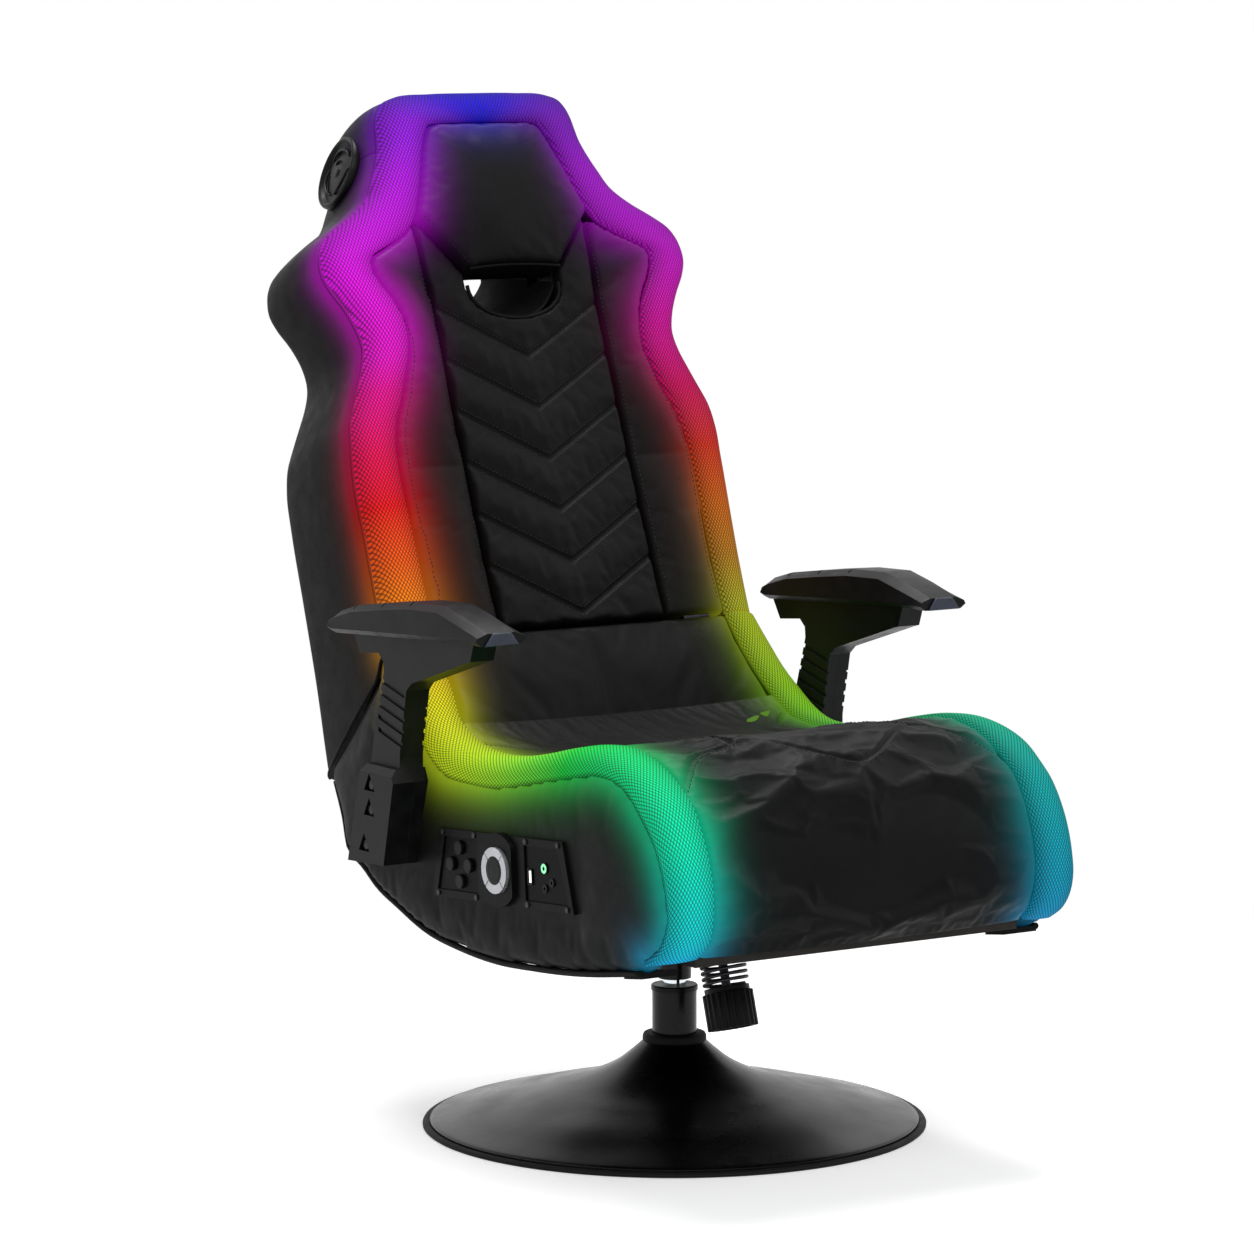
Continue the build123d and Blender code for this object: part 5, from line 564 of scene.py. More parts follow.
def stitches(name, piece, lines, material, body, pitch=0.0046, long=0.0032, thick=0.0005, lift=0.0002, slots=None):
    """Sewn stitches that lie on a piece along some lines."""
    tree = BVHTree.FromObject(piece, bpy.context.evaluated_depsgraph_get())
    points, faces = [], []
    sides = 5
    for line in lines:
        path, _ = resample(line, 2)
        length = np.linalg.norm(np.diff(np.array(line, float), axis=0), axis=1).sum()
        count = max(2, int(length / pitch))
        path, _ = resample(line, count * 2 + 1)
        for n in range(count):
            start, end = path[2 * n], path[2 * n + 1]
            middle = (start + end) / 2
            way = end - start
            way /= max(np.linalg.norm(way), 1e-12)
            spot, normal, _, _ = tree.find_nearest(Vector(middle))
            if spot is None:
                continue
            normal = np.array(normal)
            side = np.cross(way, normal)
            size = np.linalg.norm(side)
            if size < 1e-6:
                continue
            side /= size
            way = np.cross(normal, side)
            base = np.array(spot) + normal * lift
            first = len(points)
            for share, width in ((-0.5, 0.25), (-0.34, 1.0), (0.0, 1.15), (0.34, 1.0), (0.5, 0.25)):
                for k in range(sides):
                    turn = 2 * math.pi * k / sides
                    dip = -abs(share) ** 2 * thick * 3
                    points.append(
                        base + way * (share * long)
                        + side * (math.cos(turn) * thick * width)
                        + normal * (math.sin(turn) * thick * width + dip)
                    )
            for r in range(4):
                for k in range(sides):
                    m = (k + 1) % sides
                    faces.append((first + r * sides + k, first + r * sides + m, first + (r + 1) * sides + m, first + (r + 1) * sides + k))
    obj = make_mesh(name, points, faces, material)
    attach(obj, body)
    return obj


# ---------- materials ----------
class Shader:
    """A node material with one Principled shader."""

    def __init__(self, name, **values):
        self.material = bpy.data.materials.new(name)
        self.material.use_nodes = True
        self.nodes = self.material.node_tree.nodes
        self.links = self.material.node_tree.links
        self.main = self.nodes["Principled BSDF"]
        for key, value in values.items():
            self.main.inputs[key.replace("_", " ")].default_value = value
        self.place = self.nodes.new("ShaderNodeTexCoord").outputs["Object"]

    def node(self, kind, settings=(), **inputs):
        made = self.nodes.new(kind)
        for key, value in dict(settings).items():
            setattr(made, key, value)
        for key, value in inputs.items():
            key = key.replace("_", " ")
            socket = made.inputs[int(key)] if key.isdigit() else made.inputs[key]
            self.feed(socket, value)
        return made

    def feed(self, socket, value):
        if isinstance(value, bpy.types.NodeSocket):
            self.links.new(value, socket)
        else:
            socket.default_value = value

    def math(self, operation, a, b=0.0, clamp=False):
        made = self.nodes.new("ShaderNodeMath")
        made.operation = operation
        made.use_clamp = clamp
        self.feed(made.inputs[0], a)
        self.feed(made.inputs[1], b)
        return made.outputs[0]

    def noise(self, scale, detail=3.0, place=None, rough=0.5):
        made = self.node("ShaderNodeTexNoise", Scale=scale, Detail=detail, Roughness=rough)
        self.links.new(place or self.place, made.inputs["Vector"])
        return made.outputs["Fac"]

    def cells(self, scale, feature="F1", place=None, smoothness=None):
        made = self.node("ShaderNodeTexVoronoi", settings={"feature": feature}, Scale=scale)
        self.links.new(place or self.place, made.inputs["Vector"])
        return made.outputs["Distance"]

    def span(self, value, low, high, to_low, to_high):
        made = self.node("ShaderNodeMapRange", Value=value, From_Min=low, From_Max=high, To_Min=to_low, To_Max=to_high)
        return made.outputs["Result"]

    def mix(self, share, a, b):
        made = self.node("ShaderNodeMix", settings={"data_type": "RGBA"})
        self.feed(made.inputs["Factor"], share)
        self.feed(made.inputs[6], a)
        self.feed(made.inputs[7], b)
        return made.outputs[2]

    def bump(self, height, distance, strength=1.0, under=None):
        made = self.node("ShaderNodeBump", Height=height, Distance=distance, Strength=strength)
        if under is not None:
            self.links.new(under, made.inputs["Normal"])
        return made.outputs["Normal"]

    def set(self, **links):
        for key, value in links.items():
            self.feed(self.main.inputs[key.replace("_", " ")], value)
        return self


def attribute(shader, name):
    made = shader.nodes.new("ShaderNodeAttribute")
    made.attribute_name = name
    return made


def vinyl_material(name, glow=True, dark=0.0044):
    """Black vinyl with a fine pebbled grain, soft creases and the light that falls on it beside the strips."""
    s = Shader(name, IOR=1.5, Specular_IOR_Level=0.07)
    pores = s.cells(1150.0)
    folds = s.noise(1.0 / 0.045, 4.0)
    fine = s.noise(420.0, 2.0)
    under = s.bump(folds, 0.0016, 0.35)
    grain = s.bump(s.math("ADD", pores, s.math("MULTIPLY", fine, 0.6)), 0.00022, 0.55, under)
    tone = s.span(s.noise(14.0, 4.0), 0.3, 0.7, 0.0, 1.0)
    s.set(
        Base_Color=s.mix(tone, (dark * 0.85, dark * 0.85, dark * 0.87, 1), (dark * 1.2, dark * 1.19, dark * 1.2, 1)),
        Roughness=s.span(s.math("ADD", s.noise(60.0, 3.0), s.math("MULTIPLY", pores, 0.5)), 0.3, 1.0, 0.38, 0.56),
        Normal=grain,
    )
    if glow:
        s.set(Emission_Color=attribute(s, "glow").outputs["Color"])
        s.main.inputs["Emission Strength"].default_value = 1.0
    return s.material


def mesh_material(name):
    """Spacer mesh with small diamond holes, lit from behind."""
    s = Shader(name, Roughness=0.75, IOR=1.45, Specular_IOR_Level=0.03)
    split = s.node("ShaderNodeSeparateXYZ")
    s.links.new(attribute(s, "weave").outputs["Vector"], split.inputs[0])
    u, v = split.outputs[0], split.outputs[1]
    pitch = 0.0039
    first = s.math("SINE", s.math("MULTIPLY", s.math("ADD", u, s.math("MULTIPLY", v, 0.62)), math.pi / pitch))
    second = s.math("SINE", s.math("MULTIPLY", s.math("SUBTRACT", u, s.math("MULTIPLY", v, 0.62)), math.pi / pitch))
    holes = s.math("MULTIPLY", s.math("ABSOLUTE", first), s.math("ABSOLUTE", second))
    hole = s.span(holes, 0.22, 0.55, 0.0, 1.0)
    thread = s.span(s.noise(900.0, 2.0), 0.3, 0.7, 0.8, 1.0)
    light = attribute(s, "light").outputs["Color"]
    lit = s.math("ADD", s.math("MULTIPLY", hole, 0.76), 0.30)
    glow = s.node("ShaderNodeMix", settings={"data_type": "RGBA", "blend_type": "MULTIPLY"})
    glow.inputs["Factor"].default_value = 1.0
    s.feed(glow.inputs[6], light)
    gray = s.node("ShaderNodeCombineColor", Red=lit, Green=lit, Blue=lit)
    s.feed(glow.inputs[7], gray.outputs[0])
    s.set(
        Base_Color=s.mix(s.math("MULTIPLY", thread, s.math("SUBTRACT", 1.0, hole)), (0.003, 0.003, 0.003, 1), (0.012, 0.012, 0.013, 1)),
        Emission_Color=glow.outputs[2],
        Normal=s.bump(s.math("SUBTRACT", 1.0, hole), 0.0006, 0.7),
    )
    s.main.inputs["Emission Strength"].default_value = 1.0
    return s.material


def plastic_material(name, colour, rough=0.42, grain=2600.0, depth=0.00008, specular=0.4):
    """Moulded plastic with a spark-eroded grain and slightly rubbed high spots."""
    s = Shader(name, IOR=1.5, Specular_IOR_Level=specular)
    texture = s.noise(grain, 2.0)
    flow = s.noise(55.0, 4.0)
    lighter = tuple(min(1.0, c * 1.35 + 0.0015) for c in colour)
    s.set(
        Base_Color=s.mix(s.span(flow, 0.42, 0.72, 0.0, 1.0), (*colour, 1), (*lighter, 1)),
        Roughness=s.span(s.math("ADD", flow, s.math("MULTIPLY", texture, 0.4)), 0.45, 0.95, rough - 0.06, rough + 0.1),
        Normal=s.bump(texture, depth, 0.6, s.bump(s.noise(35.0, 2.0), 0.0004, 0.12)),
    )
    return s.material


def metal_material(name, colour, rough=0.3, brushed=False, metallic=1.0):
    s = Shader(name, Metallic=metallic)
    place = s.place
    if brushed:
        stretch = s.node("ShaderNodeMapping", Scale=(1.0, 1.0, 14.0))
        s.links.new(s.place, stretch.inputs["Vector"])
        place = stretch.outputs["Vector"]
    scratch = s.noise(260.0, 5.0, place, 0.6)
    spots = s.noise(24.0, 4.0)
    darker = tuple(c * 0.82 for c in colour)
    s.set(
        Base_Color=s.mix(s.span(spots, 0.4, 0.65, 0.0, 1.0), (*darker, 1), (*colour, 1)),
        Roughness=s.span(scratch, 0.3, 0.75, rough * 0.75, rough * 1.3),
        Normal=s.bump(scratch, 0.00005, 0.25),
    )
    return s.material


def powder_material(name, colour, rough=0.36):
    """Powder coat: a fine orange-peel skin over steel."""
    s = Shader(name, IOR=1.5, Specular_IOR_Level=0.17, Coat_Weight=0.03, Coat_Roughness=0.12)
    peel = s.noise(520.0, 2.0)
    spread = s.noise(16.0, 3.0)
    dust = s.span(s.noise(5.0, 6.0, None, 0.6), 0.45, 0.75, 0.0, 1.0)
    s.set(
        Base_Color=s.mix(dust, (*colour, 1), (*[c * 1.5 + 0.001 for c in colour], 1)),
        Roughness=s.span(spread, 0.35, 0.7, rough - 0.04, rough + 0.07),
        Normal=s.bump(peel, 0.00012, 0.35),
    )
    return s.material


def board_material(name):
    s = Shader(name, Roughness=0.7, Specular_IOR_Level=0.3)
    stretch = s.node("ShaderNodeMapping", Scale=(3.0, 26.0, 26.0))
    s.links.new(s.place, stretch.inputs["Vector"])
    rings = s.noise(6.0, 6.0, stretch.outputs["Vector"], 0.65)
    s.set(
        Base_Color=s.mix(s.span(rings, 0.35, 0.7, 0, 1), (0.010, 0.0085, 0.007, 1), (0.022, 0.019, 0.016, 1)),
        Normal=s.bump(rings, 0.0003, 0.4),
    )
    return s.material


def lamp_material(name, colour, strength):
    s = Shader(name, Roughness=0.4)
    spread = s.span(s.noise(400.0, 2.0), 0.3, 0.7, 0.9, 1.0)
    s.set(Base_Color=(*colour, 1), Emission_Color=s.mix(spread, (*[c * 0.8 for c in colour], 1), (*colour, 1)))
    s.main.inputs["Emission Strength"].default_value = strength
    return s.material


VINYL = vinyl_material("vinyl")
VINYL_PLAIN = vinyl_material("vinyl_plain", glow=False)
TRIM = vinyl_material("trim_vinyl", glow=False, dark=0.0026)
THREAD = plastic_material("thread", (0.012, 0.012, 0.013), 0.6, 3000.0, specular=0.2)
MESH = mesh_material("lit_mesh")
BLACK = plastic_material("black_plastic", (0.0032, 0.0032, 0.0035), 0.34, specular=0.12)
HOUSING = plastic_material("console_plastic", (0.0040, 0.0040, 0.0044), 0.32, specular=0.06)
ARM_BLACK = plastic_material("arm_plastic", (0.0042, 0.0044, 0.0052), 0.36, 2100.0, 0.00012, 0.13)
# A darker, bluer plastic for the arm pockets' floors: painted shade in the recesses
RECESS_SHADE = plastic_material("arm_recess_painted_shade", (0.0014, 0.0017, 0.0034), 0.28, 2100.0, 0.00008, 0.09)
PAD_BLACK = plastic_material("arm_pad_skin", (0.0040, 0.0040, 0.0044), 0.40, 1500.0, 0.00016, 0.13)
RUBBER = plastic_material("rubber", (0.0040, 0.0040, 0.0040), 0.62, 900.0, 0.0001, 0.15)
# Darker than the housing: partly the plastic's own colour and partly painted shade for the recessed console face plates
PLATE = plastic_material("dark_plate", (0.0012, 0.0013, 0.0016), 0.30, 3400.0, 0.00005, 0.05)
BADGE = plastic_material("badge_plate", (0.020, 0.026, 0.046), 0.30, 3400.0, 0.00004, 0.4)
SILVER = metal_material("silver_plastic", (0.56, 0.57, 0.60), 0.34, metallic=0.75)
# Chrome, with a cyan tint in its colour that is a painted reflection of the strips' cyan light
CHROME = metal_material("chrome", (0.70, 0.76, 0.78), 0.09)
STEEL = metal_material("zinc_steel", (0.42, 0.42, 0.44), 0.34)
BLACK_STEEL = metal_material("black_oxide", (0.05, 0.05, 0.055), 0.42)
BRONZE = metal_material("bronze", (0.52, 0.36, 0.16), 0.38)
POWDER = powder_material("powder_coat", (0.0018, 0.0018, 0.0020), 0.27)
BOARD = board_material("plywood")
WHITE_LAMP = lamp_material("white_lamp", (1.0, 0.98, 0.92), 1.6)
GREEN_LAMP = lamp_material("green_lamp", (0.25, 0.85, 0.42), 0.8)
DARK_CLOTH = plastic_material("grille_cloth", (0.0035, 0.0035, 0.0038), 0.8, 1800.0, 0.0003, 0.12)

SLOT_MATERIAL = {
    "vinyl": VINYL_PLAIN, "light_mesh": MESH, "black_steel": POWDER, "chrome": CHROME, "steel": STEEL,
    "bronze": BRONZE, "rubber": RUBBER, "black_plastic": BLACK, "dark_plastic": PLATE, "silver_plastic": SILVER,
    "white_plastic": WHITE_LAMP, "board": BOARD,
}
NODE_MATERIAL = {
    "tension_spring": BLACK_STEEL, "tension_bolt": BLACK_STEEL, "column_sleeve": POWDER, "column_cap": BLACK,
    "arm_badges": BADGE, "arm_bolts": BLACK_STEEL, "console_screws": BLACK_STEEL, "speaker_screws": BLACK_STEEL,
    "console_sockets": BLACK, "mode_button_front": BLACK, "mode_button_upper": BLACK, "mode_button_rear": BLACK,
    "mode_button_lower": BLACK, "corner_tabs": TRIM, "back_hinge_leaves": BLACK_STEEL,
    "seat_hinge_leaves": BLACK_STEEL, "neck_slot_liner": RUBBER,
}
for row in frame["record"]["subparts"]:
    node = frame["nodes"][row["node"]]
    chosen = NODE_MATERIAL.get(row["node"], SLOT_MATERIAL[row["material_slot"]])
    if not node.material_slots:
        node.data.materials.append(chosen)
    for slot in node.material_slots:
        slot.material = chosen


# ---------- the lit strips ----------
BACK_ROW = through(
    [(up * BACK_HEIGHT, o * BACK_HALF, i * BACK_HALF, oo * BACK_DEPTH, oi * BACK_DEPTH, d * BACK_DEPTH)
     for up, o, i, oo, oi, d in BACK_SHARES]
)


def back_edges(side):
    """Stations up one side of the back and over its top: inner edge, outer edge, both outs and the depth."""
    ups = np.concatenate([np.linspace(FOLD_SEAM + 0.0004, 0.34, 62), np.linspace(0.346, 0.555, 76)])
    rows = BACK_ROW(ups)
    stations = [
        (side * i, up, side * o, up, oo, oi, depth) for up, (o, i, oo, oi, depth) in zip(ups, rows)
    ]
    crown = [
        (side * ix * BACK_HALF, iu * BACK_HEIGHT, side * ox * BACK_HALF, ou * BACK_HEIGHT, 0.0, 0.085 * BACK_DEPTH, d * BACK_DEPTH)
        for ix, iu, ox, ou, d in CROWN_PAIRS
    ]
    table = np.array([stations[-3], stations[-1]] + crown)
    mirrored = crown[-2]
    table = np.vstack([table, [-mirrored[0], mirrored[1], -mirrored[2], *mirrored[3:]]])
    step = np.linalg.norm(np.diff(table[:, 2:4], axis=0), axis=1)
    length = np.concatenate([[0], np.cumsum(step)])
    curve = through(np.column_stack([length, table]))
    run = np.linspace(length[1], length[-2], 40)[1:]
    return np.vstack([stations, curve(run)])


RIGHT_EDGES, LEFT_EDGES = back_edges(-1), back_edges(1)
SIDE_STATIONS = 138


def light_places(edges):
    """Each station's place along the light: its height on the side, then its share of the way over the crown."""
    over = len(edges) - SIDE_STATIONS
    crown = CROWN_START + (CROWN_END - CROWN_START) * np.arange(1, over + 1) / over
    return np.concatenate([edges[:SIDE_STATIONS, 1], crown])


def strip_level_far_shade(side, place):
    """The far side's strip is painted dimmer, as painted shade on that side, and the shade evens out over the crown."""
    return 1.0 if side < 0 else float(np.interp(place, [0.56, CROWN_END], [0.72, 1.0]))


def strip_profile(count):
    """Across a strip from its inner edge: the share of the way and the share of its fall to the outer edge."""
    share = 1 - (1 - np.linspace(0, 1, count)) ** 1.35
    fall = 1 - np.clip(1 - share**2.3, 0, 1) ** (1 / 2.3)
    return share, fall


def ribbon_loops(stations, roll=0.0035, crown=0.0022, count=26):
    share, fall = strip_profile(count)
    loops, weave, mid = [], [], []
    for ix, iu, ox, ou, out_outer, out_inner, _ in stations:
        wide = math.hypot(ox - ix, ou - iu)
        x, up = ix + (ox - ix) * share, iu + (ou - iu) * share
        out = out_inner + (out_outer - out_inner) * fall + crown * np.sin(math.pi * share) ** 0.7
        near = np.clip(share * wide / roll, 0, 1)
        out = out - roll * (1 - np.sqrt(1 - (1 - near) ** 2))
        line = np.concatenate([[0], np.cumsum(np.hypot(np.diff(share) * wide, np.diff(out)))])
        under_x = [ox - (ox - ix) * 0.02, ix + (ox - ix) * 0.02]
        under_up = [ou - (ou - iu) * 0.02, iu + (ou - iu) * 0.02]
        top = on_back(x, up, out)
        edge = on_back([ox], [ou], [out_outer - EDGE * 0.6])
        low = on_back(under_x, under_up, [out_outer - EDGE, out_inner - THICK])
        loops.append(np.vstack([top, edge, low]))
        weave.append((x, up + (line - share * wide) * 0.0))
        mid.append(share)
    return np.array(loops), weave


def back_strip():
    whole = np.vstack([RIGHT_EDGES, LEFT_EDGES[::-1][1:]])
    loops, weave = ribbon_loops(whole)
    obj = loft("back_mesh_strip", loops, MESH)
    rows, cols = loops.shape[:2]
    rows += 2
    light, places = np.zeros((rows * cols + 2, 3)), np.zeros((rows * cols + 2, 3))
    share, _ = strip_profile(cols - 3)
    run = np.concatenate([light_places(RIGHT_EDGES), light_places(LEFT_EDGES)[::-1][1:]])
    for i in range(rows):
        n = min(max(i - 1, 0), rows - 3)
        side = -1 if n < len(RIGHT_EDGES) else 1
        colour = light_at(RIGHT_BACK_LIGHT if side < 0 else LEFT_BACK_LIGHT, run[n])
        level = strip_level_far_shade(side, run[n])
        x, up = weave[n]
        bright = (0.42 + 0.58 * np.sin(math.pi * np.clip(share * 0.9 + 0.04, 0, 1)) ** 0.8) * level
        light[i * cols: i * cols + cols - 3] = colour[None] * bright[:, None]
        places[i * cols: i * cols + cols - 3, 0] = x
        places[i * cols: i * cols + cols - 3, 1] = up
        places[i * cols + cols - 3: (i + 1) * cols] = (x[-1], up[-1], 0)
        places[i * cols + cols - 3: (i + 1) * cols, 0] += side * EDGE * np.array([0.6, 1.0, 6.0])
        light[i * cols + cols - 3] = colour * 0.25
    paint(obj, "light", light)
    weave_attribute = obj.data.attributes.new("weave", "FLOAT_VECTOR", "POINT")
    weave_attribute.data.foreach_set("vector", places.astype(np.float32).ravel())
    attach(obj, "back")
    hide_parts("back_light_strip")
    return obj


def seat_table():
    """The seat strip's stations with even steps: inner y z, outer y z, half widths."""
    first, second = SEAT_STRIP_SHARES[:2]
    rows = []
    for row in SEAT_STRIP_SHARES:
        iy, iz = seat_yz(row[0], row[1])
        oy, oz = seat_yz(row[2], row[3])
        rows.append((iy, iz, oy, oz, row[4] * SEAT_HALF, row[5] * SEAT_HALF))
    rows = np.array(rows)
    middle = (rows[:, :2] + rows[:, 2:4]) / 2
    length = np.concatenate([[0], np.cumsum(np.linalg.norm(np.diff(middle, axis=0), axis=1))])
    curve = through(np.column_stack([length, rows]))
    run = np.linspace(0, length[-1], 190)
    return curve(run), run / length[-1], run


SEAT_ROWS, SEAT_SHARE, SEAT_LENGTH = seat_table()


def fold_limit(y, z):
    """How far above the seat unit's end at the fold a point lies, below 0 where the seat may be."""
    up = (y - BACK_FOOT[0]) * LEAN_SIN + (z - BACK_FOOT[1]) * LEAN_COS
    return up - (FOLD_SEAM - 0.0004)


def seat_strip():
    count = 24
    share, fall = strip_profile(count)
    loops, light, weave = [], [], []
    tangent = np.gradient((SEAT_ROWS[:, :2] + SEAT_ROWS[:, 2:4]) / 2, axis=0)
    tangent /= np.linalg.norm(tangent, axis=1)[:, None]
    for n, (iy, iz, oy, oz, half_in, half_out) in enumerate(SEAT_ROWS):
        way_y, way_z = tangent[n][1], -tangent[n][0]
        wide = math.hypot(half_out - half_in, math.hypot(oy - iy, oz - iz))
        x = -(half_in + (half_out - half_in) * share)
        rise = 0.0022 * np.sin(math.pi * share) ** 0.7
        near = np.clip(share * wide / 0.0035, 0, 1)
        rise = rise - 0.0035 * (1 - np.sqrt(1 - (1 - near) ** 2))
        y = iy + (oy - iy) * fall + way_y * rise
        z = iz + (oz - iz) * fall + way_z * rise
        top = np.stack([x, y, z], axis=1)
        low = [
            (-half_out, oy - way_y * EDGE * 0.6, oz - way_z * EDGE * 0.6),
            (-half_out + 0.001, oy - way_y * EDGE, oz - way_z * EDGE),
            (-half_in - 0.001, iy - way_y * THICK, iz - way_z * THICK),
        ]
        loop = np.vstack([top, low])
        over = fold_limit(loop[:, 1], loop[:, 2])
        shift = np.maximum(0, over)
        loop[:, 1] -= shift * LEAN_SIN
        loop[:, 2] -= shift * LEAN_COS
        loops.append(loop)
        colour = light_at(RIGHT_SEAT_LIGHT, SEAT_SHARE[n])
        bright = 0.42 + 0.58 * np.sin(math.pi * np.clip(share * 0.9 + 0.04, 0, 1)) ** 0.8
        light.append(np.vstack([colour * bright[:, None], colour[None] * np.array([[0.25], [0.02], [0.0]])]))
        step = np.concatenate([[0], np.cumsum(np.linalg.norm(np.diff(loop, axis=0), axis=1))])
        weave.append(np.stack([step, np.full(len(step), SEAT_LENGTH[n]), np.zeros(len(step))], axis=1))
    right = loft("seat_mesh_strip_right", loops, MESH)
    left_light = []
    for n in range(len(loops)):
        # The far seat strip is painted dimmer by 0.72: painted shade on that side
        colour = light_at(LEFT_SEAT_LIGHT, SEAT_SHARE[n]) * 0.72
        bright = 0.42 + 0.58 * np.sin(math.pi * np.clip(share * 0.9 + 0.04, 0, 1)) ** 0.8
        left_light.append(np.vstack([colour * bright[:, None], colour[None] * np.array([[0.25], [0.02], [0.0]])]))
    left = mirror_of(right, "seat_mesh_strip_left")
    for obj, colours in ((right, light), (left, left_light)):
        flat = np.vstack([colours[0], np.vstack(colours), colours[-1], np.zeros((2, 3))])
        paint(obj, "light", flat)
        spots = np.vstack([weave[0], np.vstack(weave), weave[-1], np.zeros((2, 3))])
        made = obj.data.attributes.new("weave", "FLOAT_VECTOR", "POINT")
        made.data.foreach_set("vector", spots.astype(np.float32).ravel())
        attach(obj, "seat")
    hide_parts("seat_light_strips")
    return right, left


BACK_STRIP = back_strip()
SEAT_STRIPS = seat_strip()


def light_sources():
    """Points along the strips' edges with the colour of the light there."""
    spots, colours = [], []
    for side, edges, stops in ((-1, RIGHT_EDGES, RIGHT_BACK_LIGHT), (1, LEFT_EDGES, LEFT_BACK_LIGHT)):
        for (ix, iu, ox, ou, oo, oi, _), run in zip(edges, light_places(edges)):
            for x, up, out in ((ix, iu, oi), (ox, ou, oo)):
                spots.append(on_back(x, up, out))
                colours.append(light_at(stops, run) * strip_level_far_shade(side, run))
    # The far seat strip's light is painted dimmer by 0.72, painted shade on that side, like the back's far side
    for side, stops, level in ((-1, RIGHT_SEAT_LIGHT, 1.0), (1, LEFT_SEAT_LIGHT, 0.72)):
        for n in range(0, len(SEAT_ROWS), 2):
            iy, iz, oy, oz, half_in, half_out = SEAT_ROWS[n]
            for x, y, z in ((half_in, iy, iz), (half_out, oy, oz)):
                spots.append((side * x, y, z))
                colours.append(light_at(stops, SEAT_SHARE[n]) * level)
    return np.array(spots), np.array(colours)


LIGHT_SPOTS, LIGHT_COLOURS = light_sources()
GLOW_REACH = 0.021
GLOW_LEVEL = 0.42


def add_glow(obj, side=0, level=GLOW_LEVEL, reach=GLOW_REACH):
    """The strips' light on the vinyl beside them, falling off with the distance.

    With a side, -1 or 1, the faces turned to the chair's middle stay dark."""
    co = places_of(obj)
    glow = np.zeros((len(co), 3))
    for start in range(0, len(co), 4000):
        part = co[start: start + 4000]
        gap = np.linalg.norm(part[:, None, :] - LIGHT_SPOTS[None, :, :], axis=2)
        share = np.exp(-((gap / (reach * 0.6)) ** 2)) + 1e-30
        near = gap.min(axis=1)
        colour = (share[:, :, None] * LIGHT_COLOURS[None]).sum(1) / share.sum(1)[:, None]
        colour = np.where((near < reach * 3)[:, None], colour, LIGHT_COLOURS[gap.argmin(axis=1)])
        fade = np.exp(-((near / reach) ** 1.35)) * level
        glow[start: start + 4000] = colour * fade[:, None]
    if side:
        glow[normals_of(obj)[:, 0] * side < -0.3] = 0.0
    if "glow" in obj.data.attributes:
        obj.data.attributes.remove(obj.data.attributes["glow"])
    paint(obj, "glow", glow)
    return obj


# ---------- back: pads in front ----------
def panel_half(up):
    start = SLOT_TOP - SLOT_DROP
    return PANEL_HALF + (PANEL_TOP_HALF - PANEL_HALF) * np.clip((up - start) / (HEAD_SEAM - start), 0, 1)


def panel_out(up):
    return 0.008 * np.clip((up - 0.18) / (HEAD_SEAM - 0.18), 0, 1)


def rounded_drop(gap, roll):
    near = np.clip(gap / roll, 0, 1)
    return roll * (1 - np.sqrt(np.maximum(0, 1 - (1 - near) ** 2)))


def slot_outline():
    """The neck slot where it meets the back's front, as (x, up) places."""
    drop = SLOT_DROP / LEAN_COS
    turn = np.linspace(0, math.pi, 41)
    x = SLOT_HALF * np.cos(turn)
    shoulder = drop * 0.27
    up = SLOT_TOP - shoulder - (drop - shoulder) * np.sin(turn) ** 0.85
    line = np.stack([x, up], axis=1)
    return np.vstack([[(SLOT_HALF, SLOT_TOP + 0.004)], line, [(-SLOT_HALF, SLOT_TOP + 0.004)]])


CHEVRON_TIPS = [0.003 + 0.060 * n for n in range(6)]
CHEVRON_RISE = 0.062


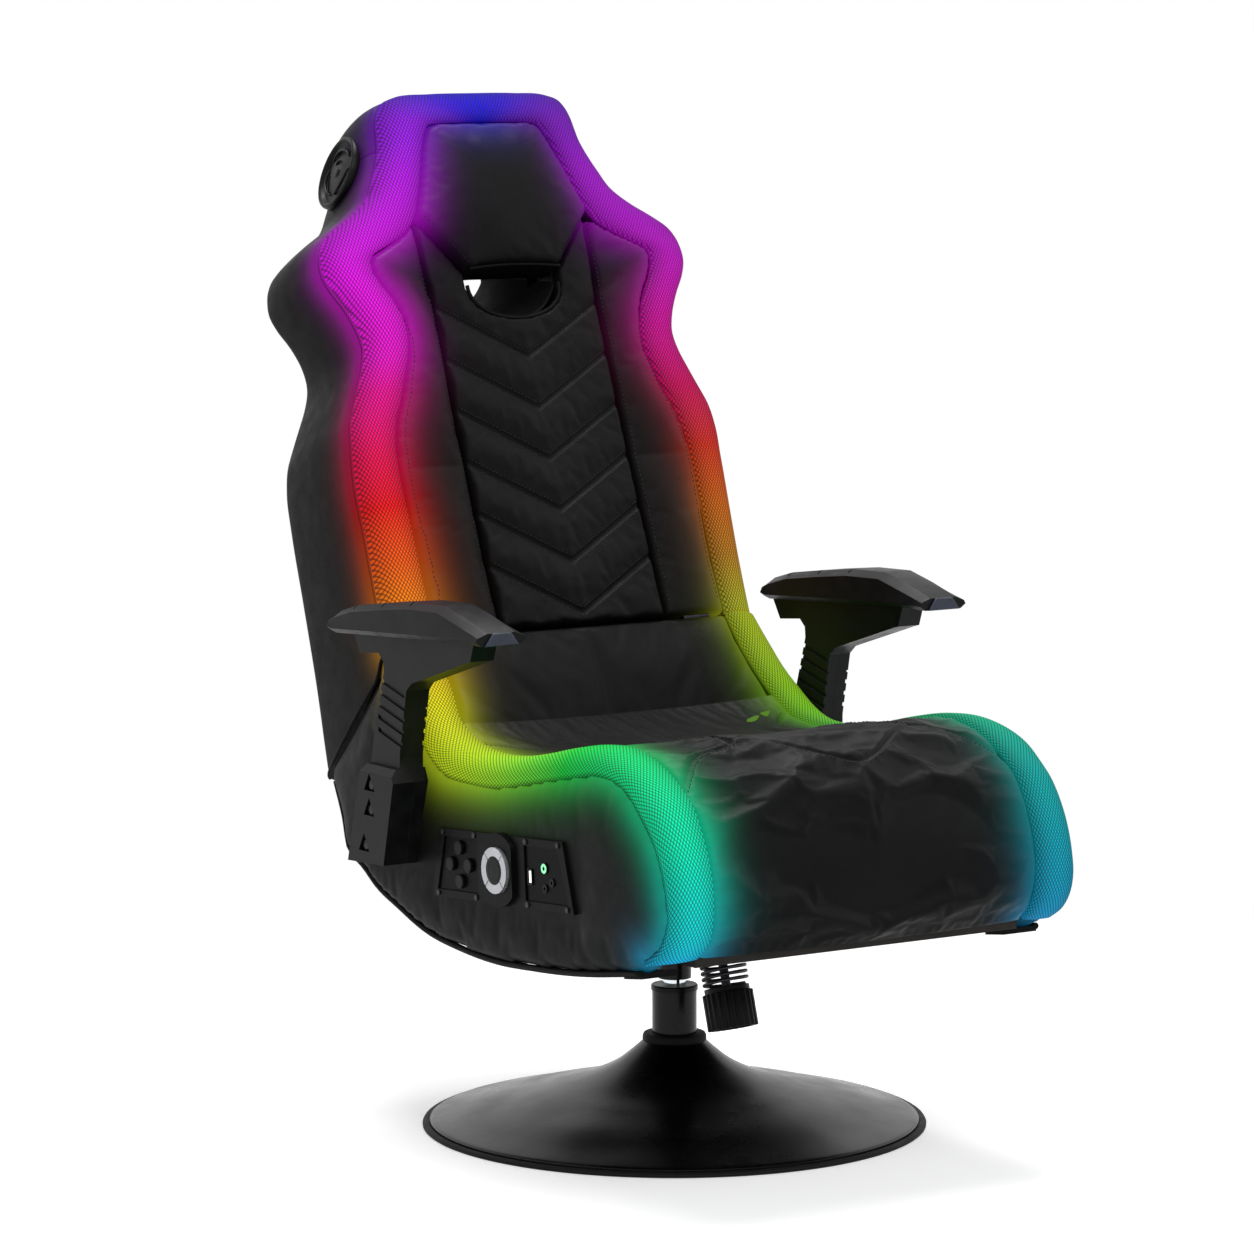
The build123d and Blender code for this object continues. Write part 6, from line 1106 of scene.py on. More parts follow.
def chevron_panel():
    gap_side = 0.0008
    low = FOLD_SEAM + 0.0006
    ups = np.linspace(low, HEAD_SEAM - 0.002, 60)
    right = [(-panel_half(u) + gap_side, u) for u in ups]
    left = [(panel_half(u) - gap_side, u) for u in ups]
    slot = slot_outline()
    diagonal = [(-PANEL_TOP_HALF + 0.003, HEAD_SEAM), (-SLOT_HALF - 0.001, SLOT_TOP)]
    outline = left + [(-x, u) for x, u in diagonal] + [tuple(p) for p in slot[1:-1]] + diagonal[::-1] + right[::-1]
    outline = [p for p in outline]

    def legs(tip):
        reach = PANEL_HALF + 0.01
        rise = CHEVRON_RISE * reach / PANEL_HALF
        return [(-reach, tip + rise), (0.0, tip), (reach, tip + rise)]

    seams = [legs(tip) for tip in CHEVRON_TIPS]

    def height(flat, gap):
        base = panel_out(flat[:, 1])
        near = np.full(len(flat), 1.0)
        for seam in seams:
            near = np.minimum(near, to_line(flat, seam))
        puffed = 0.0030 * np.sqrt(np.clip(near / 0.020, 0, 1)) - 0.0034 * np.exp(-((near / 0.0026) ** 2))
        corner = 0.0016 * np.clip(1 - np.abs(flat[:, 0]) / 0.1, 0, 1)
        return base + puffed * np.clip(gap / 0.004, 0.25, 1) + corner - rounded_drop(gap, 0.006)

    def place(flat, gap):
        return on_back(flat[:, 0], flat[:, 1], height(flat, gap))

    obj, flat, gap, rim = pad_sheet("chevron_panel_pad", outline, place, 0.0030, VINYL)
    near = np.full(len(flat), 1.0)
    for seam in seams:
        near = np.minimum(near, to_line(flat, seam))
    puff(obj, (gap < 0.0028) | (near < 0.0026), 2.6, 0.004, grow=0.012, frames=14)
    low_points = on_back(flat[:, 0], flat[:, 1], BOARD_OUT)
    slot_rim = inside_of(flat, slot)[0] > -0.002
    low_points[slot_rim] += (on_back(0, 0, 0) - on_back(0, 0, 0))
    close_sheet(obj, rim, low_points)
    soften(obj)
    add_glow(obj)
    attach(obj, "back")
    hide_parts("chevron_panel")
    lines = []
    for tip in CHEVRON_TIPS:
        for offset in (-0.0030, 0.0030):
            for side in (-1, 1):
                line = []
                for x in np.linspace(0.002, PANEL_HALF - 0.004, 24):
                    line.append(on_back(side * x, tip + CHEVRON_RISE * x / PANEL_HALF + offset, 0.006)[()])
                spots = np.array([(side * x, tip + CHEVRON_RISE * x / PANEL_HALF + offset) for x in np.linspace(0.002, PANEL_HALF - 0.004, 24)])
                inside = inside_of(spots, outline)[0] > 0.003
                if inside.sum() > 3:
                    lines.append(np.array(line)[inside])
    stitches("chevron_stitches", obj, lines, THREAD, "back")
    return obj


def side_stitch(points, offset):
    """A path moved sideways within the back's plane: points are (x, up)."""
    points = np.array(points, float)
    way = np.gradient(points, axis=0)
    way /= np.linalg.norm(way, axis=1)[:, None]
    return points + np.stack([-way[:, 1], way[:, 0]], axis=1) * offset


def bolster(side):
    name = "bolster_right" if side < 0 else "bolster_left"
    low, high = FOLD_SEAM + 0.0006, HEAD_SEAM - 0.004
    ups = np.linspace(low, high, 110)
    rows = BACK_ROW(ups)
    inner = rows[:, 1] - 0.0006
    near = panel_half(ups) + 0.0006
    keep = inner > near + 0.0015
    outline = [(side * n, u) for n, u in zip(near[keep], ups[keep])] + [(side * i, u) for i, u in zip(inner[keep][::-1], ups[keep][::-1])]

    def place(flat, gap):
        up = flat[:, 1]
        row = BACK_ROW(up)
        near_x, far_x = panel_half(up), row[:, 1]
        share = np.clip((np.abs(flat[:, 0]) - near_x) / np.maximum(far_x - near_x, 1e-4), 0, 1)
        out = panel_out(up) * (1 - share) + row[:, 3] * share
        wide = far_x - near_x
        out = out + np.minimum(0.0065, wide * 0.12) * np.sin(math.pi * share) ** 0.8
        return on_back(flat[:, 0], up, out - rounded_drop(gap, 0.0055))

    obj, flat, gap, rim = pad_sheet(name, outline, place, 0.0038, VINYL)
    puff(obj, gap < 0.0032, 2.2, 0.0035, grow=0.006, frames=12)
    close_sheet(obj, rim, on_back(flat[:, 0], flat[:, 1], BOARD_OUT))
    soften(obj)
    add_glow(obj)
    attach(obj, "back")
    seam = side_stitch([(side * n, u) for n, u in zip(near[keep], ups[keep])], side * -0.0042)
    edge = side_stitch([(side * i, u) for i, u in zip(inner[keep], ups[keep])], side * 0.0045)
    lines = [on_back(seam[4:, 0], seam[4:, 1], 0.006), on_back(edge[4:-10, 0], edge[4:-10, 1], 0.012)]
    stitches(name + "_stitches", obj, lines, THREAD, "back", pitch=0.0052)
    return obj


PAD_ARCH = 0.0035


def head_pad():
    low = SLOT_TOP + 0.0006
    ups = np.linspace(HEAD_SEAM + 0.001, 0.555, 40)
    inner = BACK_ROW(ups)[:, 1] - 0.0006
    crown = RIGHT_EDGES[SIDE_STATIONS:, :2]
    side = [(i, u) for i, u in zip(inner, ups)]
    top = [(-x - 0.0005, u - 0.0006) for x, u in crown if x < -1e-4]
    right = [(SLOT_HALF - 0.001, low), (PANEL_TOP_HALF - 0.001, HEAD_SEAM)] + side + top
    arch = [(x, low + PAD_ARCH * (1 - (x / SLOT_HALF) ** 2)) for x in np.linspace(-0.053, 0.053, 13)]
    outline = right + [(-x, u) for x, u in right[::-1]] + arch
    edge = 0.085 * BACK_DEPTH
    high = 0.5798

    def place(flat, gap):
        share = (flat[:, 1] - low) / (high - low)
        swell = 0.0105 * np.sin(math.pi * np.clip(share * 0.82 + 0.16, 0, 1))
        half = np.interp(flat[:, 1], [low, HEAD_SEAM, 0.52, high], [0.060, 0.114, 0.095, 0.062])
        across = np.clip(1 - (flat[:, 0] / half) ** 2, 0, 1)
        out = edge + 0.001 + swell * np.sqrt(across)
        return on_back(flat[:, 0], flat[:, 1], out - rounded_drop(gap, 0.007))

    obj, flat, gap, rim = pad_sheet("head_pad_cushion", outline, place, 0.0036, VINYL)
    puff(obj, gap < 0.003, 2.4, 0.005, grow=0.008, frames=14)
    close_sheet(obj, rim, on_back(flat[:, 0], flat[:, 1], BOARD_OUT))
    soften(obj)
    add_glow(obj)
    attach(obj, "back")
    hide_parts("head_pad")
    diagonal = smooth_path([(SLOT_HALF + 0.002, low + 0.005), (PANEL_TOP_HALF - 0.006, HEAD_SEAM - 0.001)], 20)
    lines = []
    for side in (-1, 1):
        lines.append(on_back(side * (diagonal[:, 0] - 0.004), diagonal[:, 1] + 0.002, edge))
    stitches("head_pad_stitches", obj, lines, THREAD, "back", pitch=0.0052)
    return obj


chevron_panel()
BOLSTER_RIGHT, BOLSTER_LEFT = bolster(-1), bolster(1)
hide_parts("back_bolsters")
head_pad()


# ---------- back: sides, crown and rear ----------
def parting_up(out):
    """How low the back unit reaches at a depth: level to the fold's knee, then down along the parting."""
    return np.interp(-out, [0.0, FOLD_KNEE, 0.0633, 0.228], [-0.0096, -0.0096, -0.0395, -0.1108])


def side_loops(stations, slant=True):
    """Sections of the padded side, from under the strip round the rear to its inner face."""
    loops = []
    ways = np.gradient(stations[:, 2:4], axis=0)
    ways /= np.linalg.norm(ways, axis=1)[:, None]
    for (ix, iu, ox, ou, out_outer, out_inner, depth), way in zip(stations, ways):
        normal = np.array([-way[1], way[0]])
        if normal @ np.array([ox - ix, ou - iu]) < 0:
            normal = -normal
        start, end = out_outer - EDGE - 0.0004, -depth + REAR_CHAMFER
        t = np.linspace(0, 1, 22)
        out = start + (end - start) * t
        belly = 0.0042 * np.sin(math.pi * t) ** 0.8 - 0.003 * np.exp(-((out - start) / 0.004) ** 2)
        x, up = ox + normal[0] * belly, ou + normal[1] * belly
        turn = np.linspace(0, math.pi / 2, 7)[1:]
        step = REAR_CHAMFER * (1 - np.cos(turn))
        cx, cu = ox - normal[0] * step, ou - normal[1] * step
        cout = end - REAR_CHAMFER * np.sin(turn)
        inset = np.array([ox - ix, ou - iu])
        rear_x = ix + inset[0] * np.array([0.5, 0.04])
        rear_u = iu + inset[1] * np.array([0.5, 0.04])
        face_x = np.array([ix + inset[0] * 0.02, ix + inset[0] * 0.02])
        face_u = np.array([iu + inset[1] * 0.02, iu + inset[1] * 0.02])
        face_out_ = np.array([-depth + 0.004, out_inner - THICK - 0.0004])
        all_x = np.concatenate([x, cx, rear_x, face_x])
        all_u = np.concatenate([up, cu, rear_u, face_u])
        all_out = np.concatenate([out, cout, [-depth, -depth], face_out_])
        if slant and ou < 0.20:
            share = (0.20 - ou) / (0.20 - FOLD_SEAM)
            all_u = all_u + (parting_up(all_out) - FOLD_SEAM) * share
        loops.append(on_back(all_x, all_u, all_out))
    return np.array(loops)


def end_roll(loops, at_start, roll=0.004):
    """Rounds a form's end by drawing its last section in."""
    first = loops[0] if at_start else loops[-1]
    other = loops[1] if at_start else loops[-2]
    centre = first.mean(0)
    outward = (first - other).mean(0)
    outward /= np.linalg.norm(outward)
    extra = []
    for turn in (0.35, 0.7, 1.0):
        a = turn * math.pi / 2
        pull = roll * (1 - math.cos(a))
        size = np.maximum(np.linalg.norm(first - centre, axis=1), 1e-6)[:, None]
        extra.append(first - (first - centre) / size * pull - outward * roll * (1 - math.sin(a)))
    return extra


def back_side(side, stations):
    name = "back_side_pad_right" if side < 0 else "back_side_pad_left"
    loops = side_loops(stations[: SIDE_STATIONS])
    loops = list(loops)
    start = end_roll(loops, True)
    loops = start[::-1] + loops[1:]
    obj = loft(name, loops, VINYL)
    soften(obj)
    add_glow(obj, side)
    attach(obj, "back")
    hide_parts("back_side_right" if side < 0 else "back_side_left")
    foot = np.array(start[0])[:25]
    trim_path, _ = resample(foot, 90)
    tube(name + "_piping", trim_path, 0.0022, TRIM, "back", sides=8)
    return obj


def crown_pad():
    whole = np.vstack([RIGHT_EDGES[SIDE_STATIONS - 1:], LEFT_EDGES[SIDE_STATIONS - 1: -1][::-1]])
    loops = side_loops(whole, slant=False)
    obj = loft("head_crown_pad", loops, VINYL)
    soften(obj)
    add_glow(obj)
    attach(obj, "back")
    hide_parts("head_crown_block")
    return obj


def rear_panel():
    """The back's rear skin, drawn over its board, with the slot's mouth."""
    low = -BACK_TAIL + 0.006
    ups = np.linspace(low, STRIP_TOP - 0.001, 110)
    inner = BACK_ROW(ups)[:, 1] + 0.010
    depth = BACK_ROW(ups)[:, 4]
    outline = [(i, u) for i, u in zip(inner, ups)] + [(-i, u) for i, u in zip(inner[::-1], ups[::-1])]
    rear_up = SLOT_TOP - 0.0006 + (0.140 * LEAN_SIN / LEAN_COS)
    hole = slot_outline() + np.array([0, rear_up - SLOT_TOP - 0.010])

    def place(flat, gap):
        row = BACK_ROW(flat[:, 1])
        bulge = 0.004 * np.sqrt(np.clip(gap / 0.08, 0, 1))
        return on_back(flat[:, 0], flat[:, 1], -row[:, 4] - bulge + rounded_drop(gap, 0.005))

    obj, flat, gap, rim = pad_sheet("rear_skin", outline, place, 0.0065, VINYL_PLAIN, holes=[hole])
    obj.data.flip_normals()
    row = BACK_ROW(flat[:, 1])
    close_sheet(obj, rim, on_back(flat[:, 0], flat[:, 1], -row[:, 4] + 0.008))
    soften(obj)
    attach(obj, "back")
    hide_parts("rear_cover")
    ring = np.vstack([hole, hole[:1]])
    loop, _ = resample(ring, 90)
    tube("rear_slot_piping", on_back(loop[:-1, 0], loop[:-1, 1], -BACK_ROW(loop[:-1, 1])[:, 4] - 0.002), 0.0024, TRIM, "back", closed=True)
    return obj


def head_slope():
    """The skin from the rear panel's top edge up to the crown's rear, which is less deep."""
    whole = np.vstack([RIGHT_EDGES[SIDE_STATIONS - 1:], LEFT_EDGES[SIDE_STATIONS - 1: -1][::-1]])
    row = BACK_ROW(STRIP_TOP)[0]
    half, deep = row[1] + 0.006, row[4]
    share = np.linspace(-1, 1, len(whole))
    t = np.linspace(0, 1, 12)
    loops = []
    for s, (ix, iu, ox, ou, _, _, depth) in zip(share, whole):
        low = np.array([s * half, STRIP_TOP - 0.006, -deep - 0.001])
        high = np.array([ix + (ox - ix) * 0.35, iu + (ou - iu) * 0.35, -depth - 0.0006])
        line = low + (high - low) * t[:, None]
        rise = 0.12 * np.linalg.norm(high - low) * np.sin(math.pi * t)
        line = line + rise[:, None] * np.array([0, 0.6, -0.8])
        under = line[::-1] + np.array([0, -0.006, 0.008])
        points = np.vstack([line, under])
        loops.append(on_back(points[:, 0], points[:, 1], points[:, 2]))
    obj = loft("head_slope_skin", loops, VINYL_PLAIN)
    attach(obj, "back")
    return obj


def back_floor():
    """The panel that closes the back's foot along the parting."""
    half = BACK_ROW(-BACK_TAIL * 0.5)[0][1] - 0.0010
    outs = np.linspace(-0.066, -0.222, 14)
    loops = []
    for out in outs:
        up = float(parting_up(out)) + 0.0015
        x = np.linspace(-half, half, 16)
        top, under = np.full(16, up + 0.0075), np.full(16, up) - 0.0012 * (1 - (x / half) ** 2)
        loops.append(on_back(np.concatenate([x, x[::-1]]), np.concatenate([under, top]), out))
    obj = loft("back_floor_panel", loops, VINYL_PLAIN)
    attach(obj, "back")
    return obj


back_side(-1, RIGHT_EDGES)
back_side(1, LEFT_EDGES)
crown_pad()
rear_panel()
head_slope()
back_floor()


def slot_piping():
    line = slot_outline()[1:-1]
    path = smooth_path(line, 70)
    path = path + np.array([0, -0.0012])
    spots = on_back(path[:, 0], path[:, 1], panel_out(path[:, 1]) + 0.0005)
    tube("slot_piping", spots, 0.0023, TRIM, "back")
    x = np.linspace(-SLOT_HALF, SLOT_HALF, 30)
    arch = SLOT_TOP + 0.0003 + PAD_ARCH * (1 - (x / SLOT_HALF) ** 2)
    tube("slot_top_piping", on_back(x, arch, 0.0172), 0.0020, TRIM, "back")


slot_piping()


# ---------- seat ----------
CUSHION_RUNS = np.array(CUSHION_SHARES)
CUSHION_AT = through(np.column_stack([np.arange(len(CUSHION_RUNS)), CUSHION_RUNS]))
FALL_AT = through(CUSHION_FALL)


def cushion_point(x, run):
    """A point of the seat cushion's top: across, then along its rows from the lumbar cushion to under the front."""
    row = CUSHION_AT(run)
    fall = FALL_AT(np.abs(x) / SEAT_INNER)[:, 0]
    along = row[:, 0] + (row[:, 2] - row[:, 0]) * fall
    down = row[:, 1] + (row[:, 3] - row[:, 1]) * fall
    return np.stack([x, BACK_FOOT[0] - along * SEAT_RUN, BACK_FOOT[1] - down * SEAT_DROP], axis=1)


def run_at(x, y):
    """Where along its rows the cushion's top is at a distance forward."""
    runs = np.linspace(0, 10.5, 400)
    points = cushion_point(np.full(len(runs), float(x)), runs)
    return float(np.interp(-y, -points[:, 1][::1], runs)) if points[0, 1] > points[-1, 1] else 0.0


FRONT_SEAM = [
    (-0.204, -0.322), (-0.154, -0.284), (-0.117, -0.282), (-0.086, -0.275), (-0.062, -0.302), (-0.028, -0.325),
    (0.005, -0.338), (0.034, -0.329), (0.060, -0.312), (0.092, -0.284), (0.119, -0.268), (0.154, -0.284), (0.204, -0.322),
]
REAR_SEAMS = [
    [(-0.117, -0.282), (-0.103, -0.239), (-0.086, -0.190)],
    [(0.117, -0.270), (0.103, -0.239), (0.086, -0.190)],
    [(-0.196, 0.070), (-0.168, 0.042), (-0.156, -0.020), (-0.150, -0.090), (-0.110, -0.150), (-0.086, -0.190)],
    [(0.196, 0.070), (0.168, 0.042), (0.156, -0.020), (0.150, -0.090), (0.110, -0.150), (0.086, -0.190)],
]


def seam_path(places, count=60):
    flat = smooth_path(places, count)
    return np.array([cushion_point(np.array([x]), np.array([run_at(x, y)]))[0] for x, y in flat])


def seat_cushion():
    cols, rows = 83, 150
    xs = np.linspace(-SEAT_INNER + 0.0006, SEAT_INNER - 0.0006, cols)
    runs = np.linspace(0, len(CUSHION_RUNS) - 1, 500)
    middle = cushion_point(np.full(500, 0.1), runs)
    length = np.concatenate([[0], np.cumsum(np.linalg.norm(np.diff(middle, axis=0), axis=1))])
    even = np.interp(np.linspace(0, length[-1], rows), length, runs)
    grid = np.array([cushion_point(xs, np.full(cols, run)) for run in even])
    obj = make_mesh("seat_cushion_pad", grid, grid_faces(rows, cols), VINYL)
    seams = [seam_path(line) for line in [FRONT_SEAM] + REAR_SEAMS]
    co = places_of(obj)
    near = np.full(len(co), 1.0)
    for seam in seams:
        near = np.minimum(near, to_line(co, seam))
    ring = np.zeros((rows, cols), bool)
    ring[0], ring[-1], ring[:, 0], ring[:, -1] = True, True, True, True
    puff(obj, ring.ravel() | (near < 0.0034), 3.2, 0.010, grow=0.010, frames=20)
    co = places_of(obj)
    edge = np.minimum(np.arange(cols), np.arange(cols)[::-1]) * (xs[1] - xs[0])
    fine = obj.data
    bm = bmesh.new()
    bm.from_mesh(fine)
    bmesh.ops.subdivide_edges(bm, edges=bm.edges, cuts=1, use_grid_fill=True, smooth=0.6)
    bm.to_mesh(fine)
    bm.free()
    fine.shade_smooth()
    fine.update()
    co, normal = places_of(obj), normals_of(obj)
    if normal[np.argmax(co[:, 2])][2] < 0:
        fine.flip_normals()
        normal = -normal
    near = np.full(len(co), 1.0)
    for seam in seams:
        near = np.minimum(near, to_line(co, seam))
    depth = 0.0042 * np.exp(-((near / 0.0034) ** 2)) - 0.0022 * smooth(near / 0.030) + 0.0022
    sides = SEAT_INNER - np.abs(co[:, 0])
    depth = depth + rounded_drop(sides, 0.006) * 0.75
    set_places(obj, co - normal * depth[:, None])
    rim_points = places_of(obj)
    bm = bmesh.new()
    bm.from_mesh(fine)
    edges = [e for e in bm.edges if len(e.link_faces) == 1]
    made = bmesh.ops.extrude_edge_only(bm, edges=edges)
    lowered = [g for g in made["geom"] if isinstance(g, bmesh.types.BMVert)]
    for v in lowered:
        if v.co.y < -0.33 or v.co.z < 0.33:
            v.co.y += 0.030
        else:
            v.co.z = max(min(v.co.z, SEAT_BOARD_TOP + 0.06), SEAT_BOARD_TOP + 0.002) if v.co.y > 0.08 else SEAT_BOARD_TOP + 0.002
    bmesh.ops.holes_fill(bm, edges=[e for e in bm.edges if len(e.link_faces) == 1], sides=0)
    bmesh.ops.recalc_face_normals(bm, faces=bm.faces)
    for f in bm.faces:
        f.smooth = True
    bm.to_mesh(fine)
    bm.free()
    add_glow(obj)
    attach(obj, "seat")
    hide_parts("seat_cushion")
    lines = []
    for line in [FRONT_SEAM] + REAR_SEAMS:
        flat = smooth_path(line, 80)
        way = np.gradient(flat, axis=0)
        way /= np.linalg.norm(way, axis=1)[:, None]
        beside = flat + np.stack([way[:, 1], -way[:, 0]], axis=1) * 0.0042
        lines.append(np.array([cushion_point(np.array([x]), np.array([run_at(x, y)]))[0] for x, y in beside]))
    stitches("seat_cushion_stitches", obj, lines, THREAD, "seat", pitch=0.0052)
    return obj


def lumbar_cushion():
    length = LUMBAR_SEAM + FOLD_SEAM
    table = through(LUMBAR_SHARES)
    cols, rows = 84, 34
    grid = []
    for down in np.linspace(0.004, 1.06, rows):
        middle, edge, half = table(min(down, 1.0))[0]
        extra = max(0.0, down - 1.0) * 0.1
        half = half * SEAT_HALF - 0.0006
        x = np.linspace(-half, half, cols)
        share = np.abs(x) / half
        fall = np.interp(share, [0, 0.72, 1.0], [0, 0.40, 1.0])
        fall = 0.5 * fall + 0.5 * share**2
        out = (middle + (edge - middle) * fall + extra) * length
        roll = rounded_drop(np.array([max(0.0, down) * length]), 0.006)[0]
        sides = rounded_drop(half - np.abs(x), 0.006)
        bulge = 0.004 * math.sin(math.pi * min(1.0, down)) * np.sqrt(np.clip(1 - share**2, 0, 1))
        grid.append(on_back(x, FOLD_SEAM - 0.0006 - down * length, out - roll - sides + bulge))
    grid = np.array(grid)
    obj = make_mesh("lumbar_cushion_pad", grid, grid_faces(rows, cols), VINYL)
    ring = np.zeros((rows, cols), bool)
    ring[:2], ring[-1], ring[:, 0], ring[:, -1] = True, True, True, True
    normal = normals_of(obj)
    if normal.mean(0)[1] > 0:
        obj.data.flip_normals()
    puff(obj, ring.ravel(), 2.2, 0.006, grow=0.008, frames=14)
    bm = bmesh.new()
    bm.from_mesh(obj.data)
    edges = [e for e in bm.edges if len(e.link_faces) == 1]
    made = bmesh.ops.extrude_edge_only(bm, edges=edges)
    for v in made["geom"]:
        if isinstance(v, bmesh.types.BMVert):
            out = -(v.co.y - BACK_FOOT[0]) * LEAN_COS + (v.co.z - BACK_FOOT[1]) * LEAN_SIN
            v.co.y += (out - BOARD_OUT) * LEAN_COS
            v.co.z -= (out - BOARD_OUT) * LEAN_SIN
    bmesh.ops.holes_fill(bm, edges=[e for e in bm.edges if len(e.link_faces) == 1], sides=0)
    bmesh.ops.recalc_face_normals(bm, faces=bm.faces)
    for f in bm.faces:
        f.smooth = True
    bm.to_mesh(obj.data)
    bm.free()
    soften(obj)
    add_glow(obj)
    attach(obj, "seat")
    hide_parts("lumbar_cushion")
    return obj


def seat_side():
    """The padded side panel, seen from its own side: y and z, with x as its height."""
    outer = SEAT_ROWS[:, 2:4]
    fold = fold_limit(outer[:, 0], outer[:, 1])
    top = outer[fold < -0.001][::3]
    foot = np.array([seat_yz(*share) for share in SEAT_FOOT_SHARES])
    foot = smooth_path(foot, 60)
    slope = math.radians(46.4)
    axis = (BACK_FOOT[0] + FOLD_SEAM * LEAN_SIN + FOLD_AXIS_DEPTH * LEAN_COS, BACK_FOOT[1] + FOLD_SEAM * LEAN_COS - FOLD_AXIS_DEPTH * LEAN_SIN)

    def parting(along, above):
        return (
            axis[0] + along * math.cos(slope) + (above - 0.007) * math.sin(slope),
            axis[1] - along * math.sin(slope) + (above - 0.007) * math.cos(slope),
        )

    knee = on_back(0, FOLD_SEAM - 0.0006, -FOLD_KNEE)[1:]
    corner = [parting(0.2185, -0.0075), parting(0.2120, -0.0012), parting(0.0605, -0.0012)]
    outline = np.vstack([top, foot, corner, [knee]])
    low, high = outline.min(0), outline.max(0)
    normal_up = np.array([math.sin(slope), math.cos(slope)])
    origin = np.array(parting(0, -0.005))

    def place(flat, gap):
        above = (flat - origin) @ normal_up
        taper = 0.059 * SEAT_HALF * np.clip((above + 0.09) / 0.09, 0, 1.2)
        bulge = 0.0048 * np.sqrt(np.clip(gap / 0.07, 0, 1)) + 0.0012
        roll = 0.004 + 0.005 * smooth(-above / 0.04)
        x = SEAT_HALF - taper + bulge - rounded_drop(gap, roll)
        return np.stack([-x, flat[:, 0], flat[:, 1]], axis=1)

    right, flat, gap, rim = pad_sheet("seat_side_pad_right", outline, place, 0.0055, VINYL)
    if normals_of(right).mean(0)[0] > 0:
        right.data.flip_normals()
    console = (np.abs(flat[:, 0] + 0.070) < 0.150) & (np.abs(flat[:, 1] - 0.314) < 0.045)
    arm = (np.abs(flat[:, 0] - 0.135) < 0.062) & (flat[:, 1] > 0.285) & (flat[:, 1] < 0.41)
    puff(right, (gap < 0.005) | console | arm, 1.6, 0.005, grow=0.004, frames=12)
    low_points = np.stack([np.full(len(flat), -SEAT_INNER - 0.0004), flat[:, 0], flat[:, 1]], axis=1)
    close_sheet(right, rim, low_points)
    soften(right)
    left = mirror_of(right, "seat_side_pad_left")
    for obj, node, side in ((right, "seat_side_right", -1), (left, "seat_side_left", 1)):
        add_glow(obj, side)
        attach(obj, "seat")
        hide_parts(node)
    edge = np.vstack([foot])
    spots = np.array([(-SEAT_HALF + 0.0045, y, z - 0.0005) for y, z in edge])
    above = (edge - origin) @ normal_up
    spots[:, 0] += 0.059 * SEAT_HALF * np.clip((above + 0.09) / 0.09, 0, 1.2)
    for side, name in ((1, "seat_side_piping_right"), (-1, "seat_side_piping_left")):
        path = spots * np.array([side, 1, 1])
        tube(name, path, 0.0036, TRIM, "seat")
    seam = np.array([parting(a, -0.0022) for a in np.linspace(0.066, 0.211, 30)])
    for side, name in ((1, "seat_parting_piping_right"), (-1, "seat_parting_piping_left")):
        path = np.array([(side * (-SEAT_HALF + 0.059 * SEAT_HALF + 0.004), y, z) for y, z in seam])
        tube(name, path, 0.0022, TRIM, "seat")
    return right, left


seat_cushion()
lumbar_cushion()
seat_side()


# ---------- hard pieces ----------
def dressed(node, width=0.0012, segments=2, angle=28, material=None, name=None):
    """A copy of a CAD node's shape with welded faces and rounded edges, which stands for it."""
    source = frame["nodes"][node]
    mesh = source.data.copy()
    mesh.name = name or node + "_rounded"
    bm = bmesh.new()
    bm.from_mesh(mesh)
    bmesh.ops.remove_doubles(bm, verts=bm.verts, dist=0.00002)
    bmesh.ops.dissolve_limit(bm, angle_limit=math.radians(1.2), verts=bm.verts, edges=bm.edges)
    for f in bm.faces:
        f.smooth = True
    bm.to_mesh(mesh)
    bm.free()
    if mesh.attributes.get("custom_normal"):
        mesh.attributes.remove(mesh.attributes["custom_normal"])
    obj = bpy.data.objects.new(name or node + "_rounded", mesh)
    SCENE.collection.objects.link(obj)
    bevel = obj.modifiers.new("edges", "BEVEL")
    bevel.width = width
    bevel.segments = segments
    bevel.limit_method = "ANGLE"
    bevel.angle_limit = math.radians(angle)
    bevel.harden_normals = False
    mesh.set_sharp_from_angle(angle=math.radians(angle + 10))
    for slot in obj.material_slots:
        slot.material = material or source.material_slots[0].material
    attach(obj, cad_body(node))
    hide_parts(node)
    return obj


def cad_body(node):
    return next(body for body, members in frame["record"]["behaviour"]["bodies"].items() if node in members)


for node, width in (
    ("arm_outer_shell_right", 0.0022), ("arm_outer_shell_left", 0.0022), ("arm_inner_shell_right", 0.0022),
    ("arm_inner_shell_left", 0.0022), ("arm_badges", 0.0009), ("console_housing", 0.0022),
    ("console_face_plates", 0.0005), ("control_ring", 0.0006), ("centre_button", 0.0008),
    ("mode_button_front", 0.0008), ("mode_button_upper", 0.0008), ("mode_button_rear", 0.0008),
    ("mode_button_lower", 0.0008), ("tension_knob", 0.0007), ("mechanism_housing", 0.001), ("seat_plate", 0.001),
):
    shell = node.startswith("arm_") and "badge" not in node
    made = dressed(node, width, material=ARM_BLACK if shell else HOUSING if node == "console_housing" else None)
    if node.startswith("arm_outer"):
        # The pockets' floor faces get the darker material: painted shade in the recesses
        made.data.materials.append(RECESS_SHADE)
        deep = SEAT_HALF + ARM_BOX_WIDTH - ARM_POCKET
        for face in made.data.polygons:
            if abs(abs(face.center.x) - deep) < 0.0004 and abs(face.normal.x) > 0.9:
                face.material_index = len(made.data.materials) - 1


def arm_pads():
    for side in ("right", "left"):
        pad = dressed("arm_pad_" + side, 0.0019, 3, 24, PAD_BLACK)


arm_pads()


